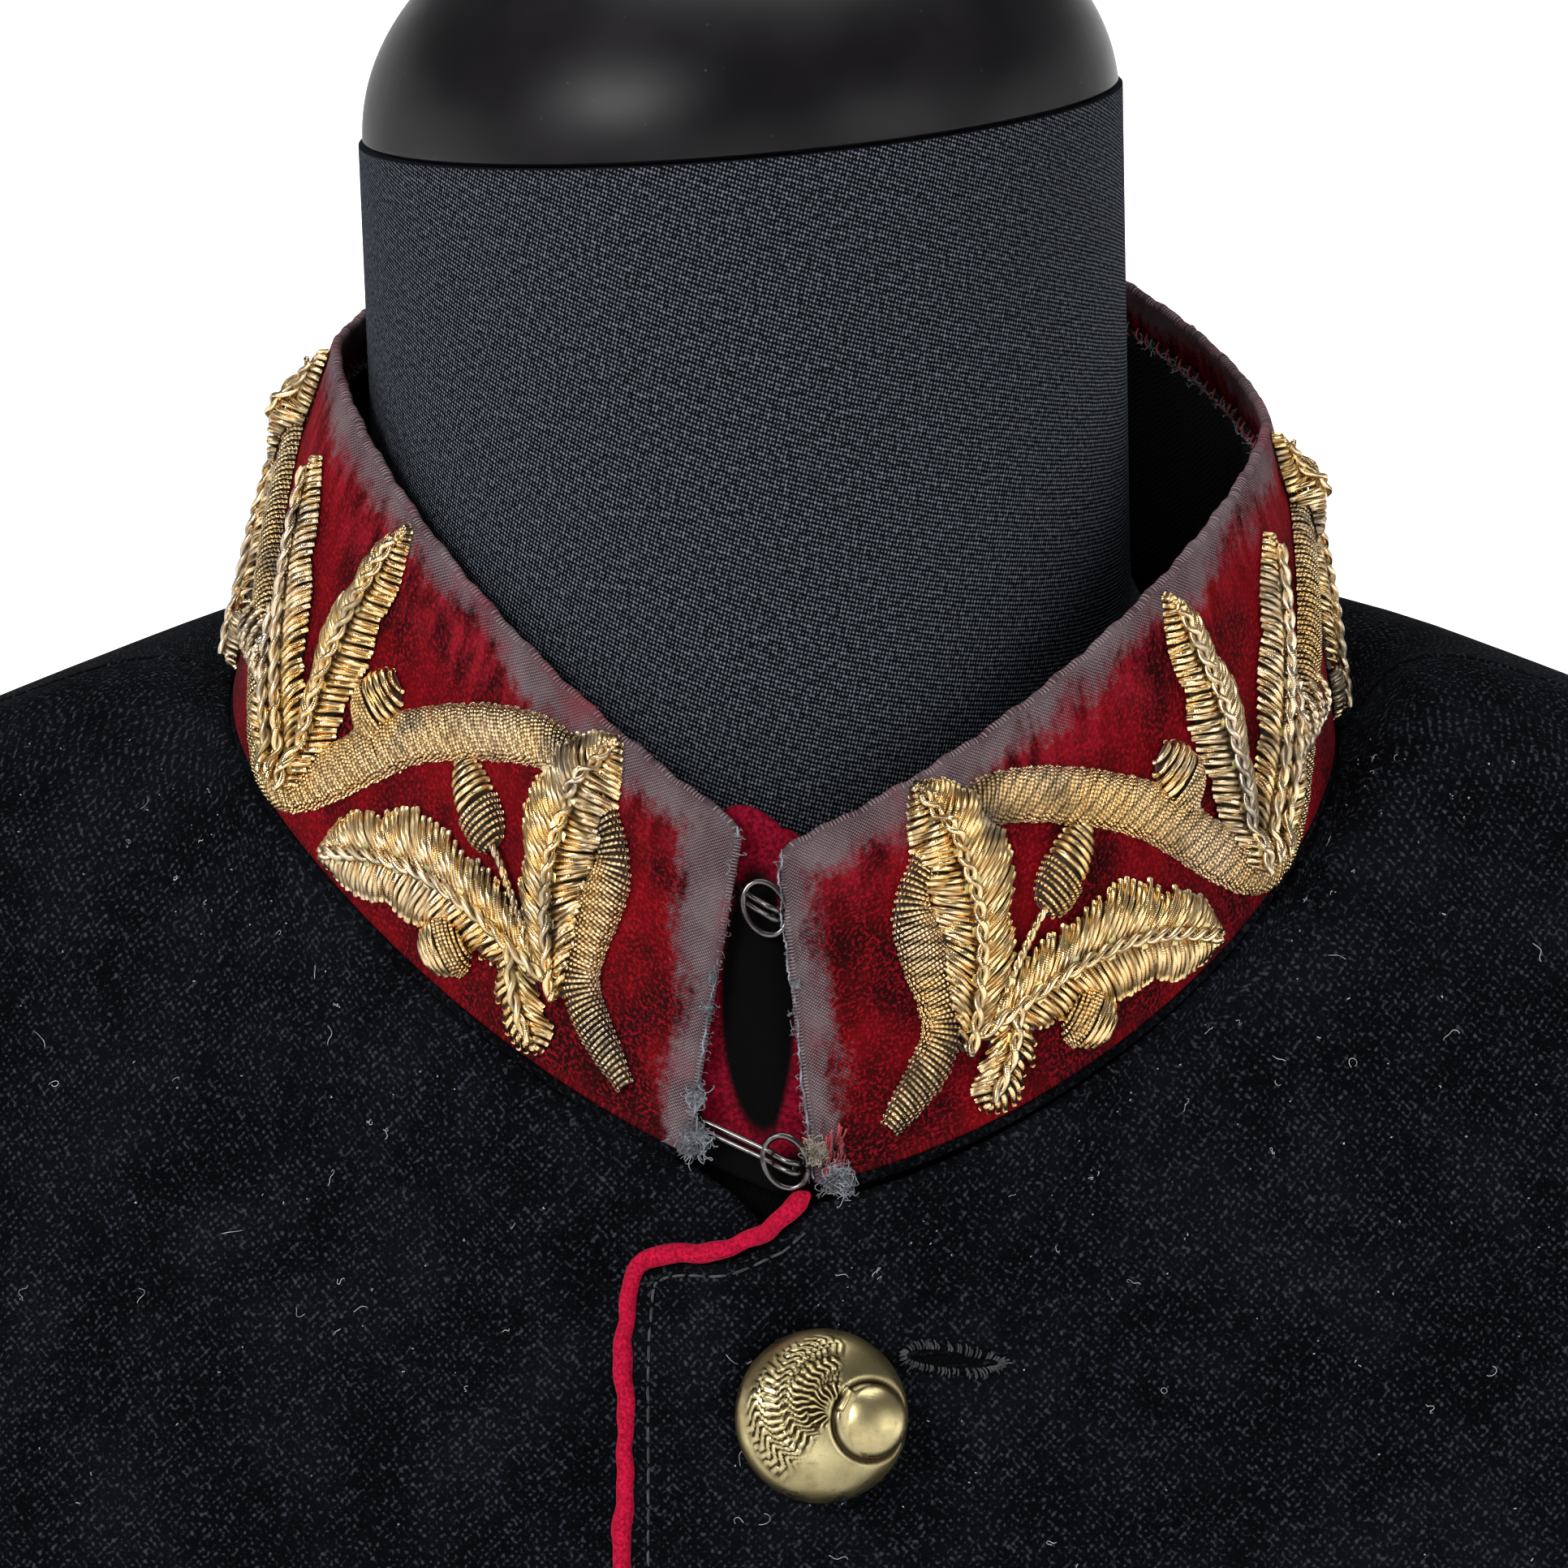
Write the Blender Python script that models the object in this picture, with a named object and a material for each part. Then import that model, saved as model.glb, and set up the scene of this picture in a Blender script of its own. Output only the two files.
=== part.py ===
"""A black dress tunic with a velvet collar, buttoned on a limbless dress form.

Metres, +Z up; the front faces -Y and the wearer's left is at +X. The origin is the centre of the
stand's underside. Cloth pieces are thin walls lofted on one body surface, `body_point(turn, row)`:
turn is the angle round the body in degrees (0 front, 90 wearer's left, 180 back), and row counts
down the ring table from the neck seam to below the hem. The embroidery lies on the collar's
surface, by its distance along the collar from the front end and its height above the neck seam.
"""

import math

import bmesh
import bpy
import numpy as np

# Cloth and seams
CLOTH = 0.0020
VELVET_WALL = 0.0016
LINING_WALL = 0.0009
SEAM = 0.0003
NECK_SEAM = 0.0008
ARMHOLE_SEAM = 0.0012
LAP_AIR = 0.0008
LAP = CLOTH + LAP_AIR

# Collar
COLLAR_HEIGHT = 0.0480
COLLAR_CORNER = 0.0025
COLLAR_BOW = 0.0010
LINING_DROP = 0.0070
LEFT_END_X = (0.0126, 0.0082)
RIGHT_END_X = (-0.0047, 0.0022)
FRONT_SHIFT = 0.0075
NECK_LEAN = 0.11
SEAM_SHEAR = -0.089
TOP_SHEAR = 0.005
SEAM_TUCK = 0.0066
TUCK_FALL = 1.3
TUCK_FRONT_Y = -0.062
TUCK_BACK_Y = -0.008
TUCK_SIDE_X = 0.040
ROUND_POINT = 0.15
TAB_HALF_WIDTH = 0.0080
TAB_WALL = 0.0015
TAB_FOOT = 0.02
TAB_DEPTH = 0.0036
TAB_TOP = 1.06
TAB_ROUND = 0.14

# Front edges
LEFT_EDGE_X = -0.0121
LAP_START_X = -0.0250
LAP_FULL_X = -0.0160
PIPING_RADIUS = 0.00115
PIPING_DEPTH = 0.0006
PIPING_START = (0.0012, 0.05)
NOTCH_ROWS = 2.6

# Buttons
BUTTON_X = 0.0128
BUTTON_TOP_Z = 1.3615
BUTTON_PITCH = 0.0530
BUTTON_COUNT = 7
BUTTON_RADIUS = 0.0115
BUTTON_HEIGHT = 0.0078
BALL_RADIUS = 0.0052
BALL_OFFSET = (0.0052, -0.0012)
BALL_RISE = 0.0016
BUTTON_LIP = 0.0013
BUTTON_SIDES = 16

# Hooks and eyes
WIRE_RADIUS = 0.00055
EYE_RADIUS = 0.0026
EYE_CLEAR = 0.0004
HOOK_SHARES = {"top": 0.80, "low": 0.10}
HOOK_RISE = 0.0019
HOOK_END_BACK = 0.0014
# The hook's bend through its eye, from its tip; its foot goes behind the collar.
# Columns: across, out
HOOK_BEND = (
    (0.0012, -0.0014),
    (0.0005, 0.0000),
    (0.0010, 0.0014),
    (0.0022, 0.0020),
)
HOOK_TIP_ACROSS = 0.0030
HOOK_ANCHOR_IN = 0.0016

# Body
UNDERARM_STEP = 0.12
HEM_ROW = 12.0
FORM_ROWS = (13.0, 12.0, 10.4, 9.2, 8.0, 6.6, 5.3, 4.1, 3.35, 2.6, 1.9, 1.2, 0.6)
SHOULDER_END_ROW = 3.35
UNDERARM_ROW = 7.2
ARMHOLE_HALF_TURN = 27.0
SIDE_SEAM_TURN = 78.0
SIDE_BACK_TURN = 109.0
SIDE_BACK_RUN = 12.0

# Embroidery
STEM_HALF_WIDTH = 0.0031
STEM_LIFT = 0.0023
LEAF_LIFT = 0.0028
NUT_LIFT = 0.0031
STALK_HALF_WIDTH = 0.0008
STALK_LIFT = 0.0016
LEAF_LOBES = 3
EMBROIDERY_SEAT = 0.0006
FOOT_STEP = 0.00005
REPEAT = 0.094

# Dress form and stand
NECK_RADIUS = 0.0545
NECK_Y = -0.0100
NECK_TOP = 1.5263
FORM_LEAST_AIR = 0.0013
FORM_FRONT_AIR = 0.0034
FORM_LOWER_AIR = 0.0060
FORM_BOTTOM_Z = 0.656
NECK_FOOT_ROW = 0.1
NECK_FOOT_DEPTH = 0.0066
NECK_ROOT_Z = 1.452
NECK_ROOT_TILT = 0.44
NECK_FLARE_ACROSS = 0.65
NECK_FLARE_UP = 0.35
CAP_RADIUS = 0.0540
CAP_HEIGHT = 0.0345
CAP_ROLL = 0.050
CAP_PITCH = 0.036
CAP_LIP = 0.0012
POLE_RADIUS = 0.016
BASE_RADIUS = 0.190
BASE_HEIGHT = 0.018
BASE_BEVEL = 0.003

# One row for each ring of the body; square widens the ring's corners, dip points its front's fall.
# Columns: half_width, side_y, front_y, back_y, front_z, side_z, back_z, square, dip
BODY_RINGS = (
    (0.0837, -0.0078, -0.0932, 0.0596, 1.3900, 1.4431, 1.4629, 0.00, 0.22),
    (0.1000, 0.0040, -0.1020, 0.0760, 1.3640, 1.4440, 1.4500, 0.00, 0.10),
    (0.1500, 0.0060, -0.1130, 0.0940, 1.3320, 1.4255, 1.4180, 0.04, 0.04),
    (0.1980, 0.0060, -0.1250, 0.1070, 1.3020, 1.4050, 1.3800, 0.07, 0.00),
    (0.2150, 0.0050, -0.1330, 0.1140, 1.2760, 1.3800, 1.3440, 0.08, 0.00),
    (0.2070, 0.0020, -0.1390, 0.1180, 1.2490, 1.3340, 1.3060, 0.09, 0.00),
    (0.1960, 0.0000, -0.1430, 0.1190, 1.2180, 1.2860, 1.2660, 0.10, 0.00),
    (0.1880, -0.0020, -0.1440, 0.1160, 1.1830, 1.2340, 1.2220, 0.10, 0.00),
    (0.1760, -0.0030, -0.1380, 0.1080, 1.1280, 1.1500, 1.1460, 0.09, 0.00),
    (0.1600, -0.0030, -0.1230, 0.0980, 1.0300, 1.0360, 1.0360, 0.07, 0.00),
    (0.1760, -0.0020, -0.1260, 0.1160, 0.9350, 0.9350, 0.9350, 0.07, 0.00),
    (0.1900, 0.0000, -0.1320, 0.1360, 0.8350, 0.8350, 0.8350, 0.06, 0.00),
    (0.2030, 0.0020, -0.1420, 0.1500, 0.7000, 0.7000, 0.7000, 0.05, 0.00),
    (0.1960, 0.0020, -0.1380, 0.1460, FORM_BOTTOM_Z, FORM_BOTTOM_Z, FORM_BOTTOM_Z, 0.05, 0.00),
)
COLLAR_TOP = (0.0671, -0.0125, -0.0764, 0.0500, 1.4335, 1.4882, 1.5089, 0.00, 0.39)

# The fronts' upper edges below the neck.
# Columns: distance out past the collar's end, drop in ring rows
LEFT_NOTCH = (
    (0.0000, 0.06),
    (0.0060, 0.22),
    (0.0120, 0.38),
    (0.0180, 0.50),
    (0.0215, 0.58),
    (0.0238, 0.70),
    (0.0247, 0.92),
)
RIGHT_NOTCH = (
    (0.0000, 0.03),
    (0.0067, 0.09),
    (0.0102, 0.22),
    (0.0200, 0.42),
    (0.0290, 0.50),
    (0.0315, 0.58),
    (0.0327, 0.72),
)

# One row for each ring of a hanging sleeve.
# Columns: x, y, z, half_across, half_deep
SLEEVE_RINGS = (
    (0.2440, 0.006, 1.215, 0.0470, 0.0740),
    (0.2500, 0.010, 1.130, 0.0440, 0.0690),
    (0.2560, 0.010, 1.050, 0.0420, 0.0640),
    (0.2600, 0.000, 0.960, 0.0390, 0.0590),
    (0.2620, -0.016, 0.880, 0.0360, 0.0540),
    (0.2620, -0.034, 0.800, 0.0330, 0.0500),
)
# The creases round the elbow.
# Columns: z, angle, slope, depth
SLEEVE_FOLDS = (
    (1.085, 235.0, 0.00016, 0.0034),
    (1.045, 250.0, -0.00014, 0.0040),
    (1.005, 225.0, 0.00012, 0.0030),
    (1.150, 120.0, 0.00010, 0.0022),
)
FOLD_HALF_HEIGHT = 0.014
FOLD_SPREAD = 55.0

# The serpentine stem's turning points.
# Columns: metres along the collar, metres up it
STEM_KEYS = (
    (0.0118, 0.0044),
    (0.0205, 0.0150),
    (0.0176, 0.0320),
    (0.0300, 0.0395),
    (0.0540, 0.0270),
    (0.0800, 0.0040),
    (0.1000, 0.0190),
    (0.1230, 0.0392),
    (0.1480, 0.0270),
    (0.1740, 0.0040),
    (0.1950, 0.0190),
    (0.2200, 0.0380),
)

# Leaves of the two sprays in one repeat; bow is the midrib's sideways rise at mid length.
# Columns: along, up, tip_along, tip_up, bow, half_width
LEAVES = (
    (0.0235, 0.0095, 0.0195, 0.0462, -0.0050, 0.0062),
    (0.0250, 0.0115, 0.0665, 0.0022, 0.0055, 0.0062),
    (0.0310, 0.0125, 0.0256, 0.0022, 0.0010, 0.0040),
    (0.0745, 0.0055, 0.0695, 0.0455, -0.0020, 0.0048),
    (0.0765, 0.0055, 0.0975, 0.0390, -0.0020, 0.0046),
    (0.0790, 0.0050, 0.0925, 0.0220, -0.0015, 0.0034),
)
# Acorns, each on a bent stalk.
# Columns: along, up, knee_along, knee_up, nut_along, nut_up, length, half_width
ACORNS = (
    (0.0290, 0.0145, 0.0350, 0.0205, 0.0418, 0.0253, 0.0112, 0.0036),
    (0.0320, 0.0125, 0.0372, 0.0105, 0.0425, 0.0055, 0.0086, 0.0032),
    (0.0735, 0.0070, 0.0685, 0.0140, 0.0637, 0.0250, 0.0108, 0.0036),
)


def smoothstep(value, low, high):
    """0 below low, 1 above high, and smooth between them."""
    share = min(max((value - low) / (high - low), 0.0), 1.0)
    return share * share * (3.0 - 2.0 * share)


def spline_row(table, row):
    """The table's columns at a row number, on a smooth curve through its rows."""
    rows = np.asarray(table, float)
    last = len(rows) - 1
    i = int(min(max(math.floor(row), 0), last - 1))
    t = row - i
    a, b = rows[i], rows[i + 1]
    start_slope = (b - rows[i - 1]) / 2.0 if i > 0 else b - a
    end_slope = (rows[i + 2] - a) / 2.0 if i + 2 <= last else b - a
    return (
        a * (2 * t**3 - 3 * t**2 + 1)
        + start_slope * (t**3 - 2 * t**2 + t)
        + b * (3 * t**2 - 2 * t**3)
        + end_slope * (t**3 - t**2)
    )


def unit(vector):
    """The vector at length 1."""
    return vector / np.linalg.norm(vector)


def ring_point(ring, turn):
    """A point of one ring at an angle round it."""
    half_width, side_y, front_y, back_y, front_z, side_z, back_z, square, dip = ring
    angle = math.radians(turn)
    c, s = math.cos(angle), math.sin(angle)
    x = half_width * (s + square * c * c * math.sin(3 * angle))
    if c > 0:
        tip = (1 - abs(s)) ** 1.5
        y = side_y + (front_y - side_y) * ((1 - ROUND_POINT) * c + ROUND_POINT * tip)
        z = side_z + (front_z - side_z) * ((1 - dip) * c**1.6 + dip * tip)
    else:
        y = side_y + (back_y - side_y) * -c
        z = side_z + (back_z - side_z) * abs(c) ** 1.6
    return np.array((x, y, z))


def twisted(point, front_y, shear, tuck, amount=1.0):
    """The worn collar's twist: off centre, lower on the wearer's left, tucked in on the right."""
    slide = shear * (point[1] - front_y)
    lean = NECK_LEAN * (point[0] + slide)
    share = smoothstep(point[1], TUCK_FRONT_Y, TUCK_BACK_Y) * smoothstep(-point[0], 0.0, TUCK_SIDE_X)
    tucked = tuck * share
    return point + amount * np.array((FRONT_SHIFT + slide + tucked, 0.0, -lean - TUCK_FALL * tucked))


def body_point(turn, row):
    """A point of the tunic's outer surface."""
    point = ring_point(spline_row(BODY_RINGS, row), turn)
    return twisted(point, BODY_RINGS[0][2], SEAM_SHEAR, SEAM_TUCK, 1.0 - smoothstep(row, 0.0, 1.2))


def body_normal(turn, row):
    """The outward normal of the tunic's outer surface."""
    along = body_point(turn + 0.5, row) - body_point(turn - 0.5, row)
    down = body_point(turn, row + 0.05) - body_point(turn, max(row - 0.05, 0.0))
    return unit(np.cross(down, along))


def inset_point(turn, row, depth):
    """A point under the outer surface by depth."""
    return body_point(turn, row) - body_normal(turn, row) * depth


def turn_at_x(x, row):
    """The turn at which the front of the body reaches that x."""
    turns = np.linspace(-40.0, 40.0, 81)
    xs = [body_point(turn, row)[0] for turn in turns]
    return float(np.interp(x, xs, turns))


def row_at_z(x, z):
    """The row at which the front of the body, at that x, reaches that height."""
    rows = np.linspace(0.0, HEM_ROW, 121)
    zs = [body_point(turn_at_x(x, row), row)[2] for row in rows]
    return float(np.interp(-z, -np.asarray(zs), rows))


def new_material(name, colour, roughness, metallic=0.0):
    """A plain finish in the part's colour."""
    material = bpy.data.materials.new(name)
    material.use_nodes = True
    shader = material.node_tree.nodes["Principled BSDF"]
    shader.inputs["Base Color"].default_value = (*colour, 1.0)
    shader.inputs["Roughness"].default_value = roughness
    shader.inputs["Metallic"].default_value = metallic
    return material


def add_object(name, mesh, material, smooth_angle=40.0):
    """Links a mesh as a named sub-part."""
    mesh.materials.append(material)
    obj = bpy.data.objects.new(name, mesh)
    bpy.context.scene.collection.objects.link(obj)
    mesh.shade_smooth()
    mesh.set_sharp_from_angle(angle=math.radians(smooth_angle))
    return obj


def grid_mesh(name, grid, closed=False, capped=False):
    """Quads through a grid of points, closed round its columns and capped at its ends if asked."""
    rows, columns = np.asarray(grid).shape[:2]
    work = bmesh.new()
    verts = [[work.verts.new(point) for point in line] for line in grid]
    for i in range(rows - 1):
        for j in range(columns if closed else columns - 1):
            k = (j + 1) % columns
            work.faces.new((verts[i][j], verts[i + 1][j], verts[i + 1][k], verts[i][k]))
    if capped:
        work.faces.new(verts[0])
        work.faces.new(verts[-1])
        bmesh.ops.recalc_face_normals(work, faces=work.faces)
    mesh = bpy.data.meshes.new(name)
    work.to_mesh(mesh)
    work.free()
    return mesh


def pulled_in(grid, sides):
    """The grid with its named borders (t, b, l, r) moved in along the surface by half a seam."""
    grid = grid.copy()
    lines = {
        "t": (grid[0], grid[1]),
        "b": (grid[-1], grid[-2]),
        "l": (grid[:, 0], grid[:, 1]),
        "r": (grid[:, -1], grid[:, -2]),
    }
    for side in sides:
        border, inner = lines[side]
        step = inner - border
        gap = NECK_SEAM if side == "t" else SEAM / 2
        border += step / np.linalg.norm(step, axis=-1, keepdims=True) * gap
    return grid


def add_wall(name, places, surface, depths, gaps, material, mirrored=False):
    """A cloth wall between two depths of a surface, through a grid of places on it.

    gaps names the borders that stop half a seam short. A mirrored wall's columns run the other
    way round the body.
    """
    faces = []
    for depth in depths:
        grid = np.array([[surface(*place, depth) for place in line] for line in places])
        grid = pulled_in(grid, gaps)
        faces.append(grid[:, ::-1] if mirrored else grid)
    rows, columns = faces[0].shape[:2]
    work = bmesh.new()
    outer, inner = [[[work.verts.new(point) for point in line] for line in grid] for grid in faces]
    for i in range(rows - 1):
        for j in range(columns - 1):
            work.faces.new((outer[i][j], outer[i + 1][j], outer[i + 1][j + 1], outer[i][j + 1]))
            work.faces.new((inner[i][j], inner[i][j + 1], inner[i + 1][j + 1], inner[i + 1][j]))
    for i in range(rows - 1):
        work.faces.new((outer[i][0], inner[i][0], inner[i + 1][0], outer[i + 1][0]))
        work.faces.new((outer[i][-1], outer[i + 1][-1], inner[i + 1][-1], inner[i][-1]))
    for j in range(columns - 1):
        work.faces.new((outer[0][j], outer[0][j + 1], inner[0][j + 1], inner[0][j]))
        work.faces.new((outer[-1][j], inner[-1][j], inner[-1][j + 1], outer[-1][j + 1]))
    mesh = bpy.data.meshes.new(name)
    work.to_mesh(mesh)
    work.free()
    return add_object(name, mesh, material)


def tube_mesh(name, path, radius, sides, closed=False):
    """A round wire or cord along a path of points."""
    path = np.asarray(path, float)
    count = len(path)
    rings = []
    side_axis = None
    for i in range(count):
        before = path[(i - 1) % count] if closed or i > 0 else path[i]
        after = path[(i + 1) % count] if closed or i < count - 1 else path[i]
        tangent = unit(after - before)
        if side_axis is None:
            guide = np.array((0.0, 0.0, 1.0)) if abs(tangent[2]) < 0.8 else np.array((1.0, 0.0, 0.0))
            side_axis = np.cross(tangent, guide)
        side_axis = unit(side_axis - tangent * side_axis.dot(tangent))
        other_axis = np.cross(tangent, side_axis)
        angles = [2 * math.pi * k / sides for k in range(sides)]
        ways = [side_axis * math.cos(a) + other_axis * math.sin(a) for a in angles]
        rings.append([path[i] + radius * way for way in ways])
    if closed:
        rings.append(rings[0])
    mesh = grid_mesh(name, rings, closed=True, capped=not closed)
    if closed:
        work = bmesh.new()
        work.from_mesh(mesh)
        bmesh.ops.remove_doubles(work, verts=work.verts, dist=radius * 0.01)
        bmesh.ops.recalc_face_normals(work, faces=work.faces)
        work.to_mesh(mesh)
        work.free()
    return mesh


def turned_mesh(name, profile, segments):
    """A solid turned round Z from a profile of (radius, height), from its foot to its top."""
    rings = []
    for radius, height in profile:
        angles = [2 * math.pi * k / segments for k in range(segments)]
        rings.append([(radius * math.cos(a), radius * math.sin(a), height) for a in angles])
    return grid_mesh(name, rings, closed=True, capped=True)


# The tunic's body
def armhole_share(row):
    """How open the armhole is at a row: 1 at its middle, 0 at its ends."""
    middle = (SHOULDER_END_ROW + UNDERARM_ROW) / 2
    half = (UNDERARM_ROW - SHOULDER_END_ROW) / 2
    return math.sqrt(max(1 - ((row - middle) / half) ** 2, 0.0))


def below_armhole(turn):
    """The row of the armhole's lower edge at a turn."""
    middle = (SHOULDER_END_ROW + UNDERARM_ROW) / 2
    half = (UNDERARM_ROW - SHOULDER_END_ROW) / 2
    return middle + half * math.sqrt(max(1 - ((turn - 90.0) / ARMHOLE_HALF_TURN) ** 2, 0.0))


def body_rows():
    """The rows at which every body panel has points."""
    upper = (0.0, 0.25, 0.6, 1.2, 1.9, 2.6)
    armhole = (SHOULDER_END_ROW, 3.45, 3.65, 4.0, 4.65, 5.3, 5.95, 6.56, 7.0, UNDERARM_ROW)
    lower = (7.8, 8.4, 8.8, 9.2, 9.8, 10.8, HEM_ROW)
    return [*upper, *armhole, *lower]


def front_edge_turn(row):
    """Where the front panel ends at the side: shoulder seam, armhole, then side seam."""
    open_turn = ARMHOLE_HALF_TURN * armhole_share(row)
    if row > (SHOULDER_END_ROW + UNDERARM_ROW) / 2:
        open_turn = max(open_turn, 90.0 - SIDE_SEAM_TURN)
    return 90.0 - open_turn


def side_back_turn(row):
    """The side-back seam, which runs back towards the waist."""
    return SIDE_BACK_TURN + SIDE_BACK_RUN * smoothstep(row, UNDERARM_ROW, 9.4)


def back_edge_turn(row):
    """Where a back panel starts: shoulder seam, armhole, then side-back seam."""
    open_turn = 90.0 + ARMHOLE_HALF_TURN * armhole_share(row)
    if row > (SHOULDER_END_ROW + UNDERARM_ROW) / 2:
        open_turn = max(open_turn, side_back_turn(row))
    return open_turn


def notch_drop(notch, out):
    """Rows from the neck seam down to a front's upper edge, past the collar's end."""
    outs, drops = np.asarray(notch, float).T
    return float(np.interp(out, outs, drops))


def front_places(side):
    """Turns and rows of a front: side 1 is the wearer's left, which laps over the right, side -1."""
    notch = LEFT_NOTCH if side > 0 else RIGHT_NOTCH
    seam_x = LEFT_END_X[0] if side > 0 else RIGHT_END_X[0]
    outs = [out for out, _ in notch][::-1]
    body_columns = 6
    grid = []
    for row in body_rows():
        line = []
        for out in outs:
            drop = notch_drop(notch, out)
            lowered = row + drop * max(0.0, 1 - row / NOTCH_ROWS)
            line.append((turn_at_x(seam_x - side * out, lowered), lowered))
        if side < 0:
            line.extend((turn_at_x(x, row), row) for x in (LAP_FULL_X, LAP_START_X))
        start = line[-1][0]
        end = side * front_edge_turn(row)
        first_drop = notch[0][1] * max(0.0, 1 - row / NOTCH_ROWS)
        for k in range(1, body_columns + 1):
            line.append((start + (end - start) * k / body_columns, row + first_drop * (k < body_columns)))
        grid.append(line)
    return grid


def lap_depth(turn, row):
    """How far the under front is pressed in below the upper one."""
    across = smoothstep(body_point(turn, row)[0], LAP_START_X, LAP_FULL_X)
    near = 1.0 - smoothstep(abs(turn), 30.0, 40.0)
    return LAP * across * near * smoothstep(row, 0.0, 0.12)


def lapped_point(turn, row, depth):
    """A point of the under front."""
    return inset_point(turn, row, lap_depth(turn, row) + depth)


def add_fronts(wool):
    """The two fronts; the wearer's left laps over the right."""
    add_wall("front_left", front_places(1), inset_point, (0.0, CLOTH), "tr", wool)
    add_wall("front_right", front_places(-1), lapped_point, (0.0, CLOTH), "tr", wool, mirrored=True)


def add_sides(wool):
    """The narrow panel under each arm."""
    rows = [UNDERARM_ROW - 0.1, *[row for row in body_rows() if row >= UNDERARM_ROW]]
    for side, name in ((1, "side_left"), (-1, "side_right")):
        places = []
        for row in rows:
            turns = np.linspace(SIDE_SEAM_TURN, side_back_turn(row), 5)
            tops = [row] * len(turns)
            if row == rows[0]:
                tops = [below_armhole(turn) for turn in turns]
            elif row == rows[1]:
                tops = [max(row, below_armhole(turn) + UNDERARM_STEP) for turn in turns]
            places.append([(side * turn, top) for turn, top in zip(turns, tops)])
        add_wall(name, places, inset_point, (0.0, CLOTH), "tlr", wool, mirrored=side < 0)


def add_backs(wool):
    """The two backs, joined at the centre-back seam."""
    for side, name in ((1, "back_left"), (-1, "back_right")):
        places = []
        for row in body_rows():
            turns = np.linspace(back_edge_turn(row), 180.0, 7)
            places.append([(side * turn, row) for turn in turns])
        add_wall(name, places, inset_point, (0.0, CLOTH), "tlr", wool, mirrored=side < 0)


def add_piping(felt):
    """The crimson cord along the upper front's edge, from the collar's end to the hem."""
    path = []
    seam_x = LEFT_END_X[0]
    clear = PIPING_RADIUS + SEAM
    outs = [out for out, _ in LEFT_NOTCH]
    edge = []
    for out in outs:
        edge.append((seam_x - out, notch_drop(LEFT_NOTCH, out)))
    edge[0] = (seam_x - PIPING_START[0], edge[0][1] + PIPING_START[1])
    for row in (0.9, 1.2, 1.9, 2.6, *np.linspace(SHOULDER_END_ROW, HEM_ROW - 0.03, 18)):
        edge.append((LEFT_EDGE_X, row))
    for i, (x, row) in enumerate(edge):
        turn = turn_at_x(x, row)
        point = inset_point(turn, row, PIPING_DEPTH)
        before = edge[max(i - 1, 0)]
        after = edge[min(i + 1, len(edge) - 1)]
        start = body_point(turn_at_x(before[0], before[1]), before[1])
        end = body_point(turn_at_x(after[0], after[1]), after[1])
        away = unit(np.cross(body_normal(turn, row), end - start))
        path.append(point - away * clear)
    add_object("front_piping", tube_mesh("front_piping", path, PIPING_RADIUS, 6), felt, 80.0)


# The sleeves
def armhole_point(angle):
    """A point of the armhole's edge: 0 at the shoulder, 90 at the back, 180 under the arm."""
    middle = (SHOULDER_END_ROW + UNDERARM_ROW) / 2
    half = (UNDERARM_ROW - SHOULDER_END_ROW) / 2
    a = math.radians(angle)
    return body_point(90.0 + ARMHOLE_HALF_TURN * math.sin(a), middle - half * math.cos(a))


def sleeve_ring_point(ring, angle):
    """A point of one hanging sleeve ring: 0 outside, 90 back, 180 next to the body."""
    x, y, z, across, deep = ring
    a = math.radians(angle)
    return np.array((x + across * math.cos(a), y + deep * math.sin(a), z))


def sleeve_fold(angle, z):
    """The sleeve's main creases round the elbow, as a depth under the smooth tube."""
    depth = 0.0
    for fold_z, fold_angle, slope, reach in SLEEVE_FOLDS:
        away = (angle - fold_angle + 180.0) % 360.0 - 180.0
        across = (z - fold_z - slope * away) / FOLD_HALF_HEIGHT
        depth += reach * math.exp(-across * across - (away / FOLD_SPREAD) ** 2)
    return depth


def sleeve_point(angle, step):
    """A point of the left sleeve: step 0 at the armhole, 1 at the first hanging ring."""
    if step > 1.0:
        point = sleeve_ring_point(spline_row(SLEEVE_RINGS, step - 1.0), angle)
        a = math.radians(angle)
        inward = -np.array((math.cos(a), math.sin(a), 0.0))
        return point + inward * sleeve_fold(angle, point[2])
    top = (1 + math.cos(math.radians(angle))) / 2
    out = unit(np.array((0.85 - 0.21 * top, 0.0, -0.53 - 0.25 * top)))
    start = armhole_point(angle) + out * ARMHOLE_SEAM
    end = sleeve_ring_point(SLEEVE_RINGS[0], angle)
    reach = np.linalg.norm(end - start)
    t = step
    return (
        start * (2 * t**3 - 3 * t**2 + 1)
        + out * reach * (t**3 - 2 * t**2 + t)
        + end * (3 * t**2 - 2 * t**3)
        + np.array((0.0, 0.0, -0.9)) * reach * (t**3 - t**2)
    )


def sleeve_inset(angle, step, side, depth):
    """A point under the outer surface of the sleeve on that side."""
    last = len(SLEEVE_RINGS)
    along = sleeve_point(angle + 2.0, step) - sleeve_point(angle - 2.0, step)
    down = sleeve_point(angle, min(step + 0.02, last)) - sleeve_point(angle, max(step - 0.02, 0.0))
    point = sleeve_point(angle, step) - unit(np.cross(down, along)) * depth
    return point * (side, 1.0, 1.0)


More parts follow.
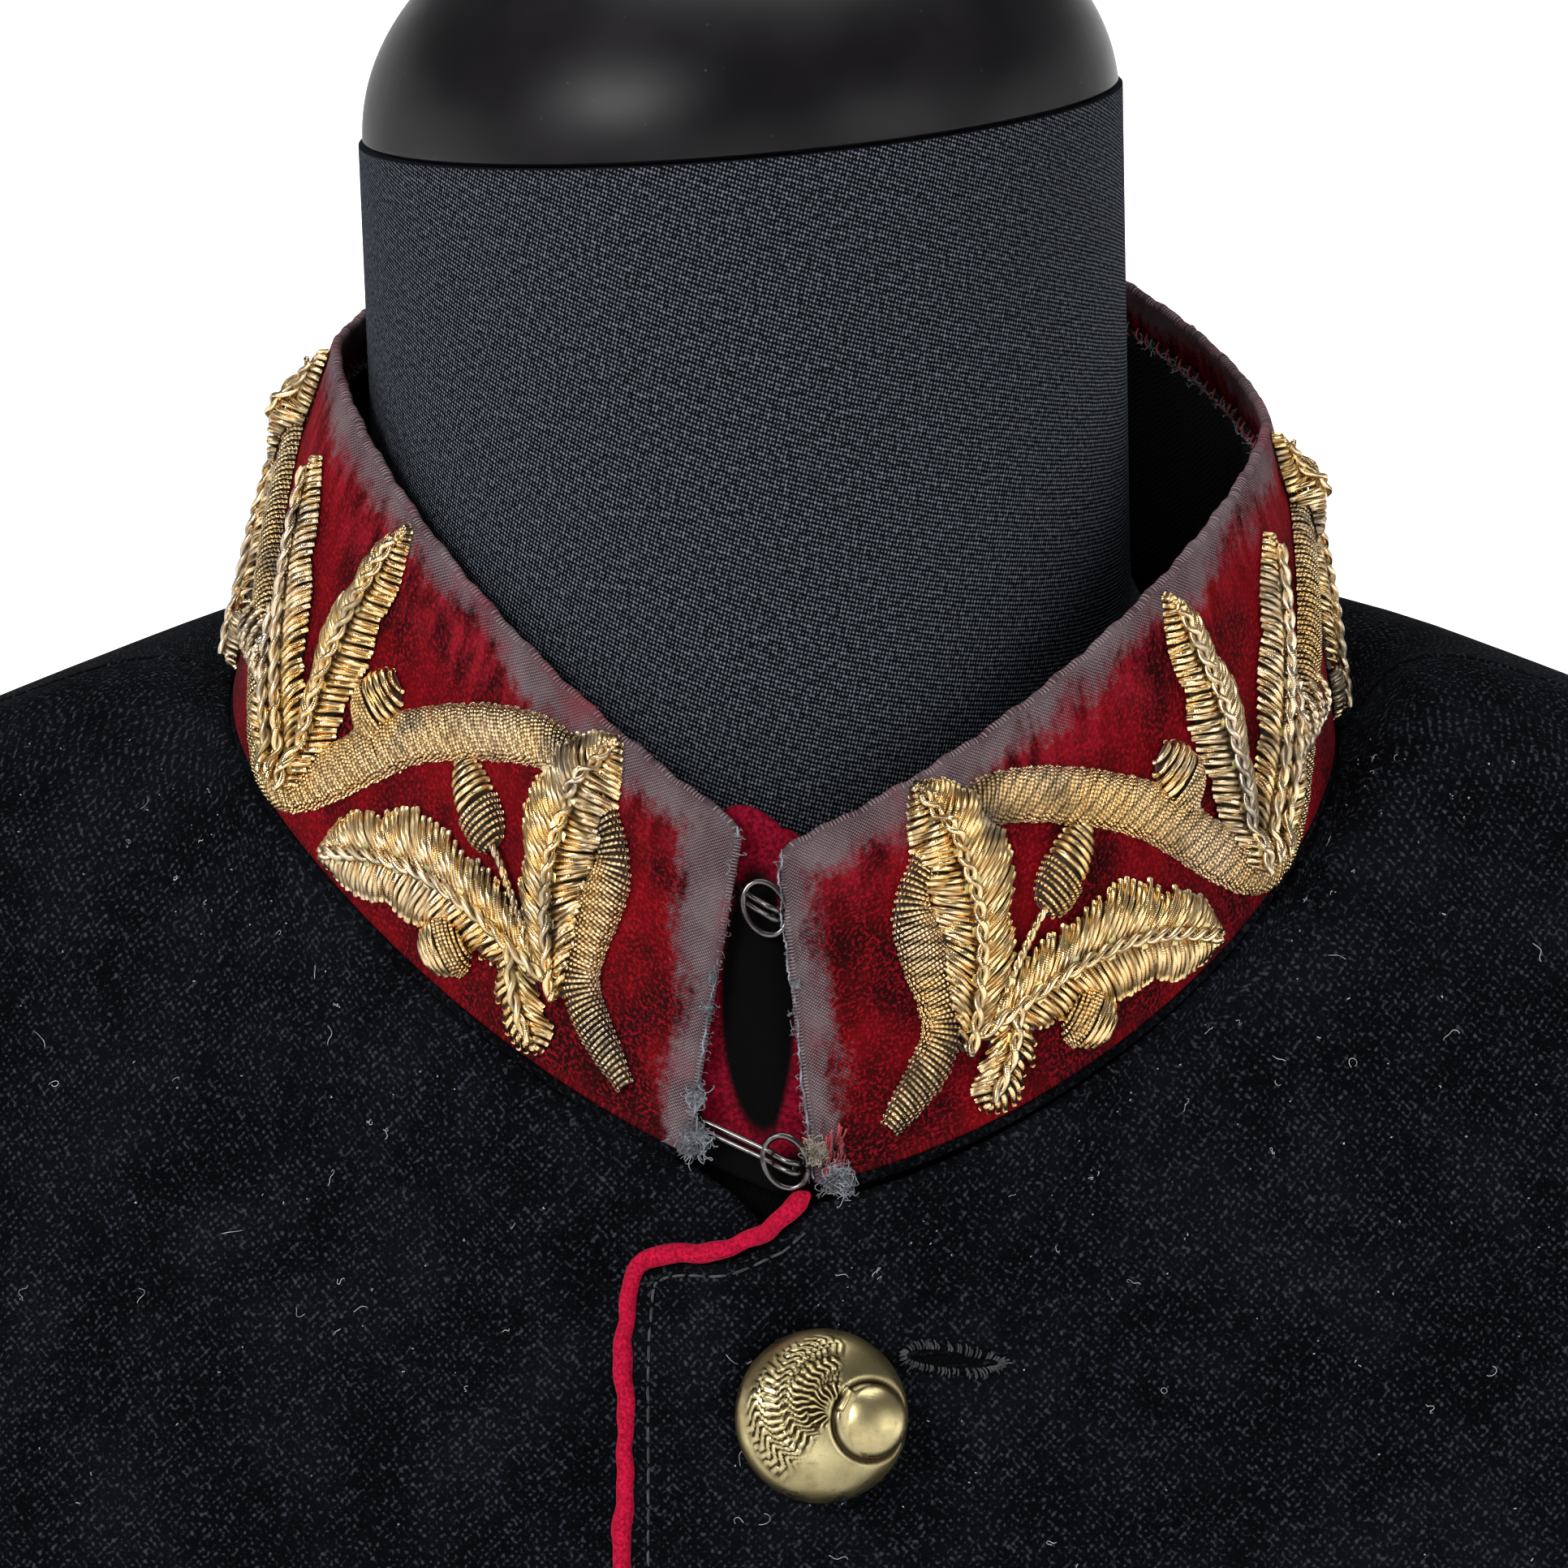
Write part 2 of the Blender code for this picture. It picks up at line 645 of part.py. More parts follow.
def add_sleeves(wool):
    """Each sleeve is a wide top half and a narrower under half, open at both ends."""
    steps = [0.0, 0.2, 0.42, 0.66, 0.86, *np.linspace(1.0, len(SLEEVE_RINGS), 10)]
    halves = (("top", -112.0, 112.0, 10), ("under", 112.0, 248.0, 6))
    for side, hand in ((1, "left"), (-1, "right")):
        for part, low, high, columns in halves:
            places = [[(angle, step, side) for angle in np.linspace(low, high, columns)] for step in steps]
            name = f"sleeve_{part}_{hand}"
            add_wall(name, places, sleeve_inset, (0.0, CLOTH), "lr", wool, mirrored=side < 0)


# The collar
def collar_edge_point(turn, top):
    """A point of the neck seam, or of the collar's top edge."""
    if top:
        return twisted(ring_point(COLLAR_TOP, turn), COLLAR_TOP[2], TOP_SHEAR, 0.0)
    return twisted(ring_point(BODY_RINGS[0], turn), BODY_RINGS[0][2], SEAM_SHEAR, SEAM_TUCK)


def collar_point(turn, share, depth=0.0):
    """A point of the collar: share 0 at the neck seam, 1 at the top; depth goes inwards."""
    base = collar_edge_point(turn, False)
    up = collar_edge_point(turn, True) - base
    along = collar_edge_point(turn + 0.5, True) + collar_edge_point(turn + 0.5, False)
    along -= collar_edge_point(turn - 0.5, True) + collar_edge_point(turn - 0.5, False)
    normal = unit(np.cross(along, up))
    bow = COLLAR_BOW * math.sin(math.pi * min(max(share, 0.0), 1.0))
    return base + unit(up) * SEAM + up * share + normal * (bow - depth)


def collar_end_turn(side, share):
    """The turn of the collar's front end at a share of its height."""
    low_x, high_x = LEFT_END_X if side > 0 else RIGHT_END_X
    turns = np.linspace(-25.0, 25.0, 101)
    xs = [collar_point(turn, share)[0] for turn in turns]
    return float(np.interp(low_x + (high_x - low_x) * share, xs, turns))


def collar_columns():
    """Turns from one front end round the back to the other, closer together at the ends."""
    near = (0.0, 0.7, 1.9, 5.0, 10.0, 16.0)
    round_back = np.linspace(23.0, 337.0, 30)
    return [*near, *round_back, *[360.0 - turn for turn in near[::-1]]]


def collar_places(columns, rows, drop=0.0):
    """The collar's band, with rounded top corners at the front ends."""
    places = []
    degree = math.radians(1.0) * BODY_RINGS[0][0]
    for share in np.linspace(1.0, 0.0, rows):
        low = collar_end_turn(1, share)
        high = 360.0 + collar_end_turn(-1, share)
        line = []
        for column in columns:
            turn = low + (high - low) * column / 360.0
            away = min(turn - low, high - turn) * degree
            short = 0.0
            if away < COLLAR_CORNER:
                short = COLLAR_CORNER - math.sqrt(COLLAR_CORNER**2 - (COLLAR_CORNER - away) ** 2)
            line.append((turn, share * (1.0 - (short + drop) / COLLAR_HEIGHT)))
        places.append(line)
    return places


def add_collar(velvet, lining, tab_velvet):
    """The velvet band, the lining inside it, and the tab behind the open front."""
    columns = collar_columns()
    add_wall("collar_velvet", collar_places(columns, 5), collar_point, (0.0, VELVET_WALL), "", velvet)
    inside = (VELVET_WALL + SEAM, VELVET_WALL + SEAM + LINING_WALL)
    add_wall("collar_lining", collar_places(columns[3:-3], 3, LINING_DROP), collar_point, inside, "", lining)
    places = []
    for row in np.linspace(1.0, 0.0, 7):
        line = []
        for across in np.linspace(-1.0, 1.0, 7):
            middle = (sum(LEFT_END_X) + sum(RIGHT_END_X)) / 4
            turn = turn_at_x(middle + across * TAB_HALF_WIDTH, 0.0)
            top = TAB_TOP - TAB_ROUND * (1 - math.sqrt(1 - (0.98 * across) ** 2))
            line.append((turn, TAB_FOOT + row * (top - TAB_FOOT)))
        places.append(line)
    behind = (TAB_DEPTH, TAB_DEPTH + TAB_WALL)
    add_wall("collar_tab", places, collar_point, behind, "", tab_velvet)


# The embroidery
def collar_lengths(side):
    """Turns and their distances along the collar from one front end to the centre back."""
    start = collar_end_turn(side, 0.5)
    turns = np.linspace(start, side * 180.0, 91)
    points = [collar_point(turn, 0.5) for turn in turns]
    steps = [np.linalg.norm(b - a) for a, b in zip(points, points[1:])]
    return np.concatenate(([0.0], np.cumsum(steps))), turns


def strip_mesh(name, side, lengths, stations, foot):
    """A padded strip on the collar through stations of (along, up, half width, lift)."""
    distances, turns = lengths
    path = np.array([station[:2] for station in stations])
    rings = []
    for i, (along, up, half, lift) in enumerate(stations):
        ahead = unit(path[min(i + 1, len(path) - 1)] - path[max(i - 1, 0)])
        across = np.array((-ahead[1], ahead[0]))
        ring = []
        for offset, rise in ((-1.0, 0.0), (-0.55, 1.0), (0.55, 1.0), (1.0, 0.0)):
            place = np.array((along, up)) + across * offset * half
            turn = float(np.interp(place[0], distances, turns))
            height = foot + (lift - foot) * rise
            ring.append(collar_point(turn, place[1] / COLLAR_HEIGHT, -height))
        rings.append(ring)
    return grid_mesh(name, rings, closed=True, capped=True)


def stem_stations():
    """The serpentine stem, pointed at both ends."""
    last = len(STEM_KEYS) - 1
    count = 3 * last
    stations = []
    for i in range(count + 1):
        along, up = spline_row(STEM_KEYS, last * i / count)
        taper = min(1.0, 0.35 + 0.3 * min(i, count - i))
        stations.append((along, up, STEM_HALF_WIDTH * taper, STEM_LIFT))
    return stations


def leaf_stations(leaf, shift):
    """An oak leaf: lobed sides that narrow to the root and the tip."""
    along, up, tip_along, tip_up, bow, half_width = leaf
    root = np.array((along, up))
    axis = np.array((tip_along, tip_up)) - root
    side_way = unit(np.array((-axis[1], axis[0])))
    count = 3 * LEAF_LOBES
    stations = []
    for i in range(count + 1):
        t = i / count
        place = root + axis * t + side_way * bow * math.sin(math.pi * t)
        lobes = 1.0 + 0.16 * math.cos(2 * math.pi * (LEAF_LOBES * t + 0.5))
        outline = max(math.sin(math.pi * t**0.85) ** 0.6 if 0 < t < 1 else 0.0, 0.12)
        lift = LEAF_LIFT * (0.75 + 0.25 * math.sin(math.pi * t))
        stations.append((place[0] + shift, place[1], half_width * outline * lobes, lift))
    return stations


def acorn_stations(acorn, shift):
    """An acorn and its stalk, each as stations."""
    along, up, knee_along, knee_up, nut_along, nut_up, length, half_width = acorn
    nut = np.array((nut_along, nut_up))
    knee = np.array((knee_along, knee_up))
    way = unit(nut - knee)
    foot = nut - way * length * 0.42
    stalk = [(*place, STALK_HALF_WIDTH, STALK_LIFT) for place in ((along, up), knee, foot)]
    body = []
    for t, width in ((0.0, 0.45), (0.14, 0.95), (0.42, 1.05), (0.50, 0.84), (1.0, 0.25)):
        place = nut + way * length * (t - 0.5)
        body.append((*place, half_width * width, NUT_LIFT * (0.7 + 0.3 * math.sin(math.pi * t))))
    shifted = [[(a + shift, u, half, lift) for a, u, half, lift in part] for part in (stalk, body)]
    return shifted


def add_embroidery(gold):
    """One gold piece on each half of the collar: the stem joined with its leaves and acorns."""
    for side, hand in ((1, "left"), (-1, "right")):
        lengths = collar_lengths(side)
        name = f"embroidery_{hand}"
        stem = add_object(name, strip_mesh(name, side, lengths, stem_stations(), EMBROIDERY_SEAT), gold)
        parts = []
        for shift in (0.0, REPEAT):
            parts.extend(leaf_stations(leaf, shift) for leaf in LEAVES)
            for acorn in ACORNS:
                parts.extend(acorn_stations(acorn, shift))
        for i, stations in enumerate(parts):
            foot = EMBROIDERY_SEAT - FOOT_STEP * (1 + i % 5)
            strip = strip_mesh("guide", side, lengths, stations, foot)
            guide = add_object(f"guide_{hand}_{i}", strip, gold)
            guide.hide_render = True
            guide.display_type = "WIRE"
            union = stem.modifiers.new(f"Join {i}", "BOOLEAN")
            union.operation = "UNION"
            union.object = guide
            union.solver = "MANIFOLD"


# The hooks and eyes
def add_hooks(steel):
    """Two pairs: an eye on the wearer's left, and a hook on the right that passes through it."""
    for name, share in HOOK_SHARES.items():
        left_x = LEFT_END_X[0] + (LEFT_END_X[1] - LEFT_END_X[0]) * share
        right_x = RIGHT_END_X[0] + (RIGHT_END_X[1] - RIGHT_END_X[0]) * share
        turn = turn_at_x((left_x + right_x) / 2, 0.0)
        centre = collar_point(turn, share, VELVET_WALL / 2)
        up = unit(collar_point(turn, share + 0.1) - collar_point(turn, share))
        across = unit(collar_point(turn + 1, share) - collar_point(turn - 1, share))
        out = np.cross(across, up)
        eye_x = left_x - EYE_RADIUS - WIRE_RADIUS - SEAM - EYE_CLEAR
        eye = centre + across * (eye_x - centre[0])
        angles = [2 * math.pi * k / 14 for k in range(14)]
        ring = [eye + EYE_RADIUS * (across * math.cos(a) + up * math.sin(a)) for a in angles]
        add_object(f"eye_{name}", tube_mesh(f"eye_{name}", ring, WIRE_RADIUS, 6, closed=True), steel, 80.0)
        behind = VELVET_WALL / 2 + WIRE_RADIUS + 2 * SEAM
        reach = eye[0] - right_x
        anchor_turn = turn_at_x(right_x - HOOK_ANCHOR_IN, 0.0)
        anchor = collar_point(anchor_turn, share, VELVET_WALL + WIRE_RADIUS + 2 * SEAM)
        bend = ((HOOK_TIP_ACROSS, -behind), *HOOK_BEND, (reach - HOOK_END_BACK, HOOK_RISE))
        hook = [anchor, *[eye - across * x + out * y for x, y in bend]]
        add_object(f"hook_{name}", tube_mesh(f"hook_{name}", hook, WIRE_RADIUS, 6), steel, 80.0)


# The buttons
def add_buttons(brass):
    """Domed buttons down the front, each with a raised ball."""
    for index in range(BUTTON_COUNT):
        row = row_at_z(BUTTON_X, BUTTON_TOP_Z - index * BUTTON_PITCH)
        turn = turn_at_x(BUTTON_X, row)
        out = body_normal(turn, row)
        across = unit(np.cross((0.0, 0.0, 1.0), out))
        up = np.cross(out, across)
        centre = body_point(turn, row)
        turn_reach = BUTTON_RADIUS / np.linalg.norm(body_point(turn + 1, row) - centre)
        row_reach = 0.1 * BUTTON_RADIUS / np.linalg.norm(body_point(turn, row + 0.1) - centre)
        rises = [0.0]
        for k in range(8):
            a = 2 * math.pi * k / 8
            rim = body_point(turn + turn_reach * math.cos(a), row + row_reach * math.sin(a))
            rises.append(np.dot(rim - centre, out))
        seat = centre + out * (3 * SEAM + max(rises))
        profile = [(BUTTON_RADIUS * 0.93, 0.0), (BUTTON_RADIUS, BUTTON_LIP)]
        for angle in (20.0, 42.0, 64.0, 84.0):
            a = math.radians(angle)
            dome = BUTTON_LIP + (BUTTON_HEIGHT - BUTTON_LIP) * math.sin(a)
            profile.append((BUTTON_RADIUS * math.cos(a), dome))
        grid = []
        for radius, height in profile:
            ring = []
            for k in range(BUTTON_SIDES):
                a = 2 * math.pi * k / BUTTON_SIDES
                x, y = radius * math.cos(a), radius * math.sin(a)
                near = math.hypot(x - BALL_OFFSET[0], y - BALL_OFFSET[1]) / BALL_RADIUS
                rise = BALL_RISE * math.sqrt(max(1 - near * near, 0.0)) if height > BUTTON_LIP else 0.0
                ring.append(seat + across * x + up * y + out * (height + rise))
            grid.append(ring)
        name = f"button_{index + 1}"
        add_object(name, grid_mesh(name, grid, closed=True, capped=True), brass, 50.0)


# The dress form
def form_air(turn, row):
    """Air between the form and the tunic's inner face: least along the shoulders."""
    s = abs(math.sin(math.radians(turn)))
    return FORM_LEAST_AIR + FORM_FRONT_AIR * (1 - s**4) + FORM_LOWER_AIR * smoothstep(row, 1.2, 4.0)


def neck_ring_point(turn, height, tilt):
    """A point round the form's neck, on a plane that rises towards the back."""
    a = math.radians(turn)
    x = NECK_RADIUS * math.sin(a)
    y = -NECK_RADIUS * math.cos(a)
    return np.array((x, NECK_Y + y, height + tilt * y))


def add_form(jersey):
    """The padded torso and its neck, closed at the bottom and under the cap."""
    turns = np.linspace(-180.0, 180.0, 33)[:-1]
    rings = []
    for row in FORM_ROWS:
        rings.append([inset_point(t, row, CLOTH + form_air(t, row)) for t in turns])
    rings[0] = [(x, y, FORM_BOTTOM_Z) for x, y, _ in rings[0]]
    foot = np.array([inset_point(t, NECK_FOOT_ROW, NECK_FOOT_DEPTH) for t in turns])
    root = np.array([neck_ring_point(t, NECK_ROOT_Z, NECK_ROOT_TILT) for t in turns])
    flare = foot + (root - foot) * (NECK_FLARE_ACROSS, NECK_FLARE_ACROSS, NECK_FLARE_UP)
    top = []
    for t in turns:
        x, y, _ = neck_ring_point(t, 0.0, 0.0)
        top.append((x, y, NECK_TOP + CAP_ROLL * x + CAP_PITCH * (y - NECK_Y)))
    rings.extend((foot, flare, root, top))
    mesh = grid_mesh("form_torso", np.array(rings, float), closed=True, capped=True)
    add_object("form_torso", mesh, jersey, 60.0)


def add_stand(lacquer, steel):
    """The neck cap, the pole and the round base."""
    profile = [(CAP_RADIUS * 0.97, 0.0), (CAP_RADIUS, CAP_LIP)]
    for angle in (14.0, 30.0, 46.0, 62.0, 80.0):
        a = math.radians(angle)
        profile.append((CAP_RADIUS * math.cos(a), CAP_LIP + (CAP_HEIGHT - CAP_LIP) * math.sin(a)))
    cap = add_object("neck_cap", turned_mesh("neck_cap", profile, 28), lacquer)
    cap.location = (0.0, NECK_Y, NECK_TOP + SEAM)
    cap.rotation_euler = (math.atan(CAP_PITCH), -math.atan(CAP_ROLL), 0.0)
    pole_profile = [(POLE_RADIUS, BASE_HEIGHT + SEAM), (POLE_RADIUS, FORM_BOTTOM_Z - SEAM)]
    add_object("pole", turned_mesh("pole", pole_profile, 20), steel)
    base_profile = [
        (BASE_RADIUS, 0.0),
        (BASE_RADIUS, BASE_HEIGHT - BASE_BEVEL),
        (BASE_RADIUS - BASE_BEVEL, BASE_HEIGHT),
    ]
    add_object("base", turned_mesh("base", base_profile, 40), steel)


def clear_scene():
    """Removes what the scene starts with."""
    for obj in list(bpy.data.objects):
        bpy.data.objects.remove(obj, do_unlink=True)


def main():
    clear_scene()
    wool = new_material("black wool", (0.010, 0.011, 0.014), 0.9)
    velvet = new_material("crimson velvet", (0.20, 0.004, 0.012), 0.8)
    felt = new_material("crimson felt", (0.40, 0.006, 0.035), 0.9)
    lining = new_material("black lining", (0.012, 0.013, 0.013), 0.9)
    gold = new_material("gold thread", (0.62, 0.42, 0.16), 0.35, 1.0)
    brass = new_material("aged brass", (0.36, 0.29, 0.15), 0.35, 1.0)
    steel = new_material("dark steel", (0.20, 0.20, 0.21), 0.35, 1.0)
    jersey = new_material("black jersey", (0.020, 0.022, 0.028), 0.7)
    lacquer = new_material("black lacquer", (0.008, 0.008, 0.009), 0.3)
    add_fronts(wool)
    add_sides(wool)
    add_backs(wool)
    add_piping(felt)
    add_sleeves(wool)
    add_collar(velvet, lining, felt)
    add_embroidery(gold)
    add_hooks(steel)
    add_buttons(brass)
    add_form(jersey)
    add_stand(lacquer, steel)


main()
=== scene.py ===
"""A black dress tunic with a velvet collar on a limbless dress form: its fine shapes and finishes.

Metres, +Z up, as in the frame. The cloth is lofted on one body surface: turn is the angle round the
body in degrees (0 front, 90 the wearer's left), row counts down the ring table from the neck seam.
What lies on the collar is placed by its distance along it from the front end and its height on it.
"""

import math

import bpy
import numpy as np
from mathutils import Matrix, Vector


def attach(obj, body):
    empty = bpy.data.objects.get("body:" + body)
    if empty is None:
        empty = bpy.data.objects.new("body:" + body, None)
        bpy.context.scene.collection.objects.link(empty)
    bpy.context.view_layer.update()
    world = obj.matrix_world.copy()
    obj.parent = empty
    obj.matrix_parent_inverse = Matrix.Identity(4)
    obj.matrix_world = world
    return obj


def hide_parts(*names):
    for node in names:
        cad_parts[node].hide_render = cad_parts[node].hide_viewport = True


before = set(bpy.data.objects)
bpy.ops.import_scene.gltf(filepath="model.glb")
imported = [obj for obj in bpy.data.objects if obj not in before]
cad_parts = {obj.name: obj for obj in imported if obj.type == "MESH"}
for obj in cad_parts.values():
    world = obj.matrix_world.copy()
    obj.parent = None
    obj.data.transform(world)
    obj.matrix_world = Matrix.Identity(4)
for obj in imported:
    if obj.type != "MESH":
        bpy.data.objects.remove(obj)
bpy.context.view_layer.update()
bpy.context.scene.view_settings.view_transform = "Standard"
MM = 0.001
RNG = np.random.default_rng(1896)
HALVINGS = 26

# Camera
VIEW_TURN = 4.5
VIEW_RISE = 12.11
VIEW_ROLL = -1.637
VIEW_AIM = (0.0090, -0.08, 1.4431)
VIEW_DISTANCE = 0.74
FOCAL_IN_PIXELS = 6840.0
IMAGE_PIXELS = 1932.0
SENSOR_MM = 36.0

# Cloth and seams
CLOTH = 0.0020
VELVET_WALL = 0.0016
LINING_WALL = 0.0009
SEAM = 0.0003
NECK_SEAM = 0.0008
LAP = 0.0028
HEM_ROW = 12.0
SHOULDER_END_ROW = 3.35
UNDERARM_ROW = 7.2
ARMHOLE_MIDDLE = (SHOULDER_END_ROW + UNDERARM_ROW) / 2
ARMHOLE_HALF = (UNDERARM_ROW - SHOULDER_END_ROW) / 2
ARMHOLE_HALF_TURN = 27.0
ARMHOLE_SEAM = 0.0012
SIDE_SEAM_TURN = 78.0
SIDE_BACK_TURN = 109.0
SIDE_BACK_RUN = 12.0
NOTCH_ROWS = 2.6

# Collar
COLLAR_HEIGHT = 0.0480
COLLAR_CORNER = 0.0025
COLLAR_BOW = 0.0010
LINING_DROP = 0.0070
LEFT_END_X = (0.0126, 0.0082)
RIGHT_END_X = (-0.0047, 0.0022)
FRONT_SHIFT = 0.0075
NECK_LEAN = 0.11
SEAM_SHEAR = -0.089
TOP_SHEAR = 0.005
SEAM_TUCK = 0.0066
TUCK_FALL = 1.3
TUCK_FRONT_Y = -0.062
TUCK_BACK_Y = -0.008
TUCK_SIDE_X = 0.040
ROUND_POINT = 0.15

# Front edges and buttons
LEFT_EDGE_X = -0.0121
LAP_START_X = -0.0250
LAP_FULL_X = -0.0160
PIPING_RADIUS = 0.00115
BUTTON_X = 0.0128
BUTTON_TOP_Z = 1.3615
BUTTON_PITCH = 0.0530
BUTTON_COUNT = 7
BUTTON_RADIUS = 0.0115
BUTTON_HEIGHT = 0.0078
BALL_RADIUS = 0.0050
BALL_PLACE = (0.0058, -0.0012)
# Rings of flame locks round the ball's bar.
# Columns: inner radius, outer radius, degrees for each lock, turn
FLAME_RINGS = (
    (0.0010, 0.0044, 16.0, 4.0),
    (0.0036, 0.0078, 9.6, 2.0),
    (0.0068, 0.0125, 7.0, 5.0),
)

TAB_HALF_WIDTH = 0.0080
TAB_WALL = 0.0015
TAB_FOOT = 0.02
TAB_DEPTH = 0.0036
TAB_TOP = 1.06
TAB_ROUND = 0.14
EYE_RING = 0.0031

# Gold embroidery
STEM_HALF_WIDTH = 0.0031
STEM_LIFT = 0.0021
STEM_PITCH = 0.00066
THREAD_RADIUS = 0.00030
PURL_PITCH = 0.00100
PURL_RADIUS = 0.00045
LEAF_LIFT = 0.0024
NUT_LIFT = 0.0029
REPEAT = 0.094

# Loose fibres
FIBRE_RADIUS = 0.00005
FLUFF_RADIUS = 0.00007

# Sheet edges; CLOSED_SEAM is half the gap in a sleeve's seams, too narrow to let light through at the cuff
EDGE = CLOTH / 2
SEAMED = CLOTH / 2 + SEAM / 2
CLOSED_SEAM = 0.00002

# Studio
STUDIO_RADIUS = 9.0
WALL_HEIGHT = 4.0
WALL_CURVE = 1.5
FLOOR_LIGHT_REACH = 6.2
FLOOR_LIGHT_HEIGHT = 4.6
# Columns: name, place, aim, size, watts
LIGHTS = (
    ("key light", (-1.4, -1.9, 2.8), (0.0, 0.0, 1.40), 0.9, 52.0),
    ("fill light", (2.0, -1.8, 1.9), (0.0, 0.0, 1.35), 1.4, 15.0),
    ("top light", (0.1, 0.3, 3.2), (0.0, 0.0, 1.40), 1.4, 20.0),
)
WORLD_STRENGTH = 0.15

# Dress form
FORM_LEAST_AIR = 0.0013
FORM_FRONT_AIR = 0.0034
FORM_LOWER_AIR = 0.0060
NECK_FOOT_ROW = 0.1
NECK_FOOT_DEPTH = 0.0066
NECK_ROOT_Z = 1.452
NECK_ROOT_TILT = 0.44
NECK_FLARE_ACROSS = 0.65
NECK_FLARE_UP = 0.35
NECK_RADIUS = 0.0545
NECK_Y = -0.0100
NECK_TOP = 1.5263
CAP_RADIUS = 0.0540
CAP_HEIGHT = 0.0370
CAP_ROLL = 0.050
CAP_PITCH = 0.036
FORM_BOTTOM_Z = 0.656
POLE_RADIUS = 0.016
BASE_RADIUS = 0.190
BASE_HEIGHT = 0.018

# Rings of the body.
# Columns: half_width, side_y, front_y, back_y, front_z, side_z, back_z, square, dip
BODY_RINGS = (
    (0.0837, -0.0078, -0.0932, 0.0596, 1.3900, 1.4431, 1.4629, 0.00, 0.22),
    (0.1000, 0.0040, -0.1020, 0.0760, 1.3640, 1.4440, 1.4500, 0.00, 0.10),
    (0.1500, 0.0060, -0.1130, 0.0940, 1.3320, 1.4255, 1.4180, 0.04, 0.04),
    (0.1980, 0.0060, -0.1250, 0.1070, 1.3020, 1.4050, 1.3800, 0.07, 0.00),
    (0.2150, 0.0050, -0.1330, 0.1140, 1.2760, 1.3800, 1.3440, 0.08, 0.00),
    (0.2070, 0.0020, -0.1390, 0.1180, 1.2490, 1.3340, 1.3060, 0.09, 0.00),
    (0.1960, 0.0000, -0.1430, 0.1190, 1.2180, 1.2860, 1.2660, 0.10, 0.00),
    (0.1880, -0.0020, -0.1440, 0.1160, 1.1830, 1.2340, 1.2220, 0.10, 0.00),
    (0.1760, -0.0030, -0.1380, 0.1080, 1.1280, 1.1500, 1.1460, 0.09, 0.00),
    (0.1600, -0.0030, -0.1230, 0.0980, 1.0300, 1.0360, 1.0360, 0.07, 0.00),
    (0.1760, -0.0020, -0.1260, 0.1160, 0.9350, 0.9350, 0.9350, 0.07, 0.00),
    (0.1900, 0.0000, -0.1320, 0.1360, 0.8350, 0.8350, 0.8350, 0.06, 0.00),
    (0.2030, 0.0020, -0.1420, 0.1500, 0.7000, 0.7000, 0.7000, 0.05, 0.00),
    (0.1960, 0.0020, -0.1380, 0.1460, FORM_BOTTOM_Z, FORM_BOTTOM_Z, FORM_BOTTOM_Z, 0.05, 0.00),
)
COLLAR_TOP = (0.0671, -0.0125, -0.0764, 0.0500, 1.4335, 1.4882, 1.5089, 0.00, 0.39)

# The fronts' upper edges below the neck.
# Columns: distance out past the collar's end, drop in ring rows
LEFT_NOTCH = (
    (0.0000, 0.06),
    (0.0060, 0.22),
    (0.0120, 0.38),
    (0.0180, 0.46),
    (0.0215, 0.53),
    (0.0238, 0.63),
    (0.0247, 0.84),
)
RIGHT_NOTCH = (
    (0.0000, 0.03),
    (0.0067, 0.09),
    (0.0102, 0.22),
    (0.0200, 0.42),
    (0.0290, 0.50),
    (0.0315, 0.58),
    (0.0327, 0.72),
)

# Rings of a hanging sleeve.
# Columns: x, y, z, half_across, half_deep
SLEEVE_RINGS = (
    (0.2440, 0.006, 1.215, 0.0470, 0.0740),
    (0.2500, 0.010, 1.130, 0.0440, 0.0690),
    (0.2560, 0.010, 1.050, 0.0420, 0.0640),
    (0.2600, 0.000, 0.960, 0.0390, 0.0590),
    (0.2620, -0.016, 0.880, 0.0360, 0.0540),
    (0.2620, -0.034, 0.800, 0.0330, 0.0500),
)
# Creases of a sleeve, the first four as in the solids.
# Columns: z, angle, slope, depth, half_height, spread
SLEEVE_FOLDS = (
    (1.085, 235.0, 0.00016, 0.0034, 0.014, 55.0),
    (1.045, 250.0, -0.00014, 0.0040, 0.014, 55.0),
    (1.005, 225.0, 0.00012, 0.0030, 0.014, 55.0),
    (1.150, 120.0, 0.00010, 0.0022, 0.014, 55.0),
    (1.115, 262.0, -0.00020, 0.0018, 0.009, 38.0),
    (0.960, 210.0, 0.00022, 0.0016, 0.011, 42.0),
    (1.195, 215.0, -0.00026, 0.0016, 0.010, 34.0),
    (0.850, 150.0, 0.00018, 0.0012, 0.012, 46.0),
    (1.070, 80.0, 0.00016, 0.0014, 0.011, 36.0),
)
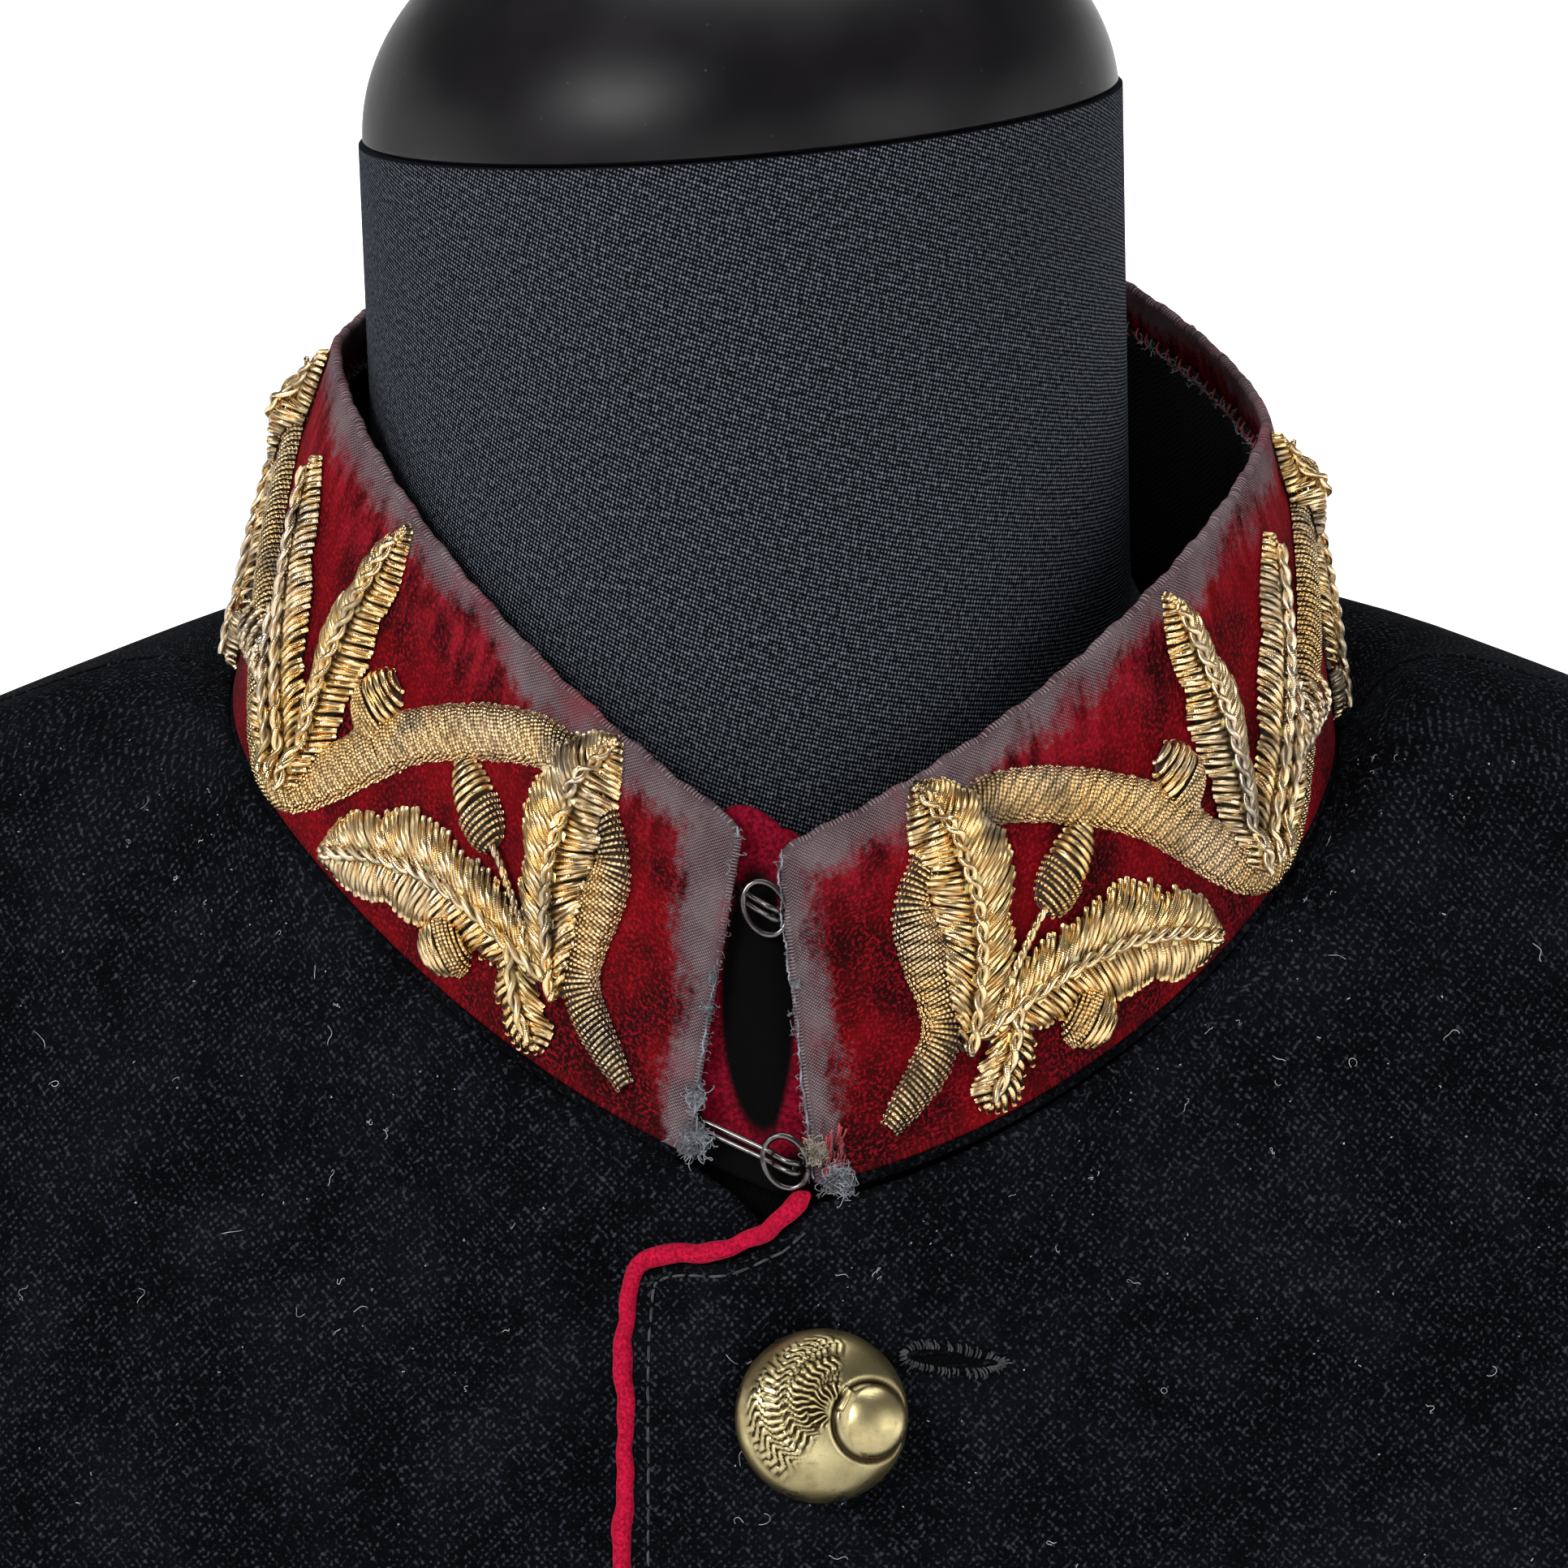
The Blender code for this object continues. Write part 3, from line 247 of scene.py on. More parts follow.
# Soft troughs and ridges of the body's cloth; depth below zero is a ridge.
# Columns: turn, row, lean (rows per degree), half_turn, half_row, depth
BODY_FOLDS = (
    (-34.0, 1.15, -0.016, 24.0, 0.16, 0.0010),
    (31.0, 1.35, 0.018, 22.0, 0.18, 0.0009),
    (-20.0, 0.75, -0.010, 14.0, 0.12, -0.0006),
    (24.0, 0.80, 0.012, 16.0, 0.12, -0.0006),
    (-58.0, 5.60, 0.030, 16.0, 0.30, 0.0026),
    (57.0, 5.80, -0.034, 17.0, 0.28, 0.0028),
    (-50.0, 6.60, 0.024, 20.0, 0.26, 0.0018),
    (52.0, 6.90, -0.022, 18.0, 0.30, 0.0020),
    (8.0, 6.20, -0.020, 16.0, 0.22, 0.0012),
    (-14.0, 7.40, 0.016, 20.0, 0.20, 0.0012),
    (62.0, 8.80, 0.006, 22.0, 0.14, 0.0028),
    (-66.0, 8.95, -0.007, 24.0, 0.15, 0.0030),
    (84.0, 9.25, 0.004, 26.0, 0.12, 0.0022),
    (-90.0, 8.60, 0.006, 26.0, 0.13, 0.0024),
    (30.0, 9.00, -0.005, 18.0, 0.12, 0.0014),
    (-28.0, 8.80, 0.006, 18.0, 0.12, 0.0014),
    (150.0, 8.90, 0.006, 26.0, 0.14, 0.0026),
    (-146.0, 8.70, -0.007, 24.0, 0.14, 0.0024),
    (168.0, 9.20, -0.004, 18.0, 0.12, 0.0018),
    (132.0, 5.90, 0.034, 18.0, 0.34, 0.0022),
    (-130.0, 6.10, -0.036, 17.0, 0.32, 0.0024),
    (160.0, 1.50, 0.010, 24.0, 0.16, 0.0012),
    (-162.0, 1.80, -0.012, 22.0, 0.18, 0.0010),
)
# Long soft flutes of the skirt below the waist.
# Columns: turn, half_turn, depth
SKIRT_FLUTES = (
    (38.0, 9.0, 0.0034),
    (-42.0, 10.0, 0.0030),
    (64.0, 8.0, -0.0026),
    (-70.0, 9.0, -0.0024),
    (128.0, 9.0, 0.0040),
    (-133.0, 9.0, 0.0042),
    (152.0, 8.0, -0.0028),
    (-155.0, 8.0, -0.0026),
)


# The serpentine stem's turning points.
# Columns: metres along the collar, metres up it
STEM_KEYS = (
    (0.0118, 0.0044),
    (0.0205, 0.0150),
    (0.0176, 0.0320),
    (0.0300, 0.0395),
    (0.0540, 0.0270),
    (0.0800, 0.0040),
    (0.1000, 0.0190),
    (0.1230, 0.0392),
    (0.1480, 0.0270),
    (0.1740, 0.0040),
    (0.1950, 0.0190),
    (0.2200, 0.0380),
)
# Leaves of one repeat; bow is the midrib's sideways rise at mid length.
# Columns: along, up, tip_along, tip_up, bow, half_width
LEAVES = (
    (0.0235, 0.0095, 0.0195, 0.0462, -0.0050, 0.0062),
    (0.0250, 0.0115, 0.0665, 0.0022, 0.0055, 0.0062),
    (0.0310, 0.0125, 0.0256, 0.0022, 0.0010, 0.0040),
    (0.0745, 0.0055, 0.0695, 0.0455, -0.0020, 0.0048),
    (0.0765, 0.0055, 0.0975, 0.0390, -0.0020, 0.0046),
    (0.0790, 0.0050, 0.0925, 0.0220, -0.0015, 0.0034),
)
# Acorns, each on a bent stalk.
# Columns: along, up, knee_along, knee_up, nut_along, nut_up, length, half_width
ACORNS = (
    (0.0290, 0.0145, 0.0350, 0.0205, 0.0418, 0.0253, 0.0112, 0.0036),
    (0.0320, 0.0125, 0.0372, 0.0105, 0.0425, 0.0055, 0.0086, 0.0032),
    (0.0735, 0.0070, 0.0685, 0.0140, 0.0637, 0.0250, 0.0108, 0.0036),
)
# An acorn from its cup to its tip.
# Columns: share of its length, share of its half width
ACORN_OUTLINE = (
    (0.00, 0.35),
    (0.06, 0.78),
    (0.20, 1.06),
    (0.42, 1.14),
    (0.47, 0.94),
    (0.60, 0.98),
    (0.80, 0.80),
    (0.93, 0.50),
    (1.00, 0.16),
)


def ease(value, low, high):
    """0 below low, 1 above high, smooth between; takes arrays."""
    share = np.clip((np.asarray(value, float) - low) / (high - low), 0.0, 1.0)
    return share * share * (3.0 - 2.0 * share)


def hermite(start, start_slope, end, end_slope, t):
    """A smooth step from start to end with a slope at each."""
    return (
        start * (2 * t**3 - 3 * t**2 + 1)
        + start_slope * (t**3 - 2 * t**2 + t)
        + end * (3 * t**2 - 2 * t**3)
        + end_slope * (t**3 - t**2)
    )


def spline(table, row):
    """The table's columns, last axis, on a smooth curve through its rows."""
    rows = np.asarray(table, float)
    last = len(rows) - 1
    row = np.asarray(row, float)
    i = np.clip(np.floor(row).astype(int), 0, last - 1)
    t = (row - i)[..., None]
    a, b = rows[i], rows[i + 1]
    before, after = rows[np.maximum(i - 1, 0)], rows[np.minimum(i + 2, last)]
    start = np.where((i > 0)[..., None], (b - before) / 2.0, b - a)
    end = np.where((i + 2 <= last)[..., None], (after - a) / 2.0, b - a)
    return hermite(a, start, b, end, t)


def unit(vectors):
    """The vectors at length 1."""
    vectors = np.asarray(vectors, float)
    return vectors / np.maximum(np.linalg.norm(vectors, axis=-1, keepdims=True), 1e-12)


def lengths_along(points):
    """Distance of each point along the line through them, from the first."""
    return np.concatenate(([0.0], np.cumsum(np.linalg.norm(np.diff(points, axis=0), axis=1))))


def sideways(ways):
    """Flat directions turned a quarter to their left."""
    return np.stack((-ways[:, 1], ways[:, 0]), axis=-1)


def turn_between(turn, centre):
    """Degrees from centre to turn, from -180 to 180."""
    return (turn - centre + 180.0) % 360.0 - 180.0


def halved(low, high, over):
    """Where over turns true between low and high, by halving."""
    for _ in range(HALVINGS):
        middle = (low + high) / 2
        past = over(middle)
        high = np.where(past, middle, high)
        low = np.where(past, low, middle)
    return (low + high) / 2


def ring_quads(index):
    """Faces between closed rings of vertex numbers, row by row."""
    turned = np.roll(index, -1, axis=1)
    return np.stack((index[:-1], turned[:-1], turned[1:], index[1:]), axis=-1).reshape(-1, 4)


def ring_point(ring, turn):
    """Points of a ring, or of one ring for each turn."""
    half_width, side_y, front_y, back_y, front_z, side_z, back_z, square, dip = np.moveaxis(
        np.asarray(ring, float), -1, 0
    )
    angle = np.radians(turn)
    c, s = np.cos(angle), np.sin(angle)
    x = half_width * (s + square * c * c * np.sin(3 * angle))
    tip = (1 - np.abs(s)) ** 1.5
    front = np.maximum(c, 0.0)
    rear = np.maximum(-c, 0.0)
    y_front = side_y + (front_y - side_y) * ((1 - ROUND_POINT) * front + ROUND_POINT * tip)
    z_front = side_z + (front_z - side_z) * ((1 - dip) * front**1.6 + dip * tip)
    y = np.where(c > 0, y_front, side_y + (back_y - side_y) * rear)
    z = np.where(c > 0, z_front, side_z + (back_z - side_z) * rear**1.6)
    return np.stack(np.broadcast_arrays(x, y, z), axis=-1)


def twisted(point, front_y, shear, tuck, amount=1.0):
    """The worn collar's twist: off centre, lower on the wearer's left, tucked in on the right."""
    x, y = point[..., 0], point[..., 1]
    slide = shear * (y - front_y)
    lean = NECK_LEAN * (x + slide)
    tucked = tuck * ease(y, TUCK_FRONT_Y, TUCK_BACK_Y) * ease(-x, 0.0, TUCK_SIDE_X)
    move = np.stack((FRONT_SHIFT + slide + tucked, np.zeros_like(x), -lean - TUCK_FALL * tucked), axis=-1)
    return point + np.asarray(amount)[..., None] * move


def body_base(turn, row):
    """Points of the tunic's outer surface with no creases."""
    turn, row = np.broadcast_arrays(np.asarray(turn, float), np.asarray(row, float))
    point = ring_point(spline(BODY_RINGS, row), turn)
    return twisted(point, BODY_RINGS[0][2], SEAM_SHEAR, SEAM_TUCK, 1.0 - ease(row, 0.0, 1.2))


def body_normal(turn, row):
    """Outward normals of the tunic's outer surface."""
    row = np.asarray(row, float)
    along = body_base(turn + 0.5, row) - body_base(turn - 0.5, row)
    down = body_base(turn, row + 0.05) - body_base(turn, np.maximum(row - 0.05, 0.0))
    return unit(np.cross(down, along))


def body_fold(turn, row):
    """Depth of the cloth's soft creases under the smooth surface."""
    turn = np.asarray(turn, float)
    depth = np.zeros(np.broadcast(turn, row).shape)
    for fold_turn, fold_row, lean, half_turn, half_row, reach in BODY_FOLDS:
        away = turn_between(turn, fold_turn)
        across = (row - fold_row - lean * away) / half_row
        depth = depth + reach * np.exp(-across**2 - (away / half_turn) ** 2)
    for flute_turn, half_turn, reach in SKIRT_FLUTES:
        away = turn_between(turn, flute_turn)
        depth = depth + reach * np.exp(-((away / half_turn) ** 2)) * ease(row, 9.2, 11.6)
    away = np.hypot((np.abs(turn) - 90.0) / ARMHOLE_HALF_TURN, (row - ARMHOLE_MIDDLE) / ARMHOLE_HALF)
    return depth * ease(row, 0.25, 0.8) * ease(away, 1.0, 1.35)


def body_point(turn, row, depth=0.0):
    """Points of the body's cloth, under its outer face by depth."""
    depth = np.asarray(depth, float) + body_fold(turn, row)
    return body_base(turn, row) - body_normal(turn, row) * depth[..., None]


def turn_at_x(x, row):
    """The turns at which the front of the body reaches those x, by halving."""
    x, row = np.broadcast_arrays(np.asarray(x, float), np.asarray(row, float))
    low, high = np.full(x.shape, -60.0), np.full(x.shape, 60.0)
    return halved(low, high, lambda turn: body_base(turn, row)[..., 0] > x)


def row_at_z(x, z):
    """The row at which the front of the body, at that x, reaches that height."""
    rows = np.linspace(0.0, HEM_ROW, 241)
    zs = body_base(turn_at_x(x, rows), rows)[:, 2]
    return float(np.interp(-z, -zs, rows))


def collar_edge(turn, top):
    """Points of the neck seam, or of the collar's top edge."""
    if top:
        return twisted(ring_point(COLLAR_TOP, turn), COLLAR_TOP[2], TOP_SHEAR, 0.0)
    return twisted(ring_point(BODY_RINGS[0], turn), BODY_RINGS[0][2], SEAM_SHEAR, SEAM_TUCK)


def collar_frame(turn):
    """Foot, rise and outward normal of the collar at each turn."""
    turn = np.asarray(turn, float)
    base = collar_edge(turn, False)
    up = collar_edge(turn, True) - base
    along = collar_edge(turn + 0.5, True) + collar_edge(turn + 0.5, False)
    along = along - collar_edge(turn - 0.5, True) - collar_edge(turn - 0.5, False)
    return base, up, unit(np.cross(along, up))


def collar_point(turn, share, depth=0.0):
    """Points of the collar: share 0 at the neck seam, 1 at the top; depth goes inwards."""
    base, up, normal = collar_frame(turn)
    share = np.asarray(share, float)
    bow = COLLAR_BOW * np.sin(math.pi * np.clip(share, 0.0, 1.0))
    out = (bow - depth)[..., None]
    return base + unit(up) * SEAM + up * share[..., None] + normal * out


def collar_end_turn(side, share):
    """The turns of the collar's front end at shares of its height."""
    low_x, high_x = LEFT_END_X if side > 0 else RIGHT_END_X
    share = np.asarray(share, float)
    target = low_x + (high_x - low_x) * share
    low, high = np.full(share.shape, -25.0), np.full(share.shape, 25.0)
    return halved(low, high, lambda turn: collar_point(turn, share)[..., 0] > target)


def collar_ruler(side):
    """Distances along the collar and their turns, from one front end to the centre back."""
    start = float(collar_end_turn(side, 0.5))
    turns = np.linspace(start, side * 180.0, 181)
    points = collar_point(turns, np.full(turns.shape, 0.5))
    return lengths_along(points), turns


RULERS = {side: collar_ruler(side) for side in (1, -1)}


def on_collar(side, along, up, height):
    """Points over the collar by distance along it, height on it and height over its face."""
    distances, turns = RULERS[side]
    turn = np.interp(along, distances, turns)
    return collar_point(turn, np.asarray(up) / COLLAR_HEIGHT, -np.asarray(height, float))


# Meshes
def finish_piece(name, verts, faces, material, uvs=None, smooth=True):
    """Links a mesh made from arrays as a piece that rides on the body."""
    mesh = bpy.data.meshes.new(name)
    mesh.from_pydata([tuple(v) for v in verts], [], [tuple(f) for f in faces])
    mesh.update()
    if uvs is not None:
        layer = mesh.uv_layers.new(name="Cloth")
        layer.data.foreach_set("uv", np.asarray(uvs, np.float32).ravel())
    if smooth:
        mesh.shade_smooth()
    mesh.materials.append(material)
    piece = bpy.data.objects.new(name, mesh)
    bpy.context.scene.collection.objects.link(piece)
    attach(piece, "root")
    return piece


def shell(name, outer, inner, uv, material, rim=4, mirrored=False):
    """A cloth wall between two grids of points, with round edges past its borders.

    outer and inner are rows by columns by 3; uv gives each place its metres along and down the cloth.
    """
    if mirrored:
        outer, inner, uv = outer[:, ::-1], inner[:, ::-1], uv[:, ::-1]
    rows, columns = outer.shape[:2]
    count = rows * columns
    index = np.arange(count).reshape(rows, columns)
    quads = np.stack((index[:-1, :-1], index[1:, :-1], index[1:, 1:], index[:-1, 1:]), axis=-1).reshape(-1, 4)
    faces = [quads, quads[:, ::-1] + count]
    uv_points = [uv.reshape(-1, 2), uv.reshape(-1, 2)]
    points = [outer.reshape(-1, 3), inner.reshape(-1, 3)]
    border = np.concatenate((index[:-1, 0], index[-1, :-1], index[:0:-1, -1], index[0, :0:-1]))
    flat_outer, flat_inner = points
    middle = (flat_outer[border] + flat_inner[border]) / 2
    half = (flat_outer[border] - flat_inner[border]) / 2
    tangent = unit(np.roll(middle, -1, axis=0) - np.roll(middle, 1, axis=0))
    away = unit(np.cross(tangent, half))
    reach = np.linalg.norm(half, axis=1, keepdims=True)
    total = count * 2
    loops = [border]
    for k in range(1, rim):
        angle = math.pi * k / rim
        points.append(middle + half * math.cos(angle) + away * reach * math.sin(angle))
        uv_points.append(uv.reshape(-1, 2)[border])
        loops.append(np.arange(total, total + len(border)))
        total += len(border)
    loops.append(border + count)
    for low, high in zip(loops, loops[1:]):
        faces.append(np.stack((low, high, np.roll(high, -1), np.roll(low, -1)), axis=-1))
    verts = np.concatenate(points)
    faces = np.concatenate(faces)
    uvs = np.concatenate(uv_points)[faces].reshape(-1, 2)
    return finish_piece(name, verts, faces, material, uvs)


def measured_uv(grid):
    """Metres along and down a grid of points, from its middle row and column."""
    rows, columns = grid.shape[:2]
    line, drop = grid[rows // 2], grid[:, columns // 2]
    return np.stack(np.meshgrid(lengths_along(line), lengths_along(drop)), axis=-1)


def pulled_in(grid, gaps):
    """The grid with its borders (t, b, l, r) moved in along the surface by the given gaps."""
    grid = grid.copy()
    lines = {
        "t": (grid[0], grid[1]),
        "b": (grid[-1], grid[-2]),
        "l": (grid[:, 0], grid[:, 1]),
        "r": (grid[:, -1], grid[:, -2]),
    }
    for side, gap in gaps.items():
        edge, inside = lines[side]
        step = inside - edge
        edge += unit(step) * np.minimum(gap, 0.8 * np.linalg.norm(step, axis=-1, keepdims=True))
    return grid


def tubes(name, paths, radii, material, sides=5, outs=None):
    """Round threads along many paths (threads by stations by 3), joined in one mesh.

    radii is one radius for each station or for all. UV is metres along the thread and a share round it.
    """
    paths = np.asarray(paths, float)
    threads, stations = paths.shape[:2]
    radii = np.broadcast_to(np.asarray(radii, float), (threads, stations))
    tangent = unit(np.gradient(paths, axis=1))
    if outs is None:
        outs = np.broadcast_to(np.array((0.31, -0.87, 0.38)), paths.shape)
    across = unit(np.cross(tangent, outs))
    over = np.cross(across, tangent)
    angles = 2 * math.pi * np.arange(sides) / sides
    ring = across[:, :, None] * np.cos(angles)[:, None] + over[:, :, None] * np.sin(angles)[:, None]
    verts = paths[:, :, None] + ring * radii[:, :, None, None]
    verts = verts.reshape(-1, 3)
    index = np.arange(threads * stations * sides).reshape(threads, stations, sides)
    low, high = index[:, :-1], index[:, 1:]
    quads = np.stack((low, high, np.roll(high, -1, axis=2), np.roll(low, -1, axis=2)), axis=-1)
    quads = quads[..., ::-1]
    length = np.concatenate(
        (np.zeros((threads, 1)), np.cumsum(np.linalg.norm(np.diff(paths, axis=1), axis=2), axis=1)), axis=1
    )
    start = np.arange(threads)[:, None] * 0.0137
    run = (length + start)[:, :, None] + np.zeros(sides)
    u_low, u_high = run[:, :-1], run[:, 1:]
    share = np.arange(sides) / sides + np.zeros_like(u_low)
    step = 1.0 / sides
    corner = [(u_low, share), (u_high, share), (u_high, share + step), (u_low, share + step)]
    uvs = np.stack([np.stack(pair, axis=-1) for pair in corner[::-1]], axis=-2)
    faces = [tuple(q) for q in quads.reshape(-1, 4)]
    uv_list = [uvs.reshape(-1, 2)]
    for end in (0, -1):
        caps = index[:, end] if end == 0 else index[:, end, ::-1]
        faces.extend(tuple(c) for c in caps)
        uv_list.append(np.repeat(run[:, end, :1], sides, axis=1).reshape(-1)[:, None] * (1.0, 0.0))
    return finish_piece(name, verts, faces, material, np.concatenate(uv_list))


# Finishes
def shaded(colour, *shares):
    """A colour with its channels scaled, by one share or by three."""
    return tuple(c * s for c, s in zip(colour, shares * (3 // len(shares))))


class Finish:
    """A material whose nodes are added one by one."""

    def __init__(self, name, colour, roughness, metallic=0.0, **sockets):
        self.material = bpy.data.materials.new(name)
        self.material.use_nodes = True
        self.tree = self.material.node_tree
        self.shader = self.tree.nodes["Principled BSDF"]
        self.shader.inputs["Base Color"].default_value = (*colour, 1.0)
        self.shader.inputs["Roughness"].default_value = roughness
        self.shader.inputs["Metallic"].default_value = metallic
        for socket, value in sockets.items():
            self.shader.inputs[socket.replace("_", " ")].default_value = value

    def put(self, target, value):
        """Links a socket, or sets its value."""
        if isinstance(value, bpy.types.NodeSocket):
            self.tree.links.new(value, target)
        elif target.type == "RGBA":
            target.default_value = (*value, 1.0)
        else:
            target.default_value = value

    def uv(self):
        """The cloth's own metres."""
        node = self.tree.nodes.new("ShaderNodeUVMap")
        node.uv_map = "Cloth"
        return node.outputs[0]

    def place(self):
        """Object coordinates, in metres."""
        return self.tree.nodes.new("ShaderNodeTexCoord").outputs["Object"]

    def scaled(self, vector, scale, turn=0.0):
        """A vector scaled and turned about Z."""
        node = self.tree.nodes.new("ShaderNodeMapping")
        node.inputs["Scale"].default_value = scale
        node.inputs["Rotation"].default_value = (0.0, 0.0, math.radians(turn))
        self.put(node.inputs["Vector"], vector)
        return node.outputs[0]

    def parts(self, vector):
        """A vector's x, y and z."""
        node = self.tree.nodes.new("ShaderNodeSeparateXYZ")
        self.put(node.inputs[0], vector)
        return node.outputs[0], node.outputs[1], node.outputs[2]

    def math(self, operation, a, b=0.0):
        """One sum."""
        node = self.tree.nodes.new("ShaderNodeMath")
        node.operation = operation
        for target, value in zip(node.inputs, (a, b)):
            self.put(target, value)
        return node.outputs[0]

    def noise(self, vector, scale, detail=2.0, rough=0.5):
        """Soft noise; scale is its cells per metre."""
        node = self.tree.nodes.new("ShaderNodeTexNoise")
        self.put(node.inputs["Vector"], vector)
        node.inputs["Scale"].default_value = scale
        node.inputs["Detail"].default_value = detail
        node.inputs["Roughness"].default_value = rough
        return node.outputs[0]

    def cells(self, vector, scale):
        """Distance to scattered points; scale is points per metre."""
        node = self.tree.nodes.new("ShaderNodeTexVoronoi")
        self.put(node.inputs["Vector"], vector)
        node.inputs["Scale"].default_value = scale
        return node.outputs["Distance"]

    def span(self, value, low, high, to_low=0.0, to_high=1.0):
        """A value eased from one range to another and held at the ends."""
        node = self.tree.nodes.new("ShaderNodeMapRange")
        node.interpolation_type = "SMOOTHSTEP"
        for target, number in zip(node.inputs, (value, low, high, to_low, to_high)):
            self.put(target, number)
        return node.outputs[0]

    def mix(self, share, a, b):
        """A colour between two."""
        node = self.tree.nodes.new("ShaderNodeMix")
        node.data_type = "RGBA"
        self.put(node.inputs[0], share)
        self.put(node.inputs[6], a)
        self.put(node.inputs[7], b)
        return node.outputs[2]

    def bump(self, height, distance, strength=1.0, normal=None):
        """A bump of so many metres."""
        node = self.tree.nodes.new("ShaderNodeBump")
        node.inputs["Strength"].default_value = strength
        node.inputs["Distance"].default_value = distance
        self.put(node.inputs["Height"], height)
        if normal is not None:
            self.put(node.inputs["Normal"], normal)
        return node.outputs[0]

    def finish(self, colour=None, roughness=None, normal=None):
        """Joins the results to the shader."""
        for socket, value in (("Base Color", colour), ("Roughness", roughness), ("Normal", normal)):
            if value is not None:
                self.put(self.shader.inputs[socket], value)
        return self.material


def woven(f, vector, pitch_x, pitch_y, bend=0.25):
    """Over and under of a plain weave, about -1 to 1, with yarns that wander."""
    drift = f.noise(vector, 420.0, 2.0)
    x, y, _ = f.parts(vector)
    wander = f.math("MULTIPLY", f.math("SUBTRACT", drift, 0.5), bend * 12.0)
    across = f.math("SINE", f.math("ADD", f.math("MULTIPLY", x, 2 * math.pi / pitch_x), wander))
    down = f.math("SINE", f.math("ADD", f.math("MULTIPLY", y, 2 * math.pi / pitch_y), wander))
    return f.math("MULTIPLY", across, down)


def wool_finish():
    """Black melton: a felted plain weave with pale flecks and a soft nap."""
    f = Finish("felted wool", (0.003, 0.0032, 0.0042), 0.98)
    f.shader.inputs["Specular IOR Level"].default_value = 0.02
    uv = f.uv()
    weave = woven(f, uv, 0.00118, 0.00118)
    fleck = f.noise(f.place(), 1500.0, 1.0, 0.6)
    felt = f.noise(f.place(), 60.0, 3.0, 0.6)
    shown = f.math("ADD", fleck, f.math("MULTIPLY", weave, 0.15))
    shown = f.math("ADD", shown, f.math("MULTIPLY", f.math("SUBTRACT", felt, 0.5), 0.09))
    pale = f.span(shown, 0.52, 0.86)
    dark = f.mix(f.span(felt, 0.35, 0.70), (0.0016, 0.0017, 0.0022), (0.0036, 0.0039, 0.0052))
    dust = f.cells(f.place(), 260.0)
    dust = f.math("MULTIPLY", f.span(dust, 0.05, 0.02), f.span(f.noise(f.place(), 90.0), 0.50, 0.62))
    colour = f.mix(pale, dark, (0.030, 0.034, 0.044))
    colour = f.mix(f.math("MULTIPLY", dust, 0.4), colour, (0.16, 0.17, 0.18))
    height = f.math("ADD", f.math("MULTIPLY", weave, 0.5), f.math("MULTIPLY", fleck, 1.2))
    soft = f.bump(f.noise(f.place(), 240.0, 3.0), 0.00025, 0.5)
    return f.finish(colour, None, f.bump(height, 0.00012, 0.7, soft))


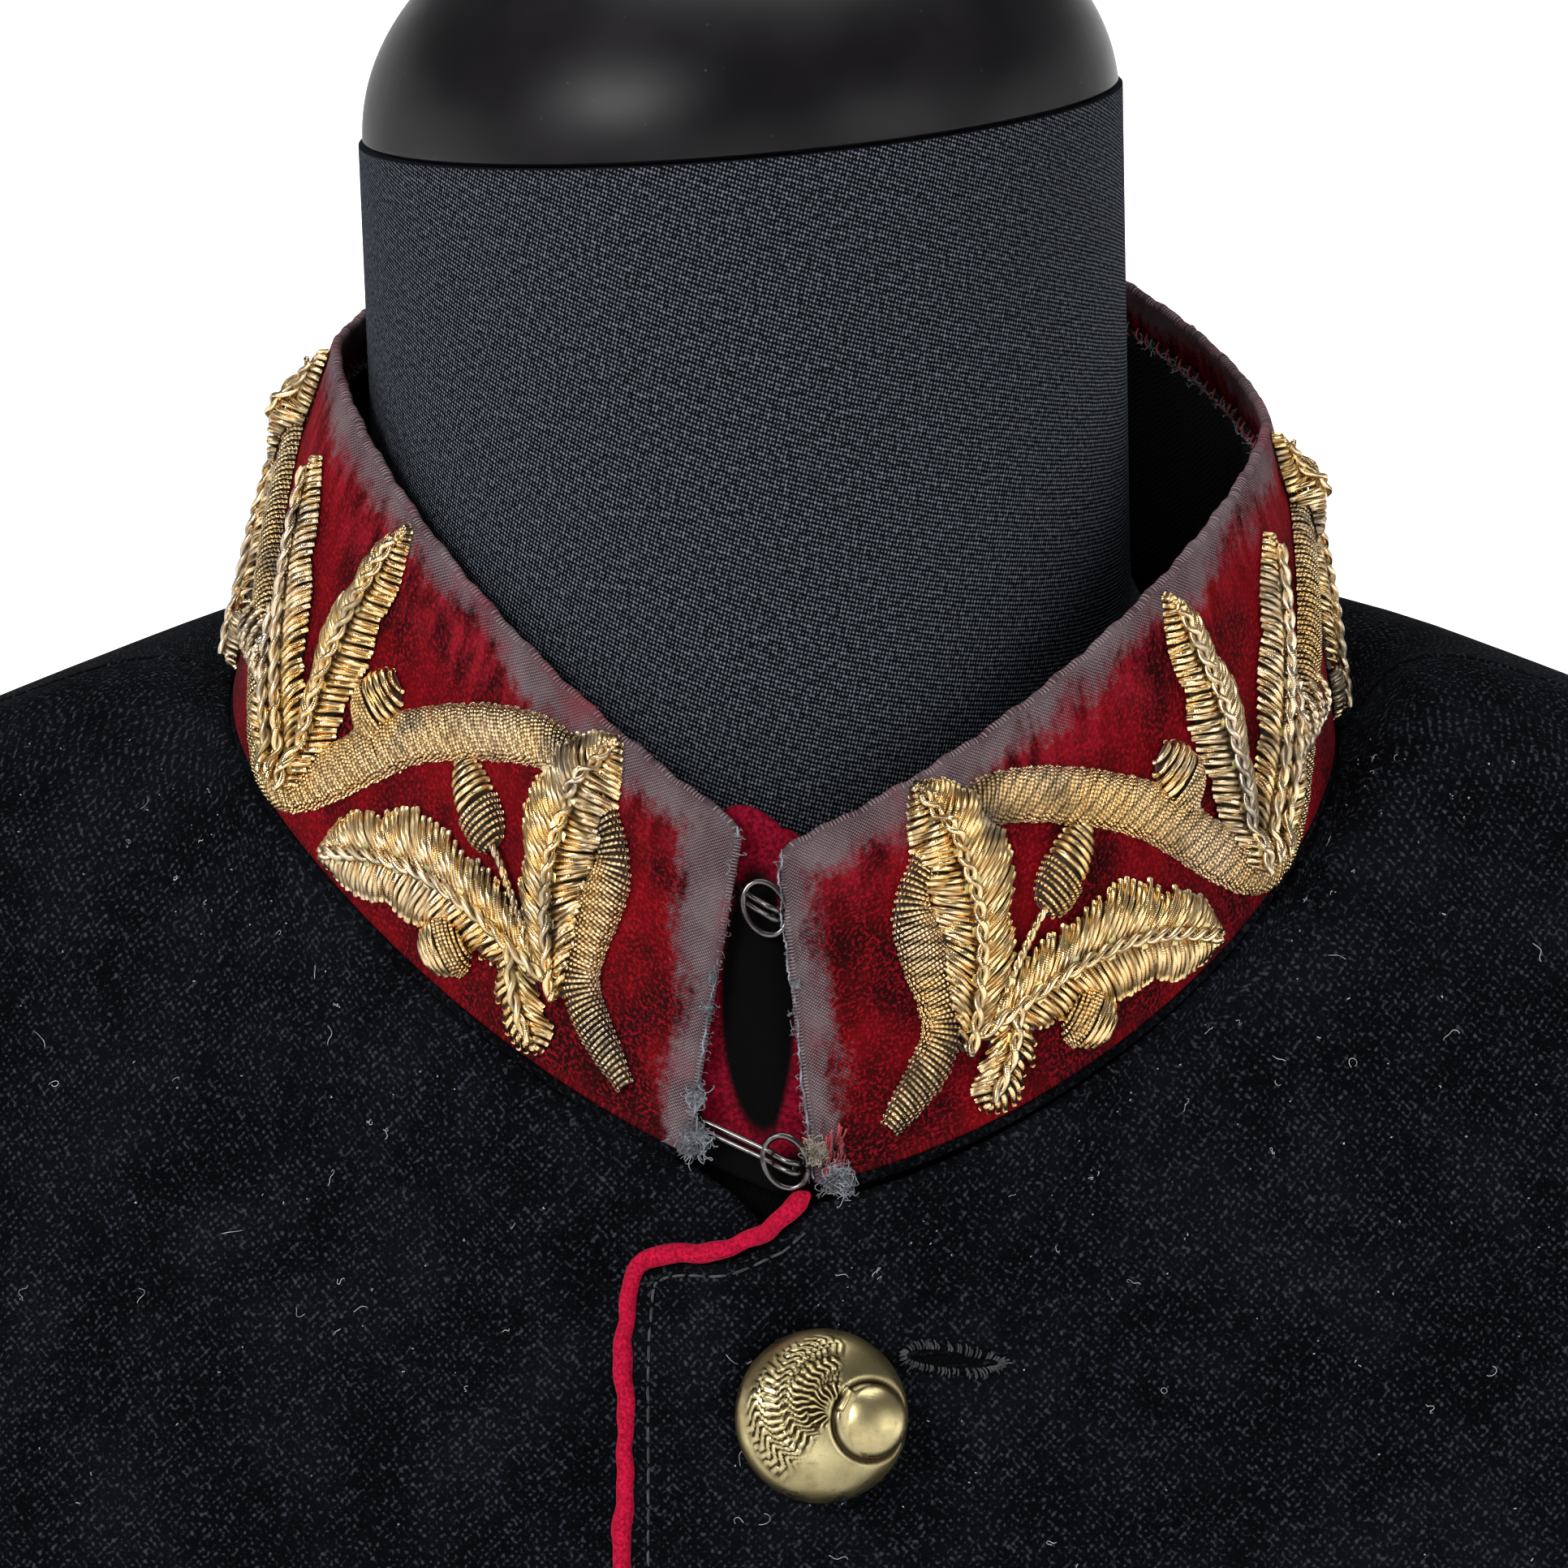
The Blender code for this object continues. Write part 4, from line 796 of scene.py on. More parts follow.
def velvet_finish():
    """Crimson velvet, worn to its mauve ground along the top and front edges."""
    f = Finish("worn crimson velvet", (0.10, 0.001, 0.004), 0.92, Sheen_Weight=0.05, Sheen_Roughness=0.30)
    f.shader.inputs["Sheen Tint"].default_value = (1.0, 0.10, 0.16, 1.0)
    f.shader.inputs["Specular IOR Level"].default_value = 0.05
    uv = f.uv()
    along, up, _ = f.parts(uv)
    right = f.math("GREATER_THAN", along, 0.5)
    along = f.math("SUBTRACT", along, right)
    streak = f.noise(f.scaled(uv, (1.0, 0.35, 1.0)), 330.0, 4.0, 0.65)
    patch = f.noise(uv, 62.0, 3.0, 0.55)
    fine = f.noise(uv, 1900.0, 2.0, 0.6)
    hair = f.math("MULTIPLY", f.math("SUBTRACT", f.noise(uv, 900.0, 4.0, 0.7), 0.5), 0.0080)
    # Wear is counted in metres of rubbed band: from the top edge, then from the front edges
    from_top = f.math("SUBTRACT", COLLAR_HEIGHT, up)
    ragged = f.math("ADD", hair, f.math("MULTIPLY", f.math("SUBTRACT", streak, 0.5), 0.0090))
    wide = f.math("MULTIPLY", f.math("SUBTRACT", patch, 0.45), 0.0140)
    front_more = f.span(along, 0.075, 0.0, 0.0, 0.0018)
    top_reach = f.math("ADD", f.math("ADD", ragged, wide), f.math("ADD", front_more, 0.0036))
    top = f.span(f.math("SUBTRACT", top_reach, from_top), -0.0022, 0.0026)
    right_more = f.math("MULTIPLY", right, f.span(up, 0.020, 0.044, 0.0, 0.0050))
    front_reach = f.math("ADD", f.math("ADD", ragged, wide), f.math("ADD", right_more, 0.0030))
    front = f.span(f.math("SUBTRACT", front_reach, along), -0.0020, 0.0024)
    worn = f.math("MAXIMUM", top, front)
    bald = f.math("MULTIPLY", f.span(patch, 0.60, 0.72), f.span(streak, 0.48, 0.62))
    worn = f.math("MAXIMUM", worn, f.math("MULTIPLY", bald, 0.28))
    # The ground is a close rib of mauve and grey yarns
    ground = woven(f, uv, 0.00054, 0.00048, 0.2)
    bare = f.mix(f.span(f.noise(uv, 130.0, 2.0), 0.35, 0.7), (0.050, 0.028, 0.034), (0.105, 0.078, 0.084))
    bare = f.mix(f.span(ground, -0.1, 0.9, 0.0, 0.75), bare, (0.36, 0.275, 0.290))
    bare = f.mix(f.span(f.noise(uv, 75.0, 3.0), 0.52, 0.76, 0.0, 0.6), bare, (0.20, 0.020, 0.034))
    pile = f.mix(f.span(patch, 0.40, 0.64), (0.012, 0.0001, 0.0005), (0.105, 0.0004, 0.0024))
    bright = f.span(f.math("ADD", fine, f.math("MULTIPLY", streak, 0.35)), 0.62, 0.90)
    pile = f.mix(f.math("MULTIPLY", bright, 0.50), pile, (0.38, 0.006, 0.016))
    glow = f.span(from_top, 0.016, 0.004, 0.0, 0.55)
    glow = f.math("MULTIPLY", glow, f.span(streak, 0.35, 0.70))
    pile = f.mix(glow, pile, (0.32, 0.010, 0.024))
    colour = f.mix(worn, pile, bare)
    rough = f.mix(worn, (0.70, 0.70, 0.70), (0.85, 0.85, 0.85))
    nap = f.bump(f.noise(uv, 700.0, 3.0, 0.6), 0.00030, 0.35)
    rib = f.math("MULTIPLY", ground, f.math("MULTIPLY", worn, 0.8))
    height = f.math("ADD", rib, f.math("MULTIPLY", fine, 0.8))
    height = f.math("SUBTRACT", height, f.math("MULTIPLY", worn, 2.2))
    return f.finish(colour, rough, f.bump(height, 0.00016, 0.8, nap))


def felt_finish(name, light, dark):
    """Crimson felt with a fuzzy, rubbed surface."""
    f = Finish(name, light, 0.92, Sheen_Weight=0.08, Sheen_Roughness=0.4)
    f.shader.inputs["Sheen Tint"].default_value = (1.0, 0.35, 0.48, 1.0)
    f.shader.inputs["Specular IOR Level"].default_value = 0.08
    place = f.place()
    fibre = f.noise(place, 2200.0, 3.0, 0.65)
    blot = f.noise(place, 170.0, 3.0)
    colour = f.mix(f.span(fibre, 0.36, 0.66), dark, light)
    colour = f.mix(f.span(blot, 0.52, 0.72, 0.0, 0.6), colour, shaded(light, 0.55, 0.5, 0.5))
    return f.finish(colour, None, f.bump(fibre, 0.00022, 0.9))


def tab_finish():
    """Crimson tab cloth, with a painted shadow down its middle and black at its foot."""
    f = Finish("crimson tab cloth", (0.20, 0.003, 0.016), 0.92)
    f.shader.inputs["Specular IOR Level"].default_value = 0.08
    across, up, _ = f.parts(f.uv())
    fibre = f.noise(f.place(), 1700.0, 3.0, 0.6)
    colour = f.mix(f.span(fibre, 0.36, 0.66), (0.075, 0.0008, 0.005), (0.22, 0.003, 0.018))
    rise = f.math("DIVIDE", f.math("SUBTRACT", up, 0.53), 0.40)
    aside = f.math("DIVIDE", f.math("ADD", across, 0.02), 0.78)
    lens = f.math("ADD", f.math("MULTIPLY", rise, rise), f.math("MULTIPLY", aside, aside))
    # Painted shadow: the lens down the tab's middle is set near-black; the band at its foot is set near-black
    # too.
    black = f.math("MAXIMUM", f.span(lens, 1.1, 0.75), f.span(up, 0.13, 0.09))
    colour = f.mix(black, colour, (0.0008, 0.0006, 0.0008))
    return f.finish(colour, None, f.bump(fibre, 0.0002, 0.8))


def plain_weave_finish(name, dark, light, pitch, sheen=0.02):
    """A plain woven cloth."""
    f = Finish(name, dark, 0.95, Sheen_Weight=sheen)
    f.shader.inputs["Specular IOR Level"].default_value = 0.08
    uv = f.uv()
    weave = woven(f, uv, pitch, pitch)
    fleck = f.noise(uv, 1700.0, 2.0)
    colour = f.mix(f.span(f.math("ADD", weave, f.math("MULTIPLY", fleck, 1.4)), 0.6, 1.7), dark, light)
    return f.finish(colour, None, f.bump(weave, 0.00010, 0.8))


def jersey_finish():
    """A fine slate-black knit whose stitches catch the light in slanting lines, with painted shade away from the
    neck.
    """
    f = Finish("fine black jersey", (0.004, 0.0046, 0.0065), 0.90)
    f.shader.inputs["Specular IOR Level"].default_value = 0.03
    uv = f.uv()
    x, y, _ = f.parts(uv)
    drift = f.math("MULTIPLY", f.math("SUBTRACT", f.noise(uv, 260.0, 2.0), 0.5), 1.6)
    wale = f.math("ADD", f.math("MULTIPLY", x, 2 * math.pi / 0.00078), drift)
    course = f.math("ADD", f.math("MULTIPLY", y, 2 * math.pi / 0.00074), drift)
    slant = f.math("SINE", f.math("ADD", wale, f.math("MULTIPLY", course, 0.5)))
    cross = f.math("SINE", f.math("SUBTRACT", course, f.math("MULTIPLY", wale, 0.5)))
    stitch = f.math("MULTIPLY", slant, cross)
    spark = f.noise(uv, 1500.0, 2.0, 0.6)
    shown = f.math("ADD", f.math("MULTIPLY", stitch, 0.42), f.math("MULTIPLY", spark, 0.9))
    colour = f.mix(f.span(shown, 0.40, 0.92), (0.0026, 0.0030, 0.0042), (0.160, 0.176, 0.218))
    # Painted shade: the knit is darkened away from the neck's axis, where the form lies in shade under the
    # collar and the cloth.
    px, py, _ = f.parts(f.place())
    py = f.math("SUBTRACT", py, NECK_Y)
    reach = f.math("SQRT", f.math("ADD", f.math("MULTIPLY", px, px), f.math("MULTIPLY", py, py)))
    colour = f.mix(f.span(reach, 0.063, 0.069), colour, (0.0020, 0.0021, 0.0026))
    height = f.math("ADD", f.math("MULTIPLY", stitch, 0.8), f.math("MULTIPLY", spark, 0.6))
    return f.finish(colour, None, f.bump(height, 0.00016, 0.9))


def gold_finish(name, beads, lines, light, dark, roughness=0.30):
    """Gilt wire thread: beads is its bead length along it, lines its wires round it."""
    f = Finish(name, light, roughness, 1.0)
    uv = f.uv()
    run, round_it, _ = f.parts(uv)
    place = f.place()
    if beads:
        coil = f.math("SINE", f.math("MULTIPLY", run, 2 * math.pi / beads))
    else:
        coil = f.math("SINE", f.math("MULTIPLY", run, 2 * math.pi / 0.00030))
        coil = f.math("MULTIPLY", coil, 0.25)
    twist = f.math("ADD", f.math("MULTIPLY", round_it, lines * 2 * math.pi), f.math("MULTIPLY", run, 1500.0))
    wires = f.math("SINE", twist)
    age = f.noise(place, 120.0, 4.0, 0.6)
    warm = f.noise(place, 46.0, 2.0)
    colour = f.mix(f.span(warm, 0.36, 0.64), light, shaded(light, 0.94, 1.04, 1.45))
    colour = f.mix(f.span(age, 0.50, 0.72, 0.0, 0.75), colour, dark)
    tarnish = f.span(f.noise(place, 74.0, 3.0, 0.6), 0.57, 0.68, 0.0, 0.55)
    colour = f.mix(tarnish, colour, (0.115, 0.125, 0.145))
    # Painted shade: darker in the grooves between the beads and between the wires.
    painted_groove_shade = f.math("MULTIPLY", f.span(coil, 0.1, -0.9), 0.55 if beads else 0.15)
    colour = f.mix(painted_groove_shade, colour, shaded(dark, 0.6))
    colour = f.mix(f.span(wires, -0.35, -0.95, 0.0, 0.6), colour, shaded(dark, 0.5))
    height = f.math("ADD", f.math("MULTIPLY", coil, 0.8 if beads else 0.3), f.math("MULTIPLY", wires, 0.45))
    rough = f.span(age, 0.35, 0.75, roughness - 0.06, roughness + 0.22)
    return f.finish(colour, rough, f.bump(height, 0.00010, 0.8))


def brass_finish():
    """Aged olive brass: rubbed on its heights, with painted shade, dark brown, in its hollows."""
    f = Finish("aged button brass", (0.36, 0.29, 0.13), 0.30, 1.0)
    place = f.place()
    depth = f.tree.nodes.new("ShaderNodeAttribute")
    depth.attribute_name = "depth"
    rise = depth.outputs["Fac"]
    cloud = f.noise(place, 190.0, 4.0, 0.6)
    fine = f.noise(place, 1300.0, 3.0, 0.6)
    colour = f.mix(f.span(cloud, 0.35, 0.70), (0.50, 0.43, 0.225), (0.32, 0.26, 0.125))
    colour = f.mix(f.span(fine, 0.56, 0.80, 0.0, 0.5), colour, (0.12, 0.085, 0.040))
    colour = f.mix(f.span(rise, 0.52, 1.0), colour, (0.92, 0.74, 0.40))
    # Painted shade: low depth values, in the hollows and round the ball, are darkened; the sides below the dome
    # are set dark the same way.
    colour = f.mix(f.span(rise, 0.44, 0.08), colour, (0.035, 0.022, 0.010))
    scratch = f.noise(f.scaled(place, (1.0, 9.0, 1.0), 24.0), 700.0, 2.0)
    rough = f.math("ADD", f.span(cloud, 0.3, 0.7, 0.20, 0.36), f.math("MULTIPLY", fine, 0.10))
    return f.finish(colour, rough, f.bump(f.math("ADD", fine, scratch), 0.00003, 0.5))


def wire_finish():
    """Dark steel wire, rubbed bright along its length."""
    f = Finish("rubbed steel wire", (0.20, 0.185, 0.175), 0.24, 1.0)
    place = f.place()
    rust = f.noise(place, 420.0, 3.0)
    colour = f.mix(f.span(rust, 0.50, 0.72), (0.125, 0.115, 0.110), (0.030, 0.024, 0.022))
    return f.finish(colour, f.span(rust, 0.4, 0.7, 0.16, 0.34), f.bump(rust, 0.00004, 0.6))


def lacquer_finish():
    """Black satin lacquer with a faint orange peel, dust and rubbed spots."""
    f = Finish("black satin lacquer", (0.004, 0.0036, 0.0042), 0.42)
    f.shader.inputs["Specular IOR Level"].default_value = 0.15
    place = f.place()
    cloud = f.noise(place, 24.0, 4.0, 0.6)
    speck = f.cells(place, 240.0)
    colour = f.mix(f.span(cloud, 0.4, 0.7), (0.0035, 0.0030, 0.0037), (0.0090, 0.0078, 0.0092))
    colour = f.mix(f.span(speck, 0.06, 0.02, 0.0, 0.4), colour, (0.10, 0.10, 0.10))
    peel = f.noise(place, 520.0, 2.0)
    return f.finish(colour, f.span(cloud, 0.35, 0.7, 0.30, 0.40), f.bump(peel, 0.00005, 0.35))


def paint_finish():
    """Black satin paint on steel, with a fine spray texture."""
    f = Finish("black satin paint", (0.014, 0.014, 0.015), 0.42)
    place = f.place()
    wear = f.noise(place, 18.0, 4.0, 0.6)
    colour = f.mix(f.span(wear, 0.55, 0.75), (0.012, 0.012, 0.013), (0.030, 0.030, 0.031))
    spray = f.bump(f.noise(place, 900.0, 2.0), 0.00004, 0.4)
    return f.finish(colour, f.span(wear, 0.3, 0.7, 0.36, 0.52), spray)


def fibre_finish(name, light, dark):
    """Loose fibres and sewing thread."""
    f = Finish(name, light, 0.85, Sheen_Weight=0.2)
    shade = f.noise(f.place(), 500.0, 2.0)
    return f.finish(f.mix(f.span(shade, 0.4, 0.6), dark, light))


WOOL = wool_finish()
VELVET = velvet_finish()
PIPING_FELT = felt_finish("crimson felt cord", (0.50, 0.006, 0.042), (0.22, 0.002, 0.015))
TAB_FELT = tab_finish()
LINING = plain_weave_finish("black cotton lining", (0.010, 0.011, 0.011), (0.042, 0.045, 0.044), 0.0009)
JERSEY = jersey_finish()
# A near-black sheet that paints the shadow inside the buttonhole slits.
SLIT_SHADOW = plain_weave_finish(
    "painted shadow of the buttonhole slit", (0.0006, 0.0006, 0.0008), (0.003, 0.003, 0.004), 0.0009, 0.0
)
GOLD_WRAP = gold_finish("gilt beaded thread", 0.00058, 1, (0.90, 0.62, 0.28), (0.16, 0.105, 0.05), 0.22)
GOLD_PURL = gold_finish("gilt purl thread", 0.0, 3, (0.86, 0.60, 0.27), (0.20, 0.155, 0.10), 0.23)
GOLD_CORD = gold_finish("gilt twisted cord", 0.0, 2, (0.86, 0.64, 0.34), (0.28, 0.23, 0.16), 0.24)
GOLD_PLATE = gold_finish("flat gilt plate", 0.0, 1, (0.62, 0.54, 0.22), (0.36, 0.38, 0.20), 0.34)
# The padding cord's dark brown is partly its own colour and partly painted shade for the gaps between the gold
# threads.
GOLD_PAD = fibre_finish("brown padding cord", (0.050, 0.028, 0.010), (0.020, 0.011, 0.005))
BRASS = brass_finish()
WIRE = wire_finish()
LACQUER = lacquer_finish()
PAINT = paint_finish()
SEWING = fibre_finish("black sewing thread", (0.040, 0.043, 0.050), (0.010, 0.011, 0.013))
LINT = fibre_finish("pale lint", (0.42, 0.42, 0.41), (0.20, 0.21, 0.23))
FRAY = fibre_finish("grey frayed threads", (0.25, 0.27, 0.30), (0.085, 0.085, 0.10))
RED_THREAD = fibre_finish("red sewing thread", (0.46, 0.03, 0.04), (0.20, 0.01, 0.02))
BEIGE_THREAD = fibre_finish("beige fluff", (0.42, 0.36, 0.28), (0.16, 0.13, 0.10))


# The tunic's panels
def armhole_share(row):
    """How open the armhole is at each row: 1 at its middle, 0 at its ends."""
    return np.sqrt(np.clip(1 - ((row - ARMHOLE_MIDDLE) / ARMHOLE_HALF) ** 2, 0.0, 1.0))


def below_armhole(turn):
    """The row of the armhole's lower edge at each turn."""
    share = (turn - 90.0) / ARMHOLE_HALF_TURN
    return ARMHOLE_MIDDLE + ARMHOLE_HALF * np.sqrt(np.clip(1 - share**2, 0.0, 1.0))


def side_back_turn(row):
    """The side-back seam, which runs back towards the waist."""
    return SIDE_BACK_TURN + SIDE_BACK_RUN * ease(row, UNDERARM_ROW, 9.4)


def panel_rows():
    """Rows of the large panels, closer together round the ends of the armhole."""
    yoke = np.linspace(0.0, SHOULDER_END_ROW, 46)
    armhole = ARMHOLE_MIDDLE - ARMHOLE_HALF * np.cos(np.linspace(0.0, math.pi, 34))
    skirt = np.linspace(UNDERARM_ROW, HEM_ROW, 50)
    return np.concatenate((yoke, armhole[1:], skirt[1:]))


def front_grid(side):
    """Turns and rows of a front's points: side 1 is the wearer's left, which laps over side -1."""
    notch = LEFT_NOTCH if side > 0 else RIGHT_NOTCH
    seam_x = LEFT_END_X[0] if side > 0 else RIGHT_END_X[0]
    rows = panel_rows()[:, None]
    outs, drops = spline(notch, np.linspace(len(notch) - 1.0, 0.0, 40)).T
    fall = np.maximum(0.0, 1 - rows / NOTCH_ROWS)
    lowered = rows + drops * fall
    turns = turn_at_x(seam_x - side * outs + 0 * rows, lowered)
    first = drops[-1] * fall
    if side < 0:
        lap_x = np.linspace(seam_x, LAP_START_X, 15)[1:]
        under = rows + first + 0 * lap_x
        turns = np.concatenate((turns, turn_at_x(lap_x + 0 * rows, under)), axis=1)
        lowered = np.concatenate((lowered, under), axis=1)
    start = turns[:, -1:]
    open_turn = ARMHOLE_HALF_TURN * armhole_share(rows)
    open_turn = np.where(rows > ARMHOLE_MIDDLE, np.maximum(open_turn, 90.0 - SIDE_SEAM_TURN), open_turn)
    share = np.linspace(0.0, 1.0, 61)[1:]
    turns = np.concatenate((turns, start + (side * (90.0 - open_turn) - start) * share), axis=1)
    lowered = np.concatenate((lowered, rows + first * (1 - share**8)), axis=1)
    return turns, lowered


def lapped_point(turn, row, depth=0.0):
    """Points of the under front, pressed in below the upper one."""
    across = ease(body_base(turn, row)[..., 0], LAP_START_X, LAP_FULL_X)
    near = 1.0 - ease(np.abs(turn), 30.0, 40.0)
    return body_point(turn, row, LAP * across * near * ease(row, 0.0, 0.12) + depth)


def grain_uv(grid, turns, rows):
    """Metres across and down a panel, its grain straight down the chest and round the sides."""
    normal = unit(np.cross(np.gradient(grid, axis=0), np.gradient(grid, axis=1)))
    ahead = np.radians(turns)
    flat = np.stack((np.sign(np.cos(ahead) + 1e-9), 0 * ahead, 0 * ahead), axis=-1)
    round_body = np.stack((np.cos(ahead), np.sin(ahead), 0 * ahead), axis=-1)
    share = ease(rows, 3.0, 5.5)[..., None]
    weft = flat * (1 - share) + round_body * share
    weft = unit(weft - normal * np.sum(weft * normal, axis=-1, keepdims=True))
    warp = np.cross(normal, weft)
    out = []
    for way in (weft, warp):
        along = np.sum(np.diff(grid, axis=1) * (way[:, 1:] + way[:, :-1]) / 2, axis=-1)
        down = np.sum(np.diff(grid, axis=0) * (way[1:] + way[:-1]) / 2, axis=-1)
        if way is weft:
            edge = np.concatenate(([0.0], np.cumsum(down[:, 0])))[:, None]
            value = edge + np.concatenate((0 * edge, np.cumsum(along, axis=1)), axis=1)
        else:
            edge = np.concatenate(([0.0], np.cumsum(along[-1])))[None]
            value = edge - np.concatenate((np.cumsum(down[::-1], axis=0)[::-1], 0 * edge), axis=0)
        out.append(value)
    return np.stack(out, axis=-1)


def wool_panel(name, turns, rows, surface, gaps, mirrored=False):
    """A wool panel as a wall CLOTH thick, its seams pressed in."""
    outer, inner = surface(turns, rows), surface(turns, rows, CLOTH)
    uv = grain_uv(outer, turns, rows)
    outer, inner = pulled_in(outer, gaps), pulled_in(inner, gaps)
    piece = shell(name, outer, inner, uv, WOOL, mirrored=mirrored)
    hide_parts(name)
    return piece


FRONT_GAPS = {"t": EDGE + NECK_SEAM, "b": EDGE, "l": EDGE, "r": SEAMED}
BODY_GAPS = {"t": EDGE + NECK_SEAM, "b": EDGE, "l": SEAMED, "r": SEAMED}
SIDE_GAPS = {"t": EDGE, "b": EDGE, "l": SEAMED, "r": SEAMED}
SLEEVE_GAPS = {"b": EDGE, "l": EDGE + CLOSED_SEAM, "r": EDGE + CLOSED_SEAM}
for side, name, surface in ((1, "front_left", body_point), (-1, "front_right", lapped_point)):
    turns, rows = front_grid(side)
    wool_panel(name, turns, rows, surface, FRONT_GAPS, side < 0)

for side, hand in ((1, "left"), (-1, "right")):
    rows = panel_rows()[:, None]
    edge_turn = 90.0 + ARMHOLE_HALF_TURN * armhole_share(rows)
    edge_turn = np.where(rows > ARMHOLE_MIDDLE, np.maximum(edge_turn, side_back_turn(rows)), edge_turn)
    turns = edge_turn + (180.0 - edge_turn) * np.linspace(0.0, 1.0, 64)
    rows = rows + 0 * turns
    wool_panel(f"back_{hand}", side * turns, rows, body_point, BODY_GAPS, side < 0)

    rows = np.concatenate(([UNDERARM_ROW], np.linspace(UNDERARM_ROW, HEM_ROW, 61)[1:]))[:, None]
    turns = SIDE_SEAM_TURN + (side_back_turn(rows) - SIDE_SEAM_TURN) * np.linspace(0.0, 1.0, 17)
    armhole_drop = below_armhole(turns[0]) - UNDERARM_ROW
    lowered = rows + armhole_drop * (1 - ease(rows, UNDERARM_ROW, UNDERARM_ROW + 0.7))
    wool_panel(f"side_{hand}", side * turns, lowered, body_point, SIDE_GAPS, side < 0)


# The sleeves
def sleeve_fold(angle, z):
    """Depth of a sleeve's creases under the smooth tube."""
    depth = 0.0
    for fold_z, fold_angle, slope, reach, half_height, spread in SLEEVE_FOLDS:
        away = turn_between(angle, fold_angle)
        across = (z - fold_z - slope * away) / half_height
        depth = depth + reach * np.exp(-across * across - (away / spread) ** 2)
    return depth


def sleeve_point(angle, step):
    """Points of the left sleeve: step 0 at the armhole, 1 at the first hanging ring."""
    a = np.radians(angle)
    ring = spline(SLEEVE_RINGS, np.maximum(step - 1.0, 0.0))
    x, y, z, across, deep = np.moveaxis(ring, -1, 0)
    hanging = np.stack((x + across * np.cos(a), y + deep * np.sin(a), z), axis=-1)
    inward = -np.stack((np.cos(a), np.sin(a), 0 * a), axis=-1)
    hanging = hanging + inward * (sleeve_fold(angle, z) * ease(step, 0.8, 1.4))[..., None]
    top = (1 + np.cos(a)) / 2
    out = unit(np.stack((0.85 - 0.21 * top, 0 * top, -0.53 - 0.25 * top), axis=-1))
    hole_row = ARMHOLE_MIDDLE - ARMHOLE_HALF * np.cos(a)
    start = body_base(90.0 + ARMHOLE_HALF_TURN * np.sin(a), hole_row) + out * (ARMHOLE_SEAM + EDGE)
    x, y, z, across, deep = SLEEVE_RINGS[0]
    end = np.stack((x + across * np.cos(a), y + deep * np.sin(a), z + 0 * a), axis=-1)
    reach = np.linalg.norm(end - start, axis=-1, keepdims=True)
    t = np.minimum(step, 1.0)[..., None]
    crown = hermite(start, out * reach, end, np.array((0.0, 0.0, -0.9)) * reach, t)
    return np.where((step > 1.0)[..., None], hanging, crown)


def sleeve_inset(angle, step, depth):
    """Points under the left sleeve's outer surface."""
    last = float(len(SLEEVE_RINGS))
    along = sleeve_point(angle + 2.0, step) - sleeve_point(angle - 2.0, step)
    below = sleeve_point(angle, np.minimum(step + 0.02, last))
    down = below - sleeve_point(angle, np.maximum(step - 0.02, 0.0))
    return sleeve_point(angle, step) - unit(np.cross(down, along)) * depth


for side, hand in ((1, "left"), (-1, "right")):
    for half, low, high, columns in (("top", -112.0, 112.0, 72), ("under", 112.0, 248.0, 44)):
        hanging = np.linspace(1.0, len(SLEEVE_RINGS), 84)[1:]
        steps = np.concatenate((np.linspace(0.0, 1.0, 34), hanging))
        steps, angles = np.meshgrid(steps, np.linspace(low, high, columns), indexing="ij")
        flip = np.array((side, 1.0, 1.0))
        outer, inner = (
            pulled_in(sleeve_inset(angles, steps, depth) * flip, SLEEVE_GAPS) for depth in (0.0, CLOTH)
        )
        name = f"sleeve_{half}_{hand}"
        piece = shell(name, outer, inner, measured_uv(outer), WOOL, mirrored=side < 0)
        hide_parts(name)


# The collar
def collar_band(columns, tops, rows, depth):
    """Points of the collar's band, down from tops (drops in metres), with rounded front corners."""
    shares = np.linspace(1.0, 0.0, rows)[:, None]
    low = collar_end_turn(1, shares)
    high = 360.0 + collar_end_turn(-1, shares)
    turns = low + (high - low) * columns
    away = np.minimum(turns - low, high - turns) * math.radians(1.0) * BODY_RINGS[0][0]
    near = np.maximum(COLLAR_CORNER - away, 0.0)
    short = COLLAR_CORNER - np.sqrt(COLLAR_CORNER**2 - near**2)
    lowered = shares * (1.0 - (short + tops) / COLLAR_HEIGHT)
    return turns, lowered, collar_point(turns, lowered, depth)


def end_spacing(count, first):
    """Shares from 0 to 1, closer together at both ends."""
    t = np.linspace(-1.0, 1.0, count)
    wide = np.sign(t) * (1 - (1 - np.abs(t)) ** 2.2)
    return ((wide * first + t * (1 - first)) + 1) / 2


def half_uv(turns, lowered):
    """Metres along each half of the collar from its front edge, and metres up; 1 is added on the right."""
    up = lowered * COLLAR_HEIGHT
    along = np.empty(turns.shape)
    left = turns <= 180.0
    for side, where in ((1, left), (-1, ~left)):
        distances, ruler_turns = RULERS[side]
        own = turns if side > 0 else turns - 360.0
        edge = collar_end_turn(side, lowered)
        reach = np.interp(own * side, ruler_turns * side, distances, left=0.0)
        slope = float(distances[4] / (ruler_turns[4] - ruler_turns[0])) * side
        offset = (edge - ruler_turns[0]) * side * slope
        value = np.where(own * side < ruler_turns[0] * side, (own - ruler_turns[0]) * side * slope, reach)
        value = value - offset * (1 - ease(value, 0.02, 0.08))
        along = np.where(where, value + (0.0 if side > 0 else 1.0), along)
    return np.stack((along, up), axis=-1)


